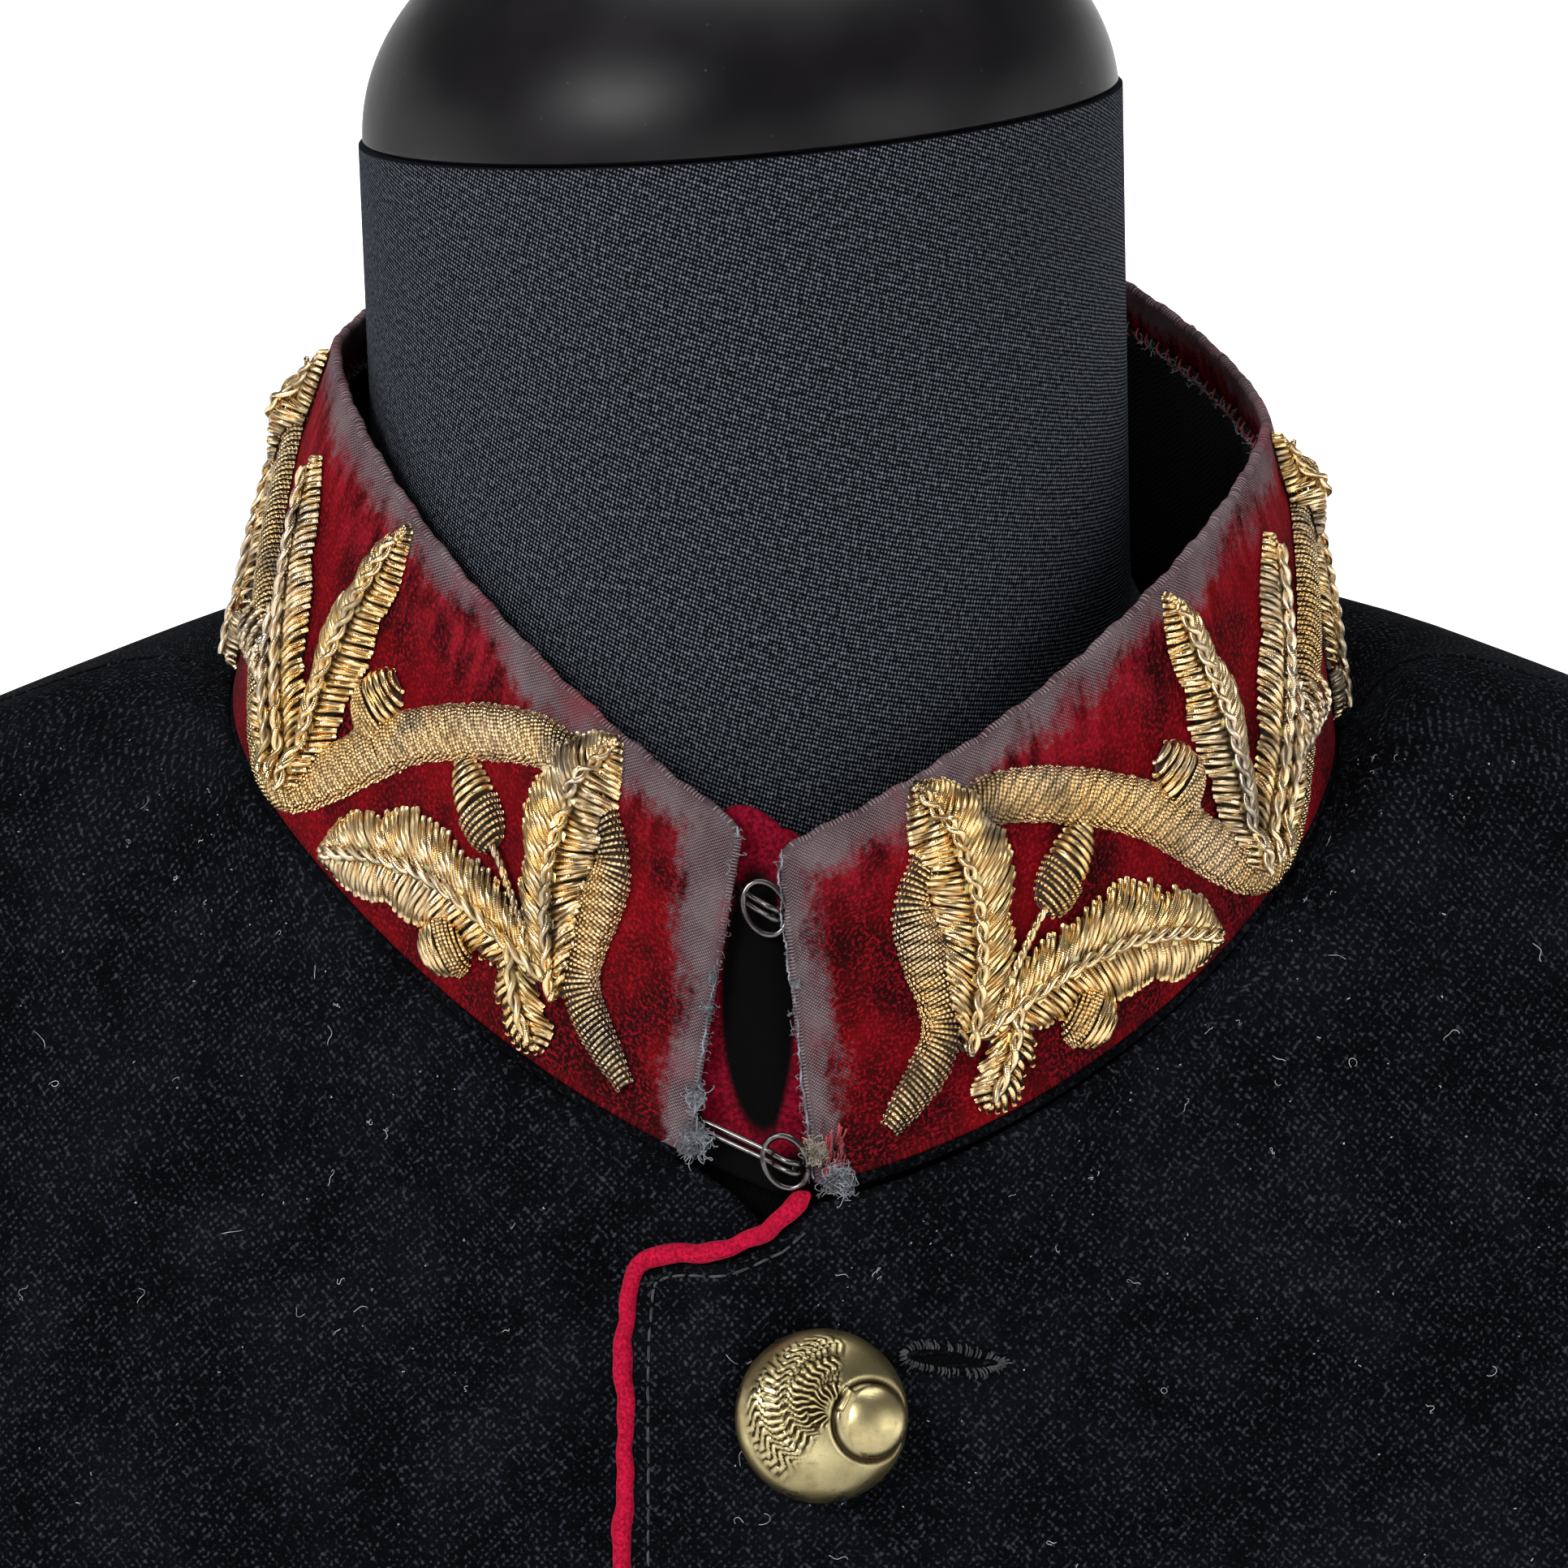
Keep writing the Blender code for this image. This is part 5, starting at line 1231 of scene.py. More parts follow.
velvet_columns = end_spacing(440, 0.35)
wander = 0.00016 * np.sin(velvet_columns * 310.0) + 0.00012 * np.sin(velvet_columns * 771.0 + 1.0)
turns, lowered, outer = collar_band(velvet_columns, wander + 0.0002, 44, 0.0)
inner = collar_point(turns, lowered, VELVET_WALL)
velvet_gaps = {"t": VELVET_WALL * 0.35, "b": VELVET_WALL / 2, "l": VELVET_WALL * 0.4, "r": VELVET_WALL * 0.4}
outer, inner = pulled_in(outer, velvet_gaps), pulled_in(inner, velvet_gaps)
velvet_band = shell("collar_velvet", outer, inner, half_uv(turns, lowered), VELVET, rim=6)
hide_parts("collar_velvet")

lining_columns = np.linspace(5.0 / 360.0, 355.0 / 360.0, 330)
ragged = 0.0005 * np.sin(lining_columns * 290.0) + 0.0004 * RNG.normal(size=lining_columns.size)
turns, lowered, lining_outer = collar_band(lining_columns, LINING_DROP + ragged, 16, VELVET_WALL + SEAM)
lining_inner = collar_point(turns, lowered, VELVET_WALL + SEAM + LINING_WALL)
lining = shell("collar_lining", lining_outer, lining_inner, measured_uv(lining_outer), LINING, rim=3)
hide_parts("collar_lining")

tab_across = np.linspace(-1.0, 1.0, 26)
tab_rows = np.linspace(1.0, 0.0, 44)[:, None]
tab_middle = (sum(LEFT_END_X) + sum(RIGHT_END_X)) / 4
tab_turns = turn_at_x(tab_middle + tab_across * TAB_HALF_WIDTH, 0.0 * tab_across)
tab_tops = TAB_TOP - TAB_ROUND * (1 - np.sqrt(1 - (0.98 * tab_across) ** 2))
tab_shares = TAB_FOOT + tab_rows * (tab_tops - TAB_FOOT)
sunk = 0.0004 * np.sin(tab_rows * 9.0) * np.cos(tab_across * 2.0)
tab_outer = collar_point(tab_turns + 0 * tab_rows, tab_shares, TAB_DEPTH + sunk)
tab_inner = collar_point(tab_turns + 0 * tab_rows, tab_shares, TAB_DEPTH + TAB_WALL + sunk)
tab_uv = np.stack((tab_across + 0 * tab_rows, tab_shares), axis=-1)
tab = shell("collar_tab", tab_outer, tab_inner, tab_uv, TAB_FELT)
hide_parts("collar_tab")


# The dress form
def form_turns_and_rows():
    """Points of the padded torso, from its bottom up to the neck's foot."""
    turns = np.linspace(-180.0, 180.0, 129)[:-1]
    rows = np.concatenate((np.linspace(13.0, 3.0, 46), np.linspace(3.0, 0.6, 18)[1:]))[:, None]
    s = np.abs(np.sin(np.radians(turns)))
    air = FORM_LEAST_AIR + FORM_FRONT_AIR * (1 - s**4) + FORM_LOWER_AIR * ease(rows, 1.2, 4.0)
    points = body_base(turns, rows) - body_normal(turns, rows) * (CLOTH + air)[..., None]
    points[0, :, 2] = FORM_BOTTOM_Z
    return turns, points


def softened(rings, step, rounds):
    """A profile of rings cut into short steps, with its corners rounded."""
    lengths = np.linalg.norm(np.diff(rings, axis=0), axis=-1).mean(axis=1)
    places = np.concatenate(([0.0], np.cumsum(lengths)))
    wanted = np.linspace(0.0, places[-1], int(places[-1] / step))
    i = np.clip(np.searchsorted(places, wanted) - 1, 0, len(lengths) - 1)
    t = ((wanted - places[i]) / lengths[i])[:, None, None]
    fine = rings[i] * (1 - t) + rings[i + 1] * t
    for _ in range(rounds):
        fine[1:-1] = (fine[:-2] + 2 * fine[1:-1] + fine[2:]) / 4
    return fine


form_turns, torso_rings = form_turns_and_rows()
angle = np.radians(form_turns)
neck_x, neck_y = NECK_RADIUS * np.sin(angle), -NECK_RADIUS * np.cos(angle)
foot = body_base(form_turns, 0 * form_turns + NECK_FOOT_ROW)
foot = foot - body_normal(form_turns, 0 * form_turns + NECK_FOOT_ROW) * NECK_FOOT_DEPTH
root = np.stack((neck_x, NECK_Y + neck_y, NECK_ROOT_Z + NECK_ROOT_TILT * neck_y), axis=-1)
flare = foot + (root - foot) * (NECK_FLARE_ACROSS, NECK_FLARE_ACROSS, NECK_FLARE_UP)
neck_top = np.stack((neck_x, NECK_Y + neck_y, NECK_TOP + CAP_ROLL * neck_x + CAP_PITCH * neck_y), axis=-1)
neck_rings = softened(np.stack((torso_rings[-1], foot, flare, root, neck_top)), 0.0022, 5)
rings = np.concatenate((torso_rings, neck_rings[1:]))
ring_count, around = rings.shape[:2]
index = np.arange(ring_count * around).reshape(ring_count, around)
climb = np.concatenate(([0.0], np.cumsum(np.linalg.norm(np.diff(rings, axis=0), axis=-1).mean(axis=1))))
run = np.arange(around + 1) / around * 2 * math.pi * NECK_RADIUS
corner_u = np.stack((run[:-1], run[1:], run[1:], run[:-1]), axis=-1) + 0 * climb[:-1, None, None]
corner_v = np.stack((climb[:-1], climb[:-1], climb[1:], climb[1:]), axis=-1)[:, None] + 0 * corner_u
form_uv = np.stack((corner_u, corner_v), axis=-1).reshape(-1, 2)
form_faces = [*map(tuple, ring_quads(index)), tuple(index[0, ::-1]), tuple(index[-1])]
form_uv = np.concatenate((form_uv, np.zeros((2 * around, 2))))
form = finish_piece("form_torso", rings.reshape(-1, 3), form_faces, JERSEY, form_uv)
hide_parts("form_torso")


# The gold embroidery
def flat_path(points, pitch):
    """Points at an even pitch on a line of (along, up) points, with their directions."""
    places = lengths_along(points)
    wanted = np.arange(pitch / 2, places[-1], pitch)
    line = np.stack([np.interp(wanted, places, points[:, k]) for k in (0, 1)], axis=-1)
    return line, unit(np.gradient(line, axis=0)), wanted / places[-1]


def arches(side, centres, ways, halves, lifts, foot, lean):
    """Threads that arch across a pad: one for each centre, with normals of the collar."""
    phase = np.linspace(0.0, math.pi, 9)
    across = sideways(ways)
    reach = (np.cos(phase) * halves[:, None])[..., None]
    slide = (np.cos(phase) * lean * halves[:, None])[..., None]
    places = centres[:, None] + across[:, None] * reach + ways[:, None] * slide
    heights = foot + np.sin(phase) ** 0.8 * lifts[:, None]
    return raised(side, places, heights)


def raised(side, places, heights):
    """Points over the collar and the collar's normals there."""
    points = on_collar(side, places[..., 0], places[..., 1], heights)
    normals = unit(points - on_collar(side, places[..., 0], places[..., 1], heights - 0.0005))
    return points, normals


def strand_pair(side, line, height, turn_radius, strand_radius, lay):
    """Two strands laid round each other along a line of (along, up) points."""
    steps = lengths_along(line)
    across = sideways(unit(np.gradient(line, axis=0)))
    paths, outs = [], []
    for start in (0.0, math.pi):
        phase = 2 * math.pi * steps / lay + start
        places = line + across * (np.sin(phase) * turn_radius)[:, None]
        points, normals = raised(side, places, height + np.cos(phase) * turn_radius * 0.7)
        paths.append(points)
        outs.append(normals)
    return paths, outs, strand_radius


def stem_rise(places):
    """How far threads are lifted where they cross over the stem."""
    keys = np.asarray(STEM_KEYS)
    fine = spline(keys, np.linspace(0.0, len(keys) - 1.0, 240))
    flat = places.reshape(-1, 2)
    away = np.linalg.norm(flat[:, None] - fine[None], axis=2).min(axis=1)
    rise = (STEM_LIFT + 0.0002) * ease(STEM_HALF_WIDTH * 1.30 - away, 0.0, STEM_HALF_WIDTH * 0.9)
    return rise.reshape(places.shape[:-1])


def even_stations(points, count):
    """A line of (along, up) points cut to a number of stations at even steps."""
    steps = lengths_along(points)
    wanted = np.linspace(0.0, steps[-1], count)
    return np.stack([np.interp(wanted, steps, points[:, k]) for k in (0, 1)], axis=-1)


def leaf_line(leaf, shift):
    """The midrib of a leaf."""
    along, up, tip_along, tip_up, bow, _ = leaf
    t = np.linspace(0.0, 1.0, 60)[:, None]
    root = np.array((along + shift, up))
    axis = np.array((tip_along - along, tip_up - up))
    aside = unit(sideways(axis[None])[0])
    return root + axis * t + aside * bow * np.sin(math.pi * t)


def leaf_half_width(t, half_width, lobes):
    """A lobed oak leaf's half width at shares of its length."""
    outline = np.sin(math.pi * np.clip(t, 0.0, 1.0) ** 0.85) ** 0.6
    wave = np.abs(np.sin(math.pi * (lobes * t + 0.06))) ** 0.6
    return half_width * np.maximum(outline, 0.10) * (0.74 + 0.36 * wave)


def pads(name, groups, material):
    """Low closed pads under the threads, each from rings of points."""
    verts, faces = [], []
    total = 0
    for rings in groups:
        count, sides = rings.shape[:2]
        index = np.arange(count * sides).reshape(count, sides) + total
        faces.extend(map(tuple, ring_quads(index)))
        faces.append(tuple(index[0, ::-1]))
        faces.append(tuple(index[-1]))
        verts.append(rings.reshape(-1, 3))
        total += count * sides
    return finish_piece(name, np.concatenate(verts), faces, material)


def pad_rings(side, centres, ways, halves, lifts):
    """Rings of a pad whose underside lies just over the velvet."""
    across = sideways(ways)
    offsets = np.array((-1.0, -0.72, -0.30, 0.30, 0.72, 1.0, 0.4, -0.4))
    rises = np.array((0.05, 0.62, 0.94, 0.94, 0.62, 0.05, 0.0, 0.0))
    places = centres[:, None] + across[:, None] * (halves[:, None] * offsets)[..., None]
    rings, _ = raised(side, places, 0.00012 + lifts[:, None] * rises)
    return rings if side > 0 else rings[:, ::-1]


def gather(parts):
    """Joins thread paths of the same length in one array."""
    return np.concatenate([np.asarray(part) for part in parts])


def stem_threads(side):
    """The serpentine stem: a pad wrapped closely in beaded thread."""
    keys = np.asarray(STEM_KEYS)
    fine = spline(keys, np.linspace(0.0, len(keys) - 1.0, 600))
    centres, ways, share = flat_path(fine, STEM_PITCH)
    ends = np.minimum(share, 1 - share) * 40.0
    halves = STEM_HALF_WIDTH * np.clip(0.45 + 0.55 * ends, 0.0, 1.0)
    halves = halves * (1 + 0.03 * RNG.normal(size=halves.size))
    lifts = STEM_LIFT * np.clip(0.6 + 0.4 * ends, 0.0, 1.0) * (1 + 0.03 * RNG.normal(size=halves.size))
    paths, normals = arches(side, centres, ways, halves, lifts, 0.00022, lean=0.16)
    pad = pad_rings(side, centres[::3], ways[::3], halves[::3] * 0.93, lifts[::3] * 0.93)
    return paths, normals, pad


def leaf_threads(side, leaf, shift):
    """A leaf's two rows of slanting purl threads, its midrib and its pad."""
    line = leaf_line(leaf, shift)
    half_width = leaf[5]
    lobes = 3 if half_width > 0.0045 else 2
    length = np.linalg.norm(np.diff(line, axis=0), axis=1).sum()
    centres, ways, share = flat_path(line, PURL_PITCH)
    widths = leaf_half_width(share, half_width, lobes)
    across = sideways(ways)
    paths, normals = [], []
    for hand in (1.0, -1.0):
        lean = 0.62 * widths * (1.0 - 0.35 * share) + 0.10 * half_width
        lean = lean * (1 + 0.05 * RNG.normal(size=share.size))
        reach = widths * (1 + 0.04 * RNG.normal(size=share.size))
        s = np.linspace(0.04, 1.0, 8)
        bend = s**1.15
        places = (
            centres[:, None]
            + across[:, None] * (hand * reach[:, None] * s)[..., None]
            + ways[:, None] * (lean[:, None] * bend)[..., None]
        )
        puff = LEAF_LIFT * (0.62 + 0.38 * np.sin(math.pi * share))[:, None]
        crown = 0.00030 + puff * (0.42 + 0.58 * np.sin(math.pi * np.clip(s * 0.92 + 0.06, 0, 1))) * (1 - s**7)
        point, normal = raised(side, places, crown * 0.85 + stem_rise(places))
        paths.append(point)
        normals.append(normal)
    tip = 0.62 * widths[:, None] * (1.0 - 0.35 * share[:, None])
    pad_centres = centres + ways * tip * 0.35
    pad_lifts = 0.0004 + LEAF_LIFT * 0.66 * np.sin(math.pi * share) ** 0.5
    pad = pad_rings(side, pad_centres, ways, widths * 0.84, pad_lifts)
    rib_line = even_stations(line, max(int(length / 0.00030), 24))
    rib_line = rib_line[: int(len(rib_line) * 0.97)]
    rib_height = 0.0024 + 0.0006 * np.sin(math.pi * np.linspace(0.05, 0.95, len(rib_line)))
    ribs = strand_pair(side, rib_line, rib_height + stem_rise(rib_line), 0.00056, 0.00048, 0.0054)
    plates = []
    for k in range(3, len(centres) - 3, 6):
        for hand in (1.0, -1.0):
            place = centres[k] + across[k] * hand * 0.00095
            height = 0.0018 + 0.0005 * math.sin(math.pi * share[k]) + float(stem_rise(place[None])[0])
            plates.append((place, ways[k], height))
    return gather(paths), gather(normals), pad, ribs, plates


def acorn_threads(side, acorn, shift):
    """An acorn: a nut of long cross threads, a beaded cup and a twisted stalk."""
    along, up, knee_along, knee_up, nut_along, nut_up, length, half_width = acorn
    offset = np.array((shift, 0.0))
    nut = np.array((nut_along, nut_up)) + offset
    knee = np.array((knee_along, knee_up)) + offset
    foot = np.array((along, up)) + offset
    way = unit(nut - knee)
    t = np.linspace(0.0, 1.0, 60)
    widths = np.interp(t, *np.array(ACORN_OUTLINE).T)
    line = nut + way * (t - 0.5)[:, None] * length
    parts = []
    for low, high, pitch in ((0.0, 0.45, 0.00064), (0.48, 1.0, 0.00096)):
        count = max(int((high - low) * length / pitch), 3)
        own = low + (high - low) * (np.arange(count) + 0.5) / count
        centres = nut + way * (own - 0.5)[:, None] * length
        halves = half_width * np.interp(own, t, widths)
        lifts = NUT_LIFT * (0.62 + 0.38 * np.sin(math.pi * own)) * np.interp(own, t, widths) ** 0.5
        ways = np.broadcast_to(way, centres.shape)
        parts.append(arches(side, centres, ways, halves, lifts, 0.00025, lean=0.05))
    ways = np.broadcast_to(way, line[::4].shape)
    pad_lifts = NUT_LIFT * 0.80 * np.sin(math.pi * (t[::4] * 0.9 + 0.05))
    pad = pad_rings(side, line[::4], ways, half_width * widths[::4] * 0.90, pad_lifts)
    curve = spline(np.stack((foot, knee, nut - way * length * 0.44)), np.linspace(0.0, 2.0, 60))
    stalk = strand_pair(side, even_stations(curve, 56), 0.0011, 0.00034, 0.00038, 0.0024)
    return parts, pad, stalk


def plate_mesh(name, side, plates, material):
    """Small flat gilt plates laid on the leaves."""
    verts, faces = [], []
    corners = np.array(((-0.55, -0.35), (0.55, -0.35), (0.55, 0.35), (-0.55, 0.35))) * MM
    for place, way, height in plates:
        across = np.array((-way[1], way[0]))
        flat = place + way * corners[:, :1] + across * corners[:, 1:]
        low, _ = raised(side, flat, np.full(4, height))
        high, _ = raised(side, flat, np.full(4, height + 0.00022))
        start = len(verts)
        verts.extend((*low, *high))
        order = ((3, 2, 1, 0), (4, 5, 6, 7), (0, 1, 5, 4), (1, 2, 6, 5), (2, 3, 7, 6), (3, 0, 4, 7))
        for quad in order:
            quad = quad if side > 0 else quad[::-1]
            faces.append(tuple(start + k for k in quad))
    return finish_piece(name, verts, faces, material, smooth=False)


def tie_threads(side, shift):
    """Twisted bands that bind one repeat to the next."""
    cords = []
    for k in range(4):
        start = np.array((0.0885 + 0.0026 * k, 0.0115)) + (shift, 0.0)
        end = start + (0.0030, 0.0068)
        line = start + (end - start) * np.linspace(0.0, 1.0, 26)[:, None]
        height = 0.0016 + 0.0022 * np.sin(math.pi * np.linspace(0.0, 1.0, 26)) ** 0.7
        cords.append(strand_pair(side, line, height, 0.00036, 0.00042, 0.0024))
    return cords


def joined_strands(name, pairs, material):
    """Twisted cords of different lengths, cut to the same number of stations, in one mesh."""
    count = max(len(path) for paths, _, _ in pairs for path in paths)
    all_paths, all_outs = [], []
    for paths, outs, _ in pairs:
        for path, out in zip(paths, outs):
            wanted = np.linspace(0.0, len(path) - 1.0, count)
            low = np.clip(wanted.astype(int), 0, len(path) - 2)
            t = (wanted - low)[:, None]
            all_paths.append(path[low] * (1 - t) + path[low + 1] * t)
            all_outs.append(out[low])
    radius = pairs[0][2]
    return tubes(name, all_paths, radius, material, sides=5, outs=np.array(all_outs))


def sew_gold(side, hand):
    """All the gold of one half of the collar, as four pieces on one padding."""
    leaves, leaf_outs, nuts, nut_outs, cups, cup_outs = [], [], [], [], [], []
    pad_groups, cords, plates, stalks = [], [], [], []
    paths, outs, pad = stem_threads(side)
    stem = tubes(f"embroidery_stem_{hand}", paths, THREAD_RADIUS, GOLD_WRAP, sides=5, outs=outs)
    pad_groups.append(pad)
    for shift in (0.0, REPEAT):
        for leaf in LEAVES:
            threads, normals, pad, ribs, leaf_plates = leaf_threads(side, leaf, shift)
            leaves.append(threads)
            leaf_outs.append(normals)
            pad_groups.append(pad)
            cords.append(ribs)
            plates.extend(leaf_plates)
        for acorn in ACORNS:
            (cup, nut), pad, stalk = acorn_threads(side, acorn, shift)
            cups.append(cup[0])
            cup_outs.append(cup[1])
            nuts.append(nut[0])
            nut_outs.append(nut[1])
            pad_groups.append(pad)
            stalks.append(stalk)
    stalks.extend(tie_threads(side, 0.0))
    threads = gather(leaves)
    purl = tubes(f"embroidery_leaves_{hand}", threads, PURL_RADIUS, GOLD_PURL, sides=6, outs=gather(leaf_outs))
    threads = gather(cups)
    cup_piece = tubes(f"embroidery_cups_{hand}", threads, THREAD_RADIUS, GOLD_WRAP, outs=gather(cup_outs))
    threads = gather(nuts)
    nut_piece = tubes(f"embroidery_nuts_{hand}", threads, PURL_RADIUS, GOLD_PURL, sides=6, outs=gather(nut_outs))
    rib_piece = joined_strands(f"embroidery_ribs_{hand}", cords, GOLD_CORD)
    stalk_piece = joined_strands(f"embroidery_stalks_{hand}", stalks, GOLD_CORD)
    plate_piece = plate_mesh(f"embroidery_plates_{hand}", side, plates, GOLD_PLATE)
    padding = pads(f"embroidery_padding_{hand}", pad_groups, GOLD_PAD)
    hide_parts(f"embroidery_{hand}")


sew_gold(1, "left")
sew_gold(-1, "right")


# The front edge
def edge_line(count, aside, height):
    """Points along the upper front's edge from the collar to the hem, aside metres outside it."""
    outs, drops = spline(LEFT_NOTCH, np.linspace(0.0, len(LEFT_NOTCH) - 1.0, 60)).T
    xs = np.concatenate((LEFT_END_X[0] - outs, np.full(60, LEFT_EDGE_X)))
    rows = np.concatenate((drops, np.linspace(LEFT_NOTCH[-1][1] + 0.1, HEM_ROW - 0.03, 60)))
    turns = turn_at_x(xs, rows)
    line = body_point(turns, rows)
    steps = lengths_along(line)
    wanted = np.linspace(0.0, steps[-1], count)
    xs, rows, turns = (np.interp(wanted, steps, v) for v in (xs, rows, turns))
    line = body_point(turns, rows)
    normals = body_normal(turns, rows)
    away = -unit(np.cross(normals, np.gradient(line, axis=0)))
    line = line + away * np.asarray(aside)[..., None] + normals * np.asarray(height)[..., None]
    return line, normals, wanted


def felt_piping():
    """The crimson felt cord: slightly wavy, thicker and thinner along its way."""
    count = 900
    run = np.linspace(0.0, 1.0, count)
    wave = 0.00022 * np.sin(run * 160.0) + 0.00016 * np.sin(run * 371.0 + 0.6) + 0.00010 * np.sin(run * 911.0)
    line, normals, _ = edge_line(count, PIPING_RADIUS * 0.92 + wave, -0.0002 + 0.5 * wave)
    swell = 1.0 + 0.07 * np.sin(run * 233.0 + 1.0) + 0.05 * np.sin(run * 617.0)
    swell = swell * ease(np.minimum(run, 1.0 - run), -0.0015, 0.0025)
    piece = tubes("front_piping", [line], 0.00127 * swell, PIPING_FELT, sides=14, outs=normals[None])
    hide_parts("front_piping")
    return piece


def stitch_row(name, aside, length, pitch, radius, material, reach):
    """A row of machine stitches beside the front's edge."""
    line, normals, wanted = edge_line(3000, aside, 0.0)
    starts = np.arange(0.004, min(wanted[-1], reach) - length, pitch)
    share = np.linspace(0.0, 1.0, 6)
    places = starts[:, None] + share * length
    dip = -0.00016 + 0.00030 * np.sin(math.pi * share) ** 0.6
    paths = np.stack([np.interp(places, wanted, line[:, k]) for k in range(3)], axis=-1)
    outs = np.stack([np.interp(places, wanted, normals[:, k]) for k in range(3)], axis=-1)
    piece = tubes(name, paths + outs * dip[None, :, None], radius, material, sides=5, outs=outs)
    return piece


felt_piping()
stitch_row("front_topstitching", -0.0023, 0.0021, 0.0027, 0.00017, SEWING, 1.0)


# Frames on the front, for what is sewn there
def front_frame(x, z):
    """Centre, across, up and out of the upper front at a place; across is the wearer's left."""
    row = row_at_z(x, z)
    turn = float(turn_at_x(x, row))
    centre = body_point(np.array(turn), np.array(row))
    out = body_normal(np.array(turn), np.array(row))
    across = unit(np.cross((0.0, 0.0, 1.0), out))
    return centre, across, np.cross(out, across), out, turn, row


def on_front(centre_turn, centre_row, x, y, height):
    """Points over the upper front, x metres across and y metres up from a place on it."""
    here = body_point(np.array(centre_turn), np.array(centre_row))
    by_turn = body_point(np.array(centre_turn + 1.0), np.array(centre_row)) - here
    by_row = (body_point(np.array(centre_turn), np.array(centre_row + 0.1)) - here) * 10.0
    across = unit(np.cross((0.0, 0.0, 1.0), body_normal(np.array(centre_turn), np.array(centre_row))))
    up = unit(np.cross(by_turn, -by_row))
    up = np.cross(up, across)
    steps = np.array(((by_turn @ across, by_row @ across), (by_turn @ up, by_row @ up)))
    (a, b), (c, d) = np.linalg.inv(steps)
    turns = centre_turn + a * np.asarray(x) + b * np.asarray(y)
    rows = centre_row + c * np.asarray(x) + d * np.asarray(y)
    return body_point(turns, rows, -np.asarray(height, float)), body_normal(turns, rows)


# The buttons
def dome_height(x, y):
    """Height of a button's dome over its lip."""
    r = np.hypot(x, y) / BUTTON_RADIUS
    return (BUTTON_HEIGHT - 0.0013) * np.sqrt(np.clip(1 - r**2 * 0.98, 0.0, 1.0)) ** 1.1


def button_relief(x, y):
    """Rise of the button's fine relief and how bright each place is: rubbed on its heights, with painted shade
    in its hollows and round the ball.
    """
    ball = np.hypot(x - BALL_PLACE[0], y - BALL_PLACE[1])
    moat = np.exp(-(((ball - BALL_RADIUS * 1.04) / 0.00042) ** 2))
    bar_x, bar_y = x - 0.0023, y - 0.0019
    tilt = math.radians(32.0)
    along = bar_x * math.sin(tilt) + bar_y * math.cos(tilt)
    aside = bar_x * math.cos(tilt) - bar_y * math.sin(tilt)
    bar = ease(0.0018 - np.abs(along), 0.0, 0.0004) * ease(0.00062 - np.abs(aside), 0.0, 0.0003)
    angle = np.degrees(np.arctan2(y - 0.0006, x - 0.0012))
    angle = np.where(angle < 0, angle + 360.0, angle)
    reach = np.hypot(x - 0.0012, y - 0.0006)
    fan = ease(angle, 74.0, 84.0) * (1 - ease(angle, 218.0, 236.0))
    fan = fan * ease(reach, 0.0013, 0.0020) * (1 - ease(np.hypot(x, y), 0.0098, 0.0107))
    sway = 4.2 * np.sin(reach * 1750.0 + angle * 0.05) + 2.0 * np.sin(reach * 3100.0 + angle * 0.11)
    ridge = np.zeros_like(reach)
    for inner, outer, width, turn in FLAME_RINGS:
        locks = ease(np.cos(np.radians((angle + sway + turn) * 360.0 / width)), -0.6, 0.8)
        tips = outer - 0.0007 * np.abs(np.sin(np.radians((angle + turn) * 180.0 / width + 40.0)))
        ring = ease(reach, inner, inner + 0.0006) * (1 - ease(reach, tips - 0.0005, tips))
        ridge = np.maximum(ridge, locks * ring)
    rise = 0.00062 * fan * (ridge - 0.30) + 0.00070 * bar - 0.00050 * moat * (ball > BALL_RADIUS * 0.9)
    lip = np.exp(-(((np.hypot(x, y) - BUTTON_RADIUS * 0.965) / 0.00035) ** 2))
    # Painted shade: the moat round the ball and the troughs between the flames get low values, which the brass
    # darkens.
    depth = 0.34 + fan * (0.75 * ridge - 0.32) + 0.5 * bar - 0.32 * moat + 0.20 * lip
    return rise, np.clip(depth, 0.0, 1.0)


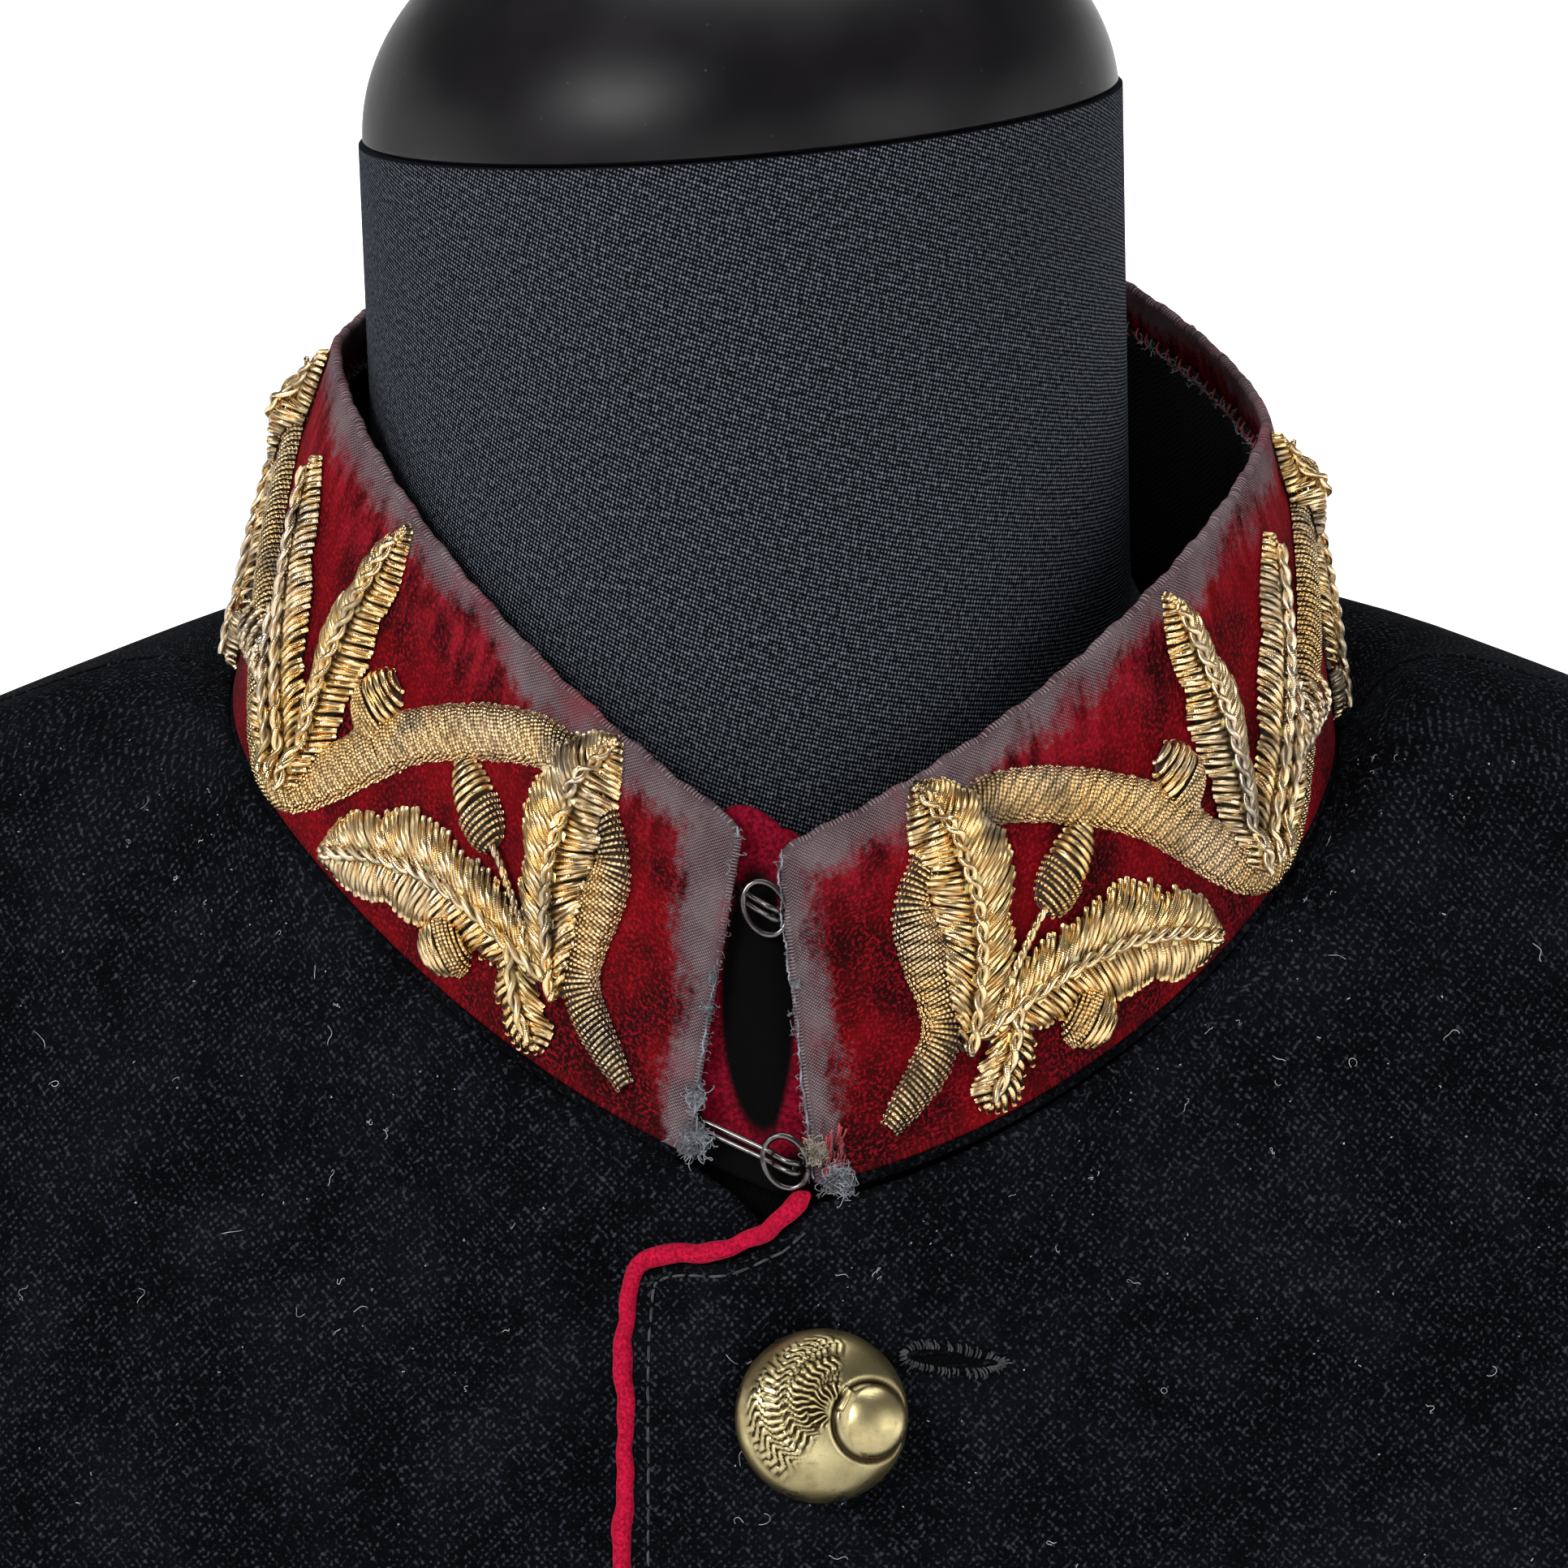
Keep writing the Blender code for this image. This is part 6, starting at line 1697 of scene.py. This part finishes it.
def cast_button(name, z, rings, spokes):
    """A domed brass button with a smooth ball and a fan of wavy flames."""
    centre, across, up, out, turn, row = front_frame(BUTTON_X, z)
    around = math.pi * np.arange(8) / 4
    rim, _ = on_front(turn, row, BUTTON_RADIUS * np.cos(around), BUTTON_RADIUS * np.sin(around), 0.0)
    seat = centre + out * (3 * SEAM + float(np.max((rim - centre) @ out)))
    bpy.ops.object.select_all(action="DESELECT")
    bpy.ops.mesh.primitive_circle_add(vertices=spokes, radius=BUTTON_RADIUS * 0.93, fill_type="NGON")
    button = bpy.context.object
    button.name = name
    bpy.ops.object.mode_set(mode="EDIT")
    bpy.ops.mesh.select_all(action="SELECT")
    bpy.ops.mesh.flip_normals()
    bpy.ops.mesh.extrude_region_move(TRANSFORM_OT_translate={"value": (0.0, 0.0, 0.0005)})
    bpy.ops.transform.resize(value=(1.0 / 0.93, 1.0 / 0.93, 1.0), center_override=(0.0, 0.0, 0.0005))
    bpy.ops.mesh.extrude_region_move(TRANSFORM_OT_translate={"value": (0.0, 0.0, 0.0008)})
    for k in range(rings):
        low, high = 1.0 - k / rings, 1.0 - (k + 0.985 if k == rings - 1 else k + 1.0) / rings
        bpy.ops.mesh.extrude_region_move(TRANSFORM_OT_translate={"value": (0.0, 0.0, 0.0)})
        bpy.ops.transform.resize(value=(high / low, high / low, 1.0), center_override=(0.0, 0.0, 0.0013))
    bpy.ops.mesh.select_all(action="SELECT")
    bpy.ops.mesh.normals_make_consistent(inside=False)
    bpy.ops.object.mode_set(mode="OBJECT")
    mesh = button.data
    points = np.empty(len(mesh.vertices) * 3)
    mesh.vertices.foreach_get("co", points)
    points = points.reshape(-1, 3)
    x, y, z_flat = points.T
    domed = z_flat > 0.00125
    rise, depth = button_relief(x, y)
    rise = rise * (1 - ease(np.hypot(x, y), 0.0104, 0.0112))
    lifted = np.where(domed, z_flat + dome_height(x, y) + rise, z_flat)
    world = seat + across * x[:, None] + up * y[:, None] + out * lifted[:, None]
    mesh.vertices.foreach_set("co", world.ravel())
    attribute = mesh.attributes.new("depth", "FLOAT", "POINT")
    # The rim and sides below the dome get a low value, which the brass paints dark.
    attribute.data.foreach_set("value", np.where(domed, depth, 0.15).astype(np.float32))
    mesh.update()
    ball_height = 0.0013 + float(dome_height(*BALL_PLACE))
    bpy.ops.object.select_all(action="DESELECT")
    bpy.ops.mesh.primitive_uv_sphere_add(segments=40, ring_count=24, radius=BALL_RADIUS)
    ball = bpy.context.object
    ball_points = np.empty(len(ball.data.vertices) * 3)
    ball.data.vertices.foreach_get("co", ball_points)
    ball_points = ball_points.reshape(-1, 3) * (1.0, 1.0, 0.62) + (*BALL_PLACE, ball_height - 0.0016)
    world = seat + across * ball_points[:, :1] + up * ball_points[:, 1:2] + out * ball_points[:, 2:]
    ball.data.vertices.foreach_set("co", world.ravel())
    attribute = ball.data.attributes.new("depth", "FLOAT", "POINT")
    attribute.data.foreach_set("value", np.full(len(ball_points), 0.60, np.float32))
    button.select_set(True)
    bpy.context.view_layer.objects.active = button
    bpy.ops.object.join()
    button.data.materials.clear()
    button.data.materials.append(BRASS)
    button.data.shade_smooth()
    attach(button, "root")
    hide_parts(name)
    return button


for index in range(BUTTON_COUNT):
    rings, spokes = (60, 128) if index == 0 else (30, 80)
    cast_button(f"button_{index + 1}", BUTTON_TOP_Z - index * BUTTON_PITCH, rings, spokes)


def worn_buttonhole(index):
    """A buttonhole beside each button: a slit painted as a near-black shadow, raised lips and worn stitches
    round it.
    """
    z = BUTTON_TOP_Z - index * BUTTON_PITCH
    _, _, _, _, turn, row = front_frame(BUTTON_X + 0.0172, z + 0.0056)
    around = np.linspace(0.0, 2 * math.pi, 49)[:-1]
    half, tall = 0.0066, 0.0013
    x = half * np.cos(around)
    y = tall * np.sin(around) * (1 - 0.25 * np.cos(around)) - 0.0004 * np.cos(around)
    rim, outs = on_front(turn, row, x, y, 0.00035)
    loop, outs = np.concatenate((rim, rim[:1])), np.concatenate((outs, outs[:1]))
    lips = tubes(f"buttonhole_lips_{index + 1}", [loop], 0.00062, WOOL, sides=8, outs=[outs])
    slit_x = np.linspace(-0.92, 0.92, 20)
    rows = np.linspace(-1.0, 1.0, 5)[:, None]
    sx = half * slit_x + 0 * rows
    sy = tall * 0.85 * np.sqrt(1 - slit_x**2) * rows - 0.0012 * slit_x
    top, _ = on_front(turn, row, sx, sy[::-1], 0.00025)
    low, _ = on_front(turn, row, sx, sy[::-1], 0.00005)
    uv = np.stack((sx, sy), axis=-1)
    # Painted shadow: the slit is a near-black sheet.
    slit = shell(f"buttonhole_slit_{index + 1}", top, low, uv, SLIT_SHADOW, rim=2)
    count = 96
    a = np.linspace(0.0, 2 * math.pi, count + 1)[:-1] + RNG.normal(size=count) * 0.05
    share = np.linspace(0.0, 1.0, 6)
    reach = 0.0003 + 0.0004 * np.abs(RNG.normal(size=count))
    inner_x = half * 0.95 * np.cos(a)
    inner_y = tall * 0.75 * np.sin(a) * (1 - 0.35 * np.cos(a)) - 0.0012 * np.cos(a)
    way = unit(np.stack((np.cos(a) * 0.5, np.sin(a)), axis=-1))
    px = inner_x[:, None] + way[:, :1] * (reach[:, None] + 0.0006) * share
    py = inner_y[:, None] + way[:, 1:] * (reach[:, None] + 0.0006) * share
    height = 0.0003 + 0.0010 * np.sin(math.pi * share * 0.95)
    points, outs = on_front(turn, row, px, py, height + 0 * px)
    stitches = tubes(f"buttonhole_stitches_{index + 1}", points, 0.00010, SEWING, sides=4, outs=outs)


for index in range(BUTTON_COUNT):
    worn_buttonhole(index)


# Hooks and eyes of the collar
def bent_wire(name, paths, radius):
    """Round wires along smooth lines through a few points each."""
    lines = []
    for path in paths:
        lines.append(spline(path, np.linspace(0.0, len(path) - 1.0, 64)))
    piece = tubes(name, lines, radius, WIRE, sides=10)
    return piece


def hook_and_eye(end, share):
    """A ring sewn to the wearer's left collar end and a double hook from the right through it."""
    left_x = LEFT_END_X[0] + (LEFT_END_X[1] - LEFT_END_X[0]) * share
    right_x = RIGHT_END_X[0] + (RIGHT_END_X[1] - RIGHT_END_X[0]) * share
    turn = float(turn_at_x((left_x + right_x) / 2, 0.0))
    centre = collar_point(np.array(turn), np.array(share), VELVET_WALL / 2)
    up = unit(collar_point(np.array(turn), np.array(share + 0.1)) - centre)
    ahead, behind = (collar_point(np.array(turn + step), np.array(share)) for step in (1.0, -1.0))
    across = unit(ahead - behind)
    out = np.cross(across, up)
    eye = centre + across * (left_x - EYE_RING - centre[0])
    angles = np.linspace(0.0, 2 * math.pi, 49)[:-1]
    ring_across = unit(across + (0.7, 0.0, 0.0))
    ring = [eye + EYE_RING * (ring_across * math.cos(a) + up * 1.12 * math.sin(a)) for a in angles]
    loop = np.concatenate((ring, ring[:1]))
    outs = np.broadcast_to(out, (1, *loop.shape))
    eye_piece = tubes(f"eye_{end}", [loop], 0.00048, WIRE, sides=10, outs=outs)
    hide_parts(f"eye_{end}")
    reach = eye[0] - right_x
    strands = []
    for lift in (-0.00052, 0.00052):
        flat = (
            (-reach - 0.0040, -0.0022),
            (-reach - 0.0010, -0.0021),
            (-reach + 0.0006, -0.0012),
            (-0.0026, 0.0004),
            (-0.0010, 0.0014),
            (0.0008, 0.0019),
            (0.0019, 0.0014),
            (0.0021, 0.0004),
            (0.0012, -0.0004),
        )
        spread = np.where(np.arange(len(flat)) < 7, 1.25, 0.8)
        strands.append([eye + across * x + out * y + up * lift * wide for (x, y), wide in zip(flat, spread)])
    hook_piece = bent_wire(f"hook_{end}", strands, 0.00040)
    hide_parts(f"hook_{end}")


hook_and_eye("top", 0.80)
hook_and_eye("low", 0.10)


# Frayed threads, fluff and lint
def wandering(starts, ways, lengths, wobble):
    """Loose fibres that set out along their ways and wander."""
    share = np.linspace(0.0, 1.0, 9)
    swings = RNG.normal(size=(len(starts), 3, 3))
    stray = sum(
        swings[:, None, k] * np.sin(math.pi * (k + 1) * share)[None, :, None] / (k + 1) for k in range(3)
    )
    straight = starts[:, None] + ways[:, None] * (lengths[:, None] * share)[..., None]
    return straight + stray * (wobble * lengths)[:, None, None]


def collar_end(side, share, depth):
    """A place on the collar's front edge, and the ways out of its end and out of its face."""
    turn = collar_end_turn(side, share)
    place = collar_point(turn, share, depth)
    out = unit(place - collar_point(turn + side * 1.0, share, depth))
    face = unit(place - collar_point(turn, share, depth + 0.001))
    return place, out, face


def fluff(name, side, share, reach, count, material, aside=0.0, lift=0.0003):
    """A knot of curled fibres at the collar's front edge."""
    place, out, face = collar_end(side, np.array(share), 0.0)
    starts = place + out * aside + face * lift + RNG.normal(size=(count, 3)) * reach * (0.45, 0.30, 0.55)
    ways = unit(RNG.normal(size=(count, 3)))
    paths = wandering(starts, ways, reach * (0.6 + 0.9 * RNG.random(count)), 0.30)
    tubes(name, paths, FLUFF_RADIUS, material, sides=3)


def frayed_ends():
    """Threads worn loose down both front edges of the collar."""
    for side, hand in ((1, "left"), (-1, "right")):
        share = np.linspace(0.985, 0.02, 170)
        place, out, face = collar_end(side, share, 0.00015)
        stray = np.cumsum(RNG.normal(size=(170, 2)), axis=0)
        stray = (stray - np.linspace(stray[0], stray[-1], 170)) * 0.00009
        line = place + out * (0.00012 + np.abs(stray[:, :1])) + face * (0.0001 + stray[:, 1:] * 0.5)
        thick = 0.00005 + 0.00010 * np.abs(np.sin(np.cumsum(RNG.normal(size=170)) * 0.35))
        tubes(f"edge_thread_{hand}", [line], thick, FRAY, sides=5)
        share = RNG.uniform(0.02, 0.98, 150)
        place, out, face = collar_end(side, share, RNG.uniform(0.0, VELVET_WALL * 0.8, 150))
        ways = unit(out * 0.55 + face * 0.25 + RNG.normal(size=(150, 3)) * 0.8)
        paths = wandering(place + out * 0.0001, ways, RNG.uniform(0.0004, 0.0014, 150), 0.28)
        tubes(f"edge_fibres_{hand}", paths, FIBRE_RADIUS, FRAY, sides=3)
    fluff("fluff_right_1", -1, 0.52, 0.00045, 60, FRAY)
    fluff("fluff_right_2", -1, 0.43, 0.00050, 60, FRAY)
    fluff("fluff_right_3", -1, 0.17, 0.00110, 130, FRAY, 0.0004)
    fluff("fluff_right_4", -1, 0.05, 0.00160, 200, FRAY, 0.0010)
    fluff("fluff_left_1", 1, 0.58, 0.00040, 50, FRAY)
    fluff("fluff_left_2", 1, 0.09, 0.00120, 170, BEIGE_THREAD, -0.0004, 0.0008)
    fluff("fluff_left_3", 1, 0.00, 0.00150, 220, FRAY, -0.0030, 0.0006)
    share = RNG.uniform(0.0, 0.11, 34)
    place, out, face = collar_end(1, share, 0.0)
    starts = place - out * RNG.uniform(0.0012, 0.0036, 34)[:, None] + face * 0.0002
    ways = unit(np.array((0.25, -0.10, 0.95)) + RNG.normal(size=(34, 3)) * 0.08)
    paths = wandering(starts, ways, np.full(34, 0.0026), 0.03)
    tubes("red_threads", paths, 0.00011, RED_THREAD)


def lint(name, count, turns, rows, longest, radius):
    """Curled pale fibres caught on the cloth."""
    turn = RNG.uniform(*turns, count)
    turn = np.where((turn > -17.0) & (turn < 0.0), turn + 17.0, turn)[:, None]
    row = RNG.uniform(*rows, count)[:, None]
    share = np.linspace(0.0, 1.0, 10)
    bend = RNG.uniform(0.0, 6.3, (count, 1)) + RNG.normal(size=(count, 1)) * 4.0 * share
    bend = bend + RNG.normal(size=(count, 1)) * 1.2 * np.sin(7.0 * share)
    step = longest * RNG.uniform(0.35, 1.0, (count, 1)) / 9.0
    turn = turn + np.cumsum(np.cos(bend) * step, axis=1) / 0.0021
    row = row + np.cumsum(np.sin(bend) * step, axis=1) / 0.036
    lift = 0.00018 + radius + 0.00025 * np.sin(math.pi * share) * RNG.random((count, 1))
    points = body_point(turn, row, -lift)
    tubes(name, points, radius, LINT, sides=3, outs=body_normal(turn, row))


def neck_welt():
    """The cloth's turned edge that fills the neck seam under the collar."""
    left_end, right_end = (float(collar_end_turn(side, np.array(0.0))) for side in (1, -1))
    turns = np.linspace(left_end + 1.0, 359.0 + right_end, 260)
    line = collar_point(turns, np.full(260, -0.012), VELVET_WALL * 0.5)
    _, _, normal = collar_frame(turns)
    piece = tubes("neck_welt", [line], 0.0008, WOOL, sides=12, outs=normal[None])


def lining_edge():
    """The lining's ragged upper edge inside the collar, felled down with red stitches."""
    top = 1.0 - LINING_DROP / COLLAR_HEIGHT
    inside = VELVET_WALL + LINING_WALL + 2 * SEAM
    turn = RNG.uniform(14.0, 346.0, 620)
    starts = collar_point(turn, top + RNG.normal(size=620) * 0.006, inside)
    _, up, normal = collar_frame(turn)
    ways = unit(unit(up) * 0.8 - normal * 0.5 + RNG.normal(size=(620, 3)) * 0.7)
    paths = wandering(starts, ways, RNG.uniform(0.0006, 0.0016, 620), 0.25)
    tubes("lining_fibres", paths, 0.00008, FRAY, sides=3)
    turn = np.linspace(16.0, 344.0, 150) + RNG.normal(size=150) * 0.35
    share = np.linspace(-0.5, 0.5, 6)
    slant = turn[:, None] + share * 0.7
    height = top + 0.012 + share * 0.045 + 0 * slant
    lift = inside - 0.0006 + 0.0009 * np.sin(math.pi * (share + 0.5)) + 0 * slant
    stitches = collar_point(slant, height, lift)
    tubes("lining_stitches", stitches, 0.00014, RED_THREAD, sides=5)


neck_welt()
lining_edge()
frayed_ends()
lint("lint_front", 120, (-75.0, 75.0), (0.35, 3.2), 0.0036, FIBRE_RADIUS)
lint("lint_specks", 320, (-80.0, 80.0), (0.35, 3.6), 0.00045, 0.00008)
lint("lint_lower", 40, (-70.0, 70.0), (7.5, 11.6), 0.0036, FIBRE_RADIUS)
lint("lint_back", 50, (115.0, 245.0), (0.5, 3.2), 0.0036, FIBRE_RADIUS)


# The cap and the stand
def pick_edges(piece, wanted):
    """In edit mode, with only the edges selected whose two ends pass a test."""
    bpy.ops.object.mode_set(mode="EDIT")
    bpy.ops.mesh.select_mode(type="EDGE")
    bpy.ops.mesh.select_all(action="DESELECT")
    bpy.ops.object.mode_set(mode="OBJECT")
    for edge in piece.data.edges:
        edge.select = wanted(*(piece.data.vertices[k].co for k in edge.vertices))
    bpy.ops.object.mode_set(mode="EDIT")


def lacquer_cap():
    """The lacquered cap of the neck: a low dome with a rounded rim."""
    bpy.ops.object.select_all(action="DESELECT")
    bpy.ops.mesh.primitive_uv_sphere_add(segments=128, ring_count=96, radius=1.0)
    cap = bpy.context.object
    cap.name = "neck_cap"
    bpy.ops.object.mode_set(mode="EDIT")
    bpy.ops.mesh.select_all(action="SELECT")
    bpy.ops.mesh.bisect(plane_co=(0.0, 0.0, 0.02), plane_no=(0.0, 0.0, 1.0), use_fill=True, clear_inner=True)
    bpy.ops.mesh.select_all(action="SELECT")
    bpy.ops.transform.resize(value=(CAP_RADIUS, CAP_RADIUS, CAP_HEIGHT), center_override=(0.0, 0.0, 0.0))
    bpy.ops.object.mode_set(mode="OBJECT")
    pick_edges(cap, lambda a, b: max(a.z, b.z) < 0.02 * CAP_HEIGHT + 1e-6)
    bpy.ops.mesh.bevel(offset=0.0009, segments=4, affect="EDGES")
    bpy.ops.mesh.select_all(action="SELECT")
    bpy.ops.transform.translate(value=(0.0, 0.0, -0.02 * CAP_HEIGHT))
    bpy.ops.object.mode_set(mode="OBJECT")
    place = Matrix.Translation((0.0, NECK_Y, NECK_TOP + SEAM))
    tilt = Matrix.Rotation(-math.atan(CAP_ROLL), 4, "Y") @ Matrix.Rotation(math.atan(CAP_PITCH), 4, "X")
    cap.data.transform(place @ tilt)
    cap.data.materials.append(LACQUER)
    bpy.ops.object.shade_smooth_by_angle(angle=math.radians(40.0))
    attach(cap, "root")
    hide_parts("neck_cap")
    return cap


def turned_stand():
    """The pole and the round base, their edges rounded."""
    for name, radius, foot, top, bevel in (
        ("pole", POLE_RADIUS, BASE_HEIGHT + SEAM, FORM_BOTTOM_Z - SEAM, 0.0012),
        ("base", BASE_RADIUS, 0.0, BASE_HEIGHT, 0.0035),
    ):
        bpy.ops.object.select_all(action="DESELECT")
        bpy.ops.mesh.primitive_cylinder_add(
            vertices=128, radius=radius, depth=top - foot, location=(0.0, 0.0, (top + foot) / 2)
        )
        piece = bpy.context.object
        piece.name = name
        bpy.ops.object.transform_apply(location=True, rotation=True, scale=True)
        pick_edges(piece, lambda a, b: abs(a.z - b.z) < 1e-6)
        bpy.ops.mesh.bevel(offset=bevel, segments=5, affect="EDGES")
        bpy.ops.object.mode_set(mode="OBJECT")
        piece.data.materials.append(PAINT)
        bpy.ops.object.shade_smooth_by_angle(angle=math.radians(35.0))
        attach(piece, "root")
        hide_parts(name)


lacquer_cap()
turned_stand()


# The studio
def studio_floor():
    """A round pale floor whose rim curves up into a low wall."""
    bpy.ops.object.select_all(action="DESELECT")
    bpy.ops.mesh.primitive_circle_add(vertices=96, radius=STUDIO_RADIUS, fill_type="NGON")
    floor = bpy.context.object
    floor.name = "studio_floor"
    bpy.ops.object.mode_set(mode="EDIT")
    bpy.ops.mesh.select_all(action="SELECT")
    bpy.ops.mesh.extrude_region_move(TRANSFORM_OT_translate={"value": (0.0, 0.0, WALL_HEIGHT)})
    bpy.ops.mesh.delete(type="ONLY_FACE")
    bpy.ops.object.mode_set(mode="OBJECT")
    pick_edges(floor, lambda a, b: max(a.z, b.z) < 0.1)
    bpy.ops.mesh.bevel(offset=WALL_CURVE, segments=16, affect="EDGES")
    bpy.ops.mesh.select_all(action="SELECT")
    bpy.ops.mesh.normals_make_consistent(inside=True)
    bpy.ops.object.mode_set(mode="OBJECT")
    f = Finish("pale studio paper", (0.86, 0.86, 0.86), 0.9)
    cloud = f.noise(f.place(), 1.4, 2.0)
    floor.data.materials.append(f.finish(f.mix(cloud, (0.84, 0.84, 0.845), (0.88, 0.88, 0.885))))
    bpy.ops.object.shade_smooth_by_angle(angle=math.radians(30.0))


def soft_light(name, place, aim, size, power, spread=180.0):
    """A large soft light; spread is how many degrees its beam opens."""
    data = bpy.data.lights.new(name, "AREA")
    data.shape = "SQUARE"
    data.size = size
    data.energy = power
    data.spread = math.radians(spread)
    light = bpy.data.objects.new(name, data)
    light.location = place
    light.rotation_euler = (Vector(aim) - Vector(place)).to_track_quat("-Z", "Y").to_euler()
    bpy.context.scene.collection.objects.link(light)


studio_floor()
for light_values in LIGHTS:
    soft_light(*light_values)
for turn in (0.0, 90.0, 180.0, 270.0):
    x = FLOOR_LIGHT_REACH * math.sin(math.radians(turn))
    y = FLOOR_LIGHT_REACH * math.cos(math.radians(turn))
    place, aim = (x, y, FLOOR_LIGHT_HEIGHT), (x, y + 0.001, 0.0)
    soft_light(f"floor light {turn:.0f}", place, aim, 4.5, 300.0, 105.0)
world = bpy.data.worlds.new("soft studio")
world.use_nodes = True
world.node_tree.nodes["Background"].inputs[0].default_value = (1.0, 1.0, 1.0, 1.0)
world.node_tree.nodes["Background"].inputs[1].default_value = WORLD_STRENGTH
bpy.context.scene.world = world


# The camera
def photo_camera():
    """The camera at the photograph's place, turn and framing."""
    turn, rise, roll = (math.radians(v) for v in (VIEW_TURN, VIEW_RISE, VIEW_ROLL))
    back = Vector((math.sin(turn) * math.cos(rise), -math.cos(turn) * math.cos(rise), math.sin(rise)))
    right = Vector((0.0, 0.0, 1.0)).cross(back).normalized()
    up = back.cross(right)
    rolled_right = right * math.cos(roll) + up * math.sin(roll)
    rolled_up = up * math.cos(roll) - right * math.sin(roll)
    data = bpy.data.cameras.new("photo camera")
    data.sensor_width = SENSOR_MM
    data.sensor_fit = "HORIZONTAL"
    data.lens = FOCAL_IN_PIXELS / IMAGE_PIXELS * SENSOR_MM
    data.clip_start = 0.01
    camera = bpy.data.objects.new("photo camera", data)
    axes = Matrix((rolled_right, rolled_up, back)).transposed().to_4x4()
    camera.matrix_world = Matrix.Translation(Vector(VIEW_AIM) + back * VIEW_DISTANCE) @ axes
    bpy.context.scene.collection.objects.link(camera)
    bpy.context.scene.camera = camera


photo_camera()
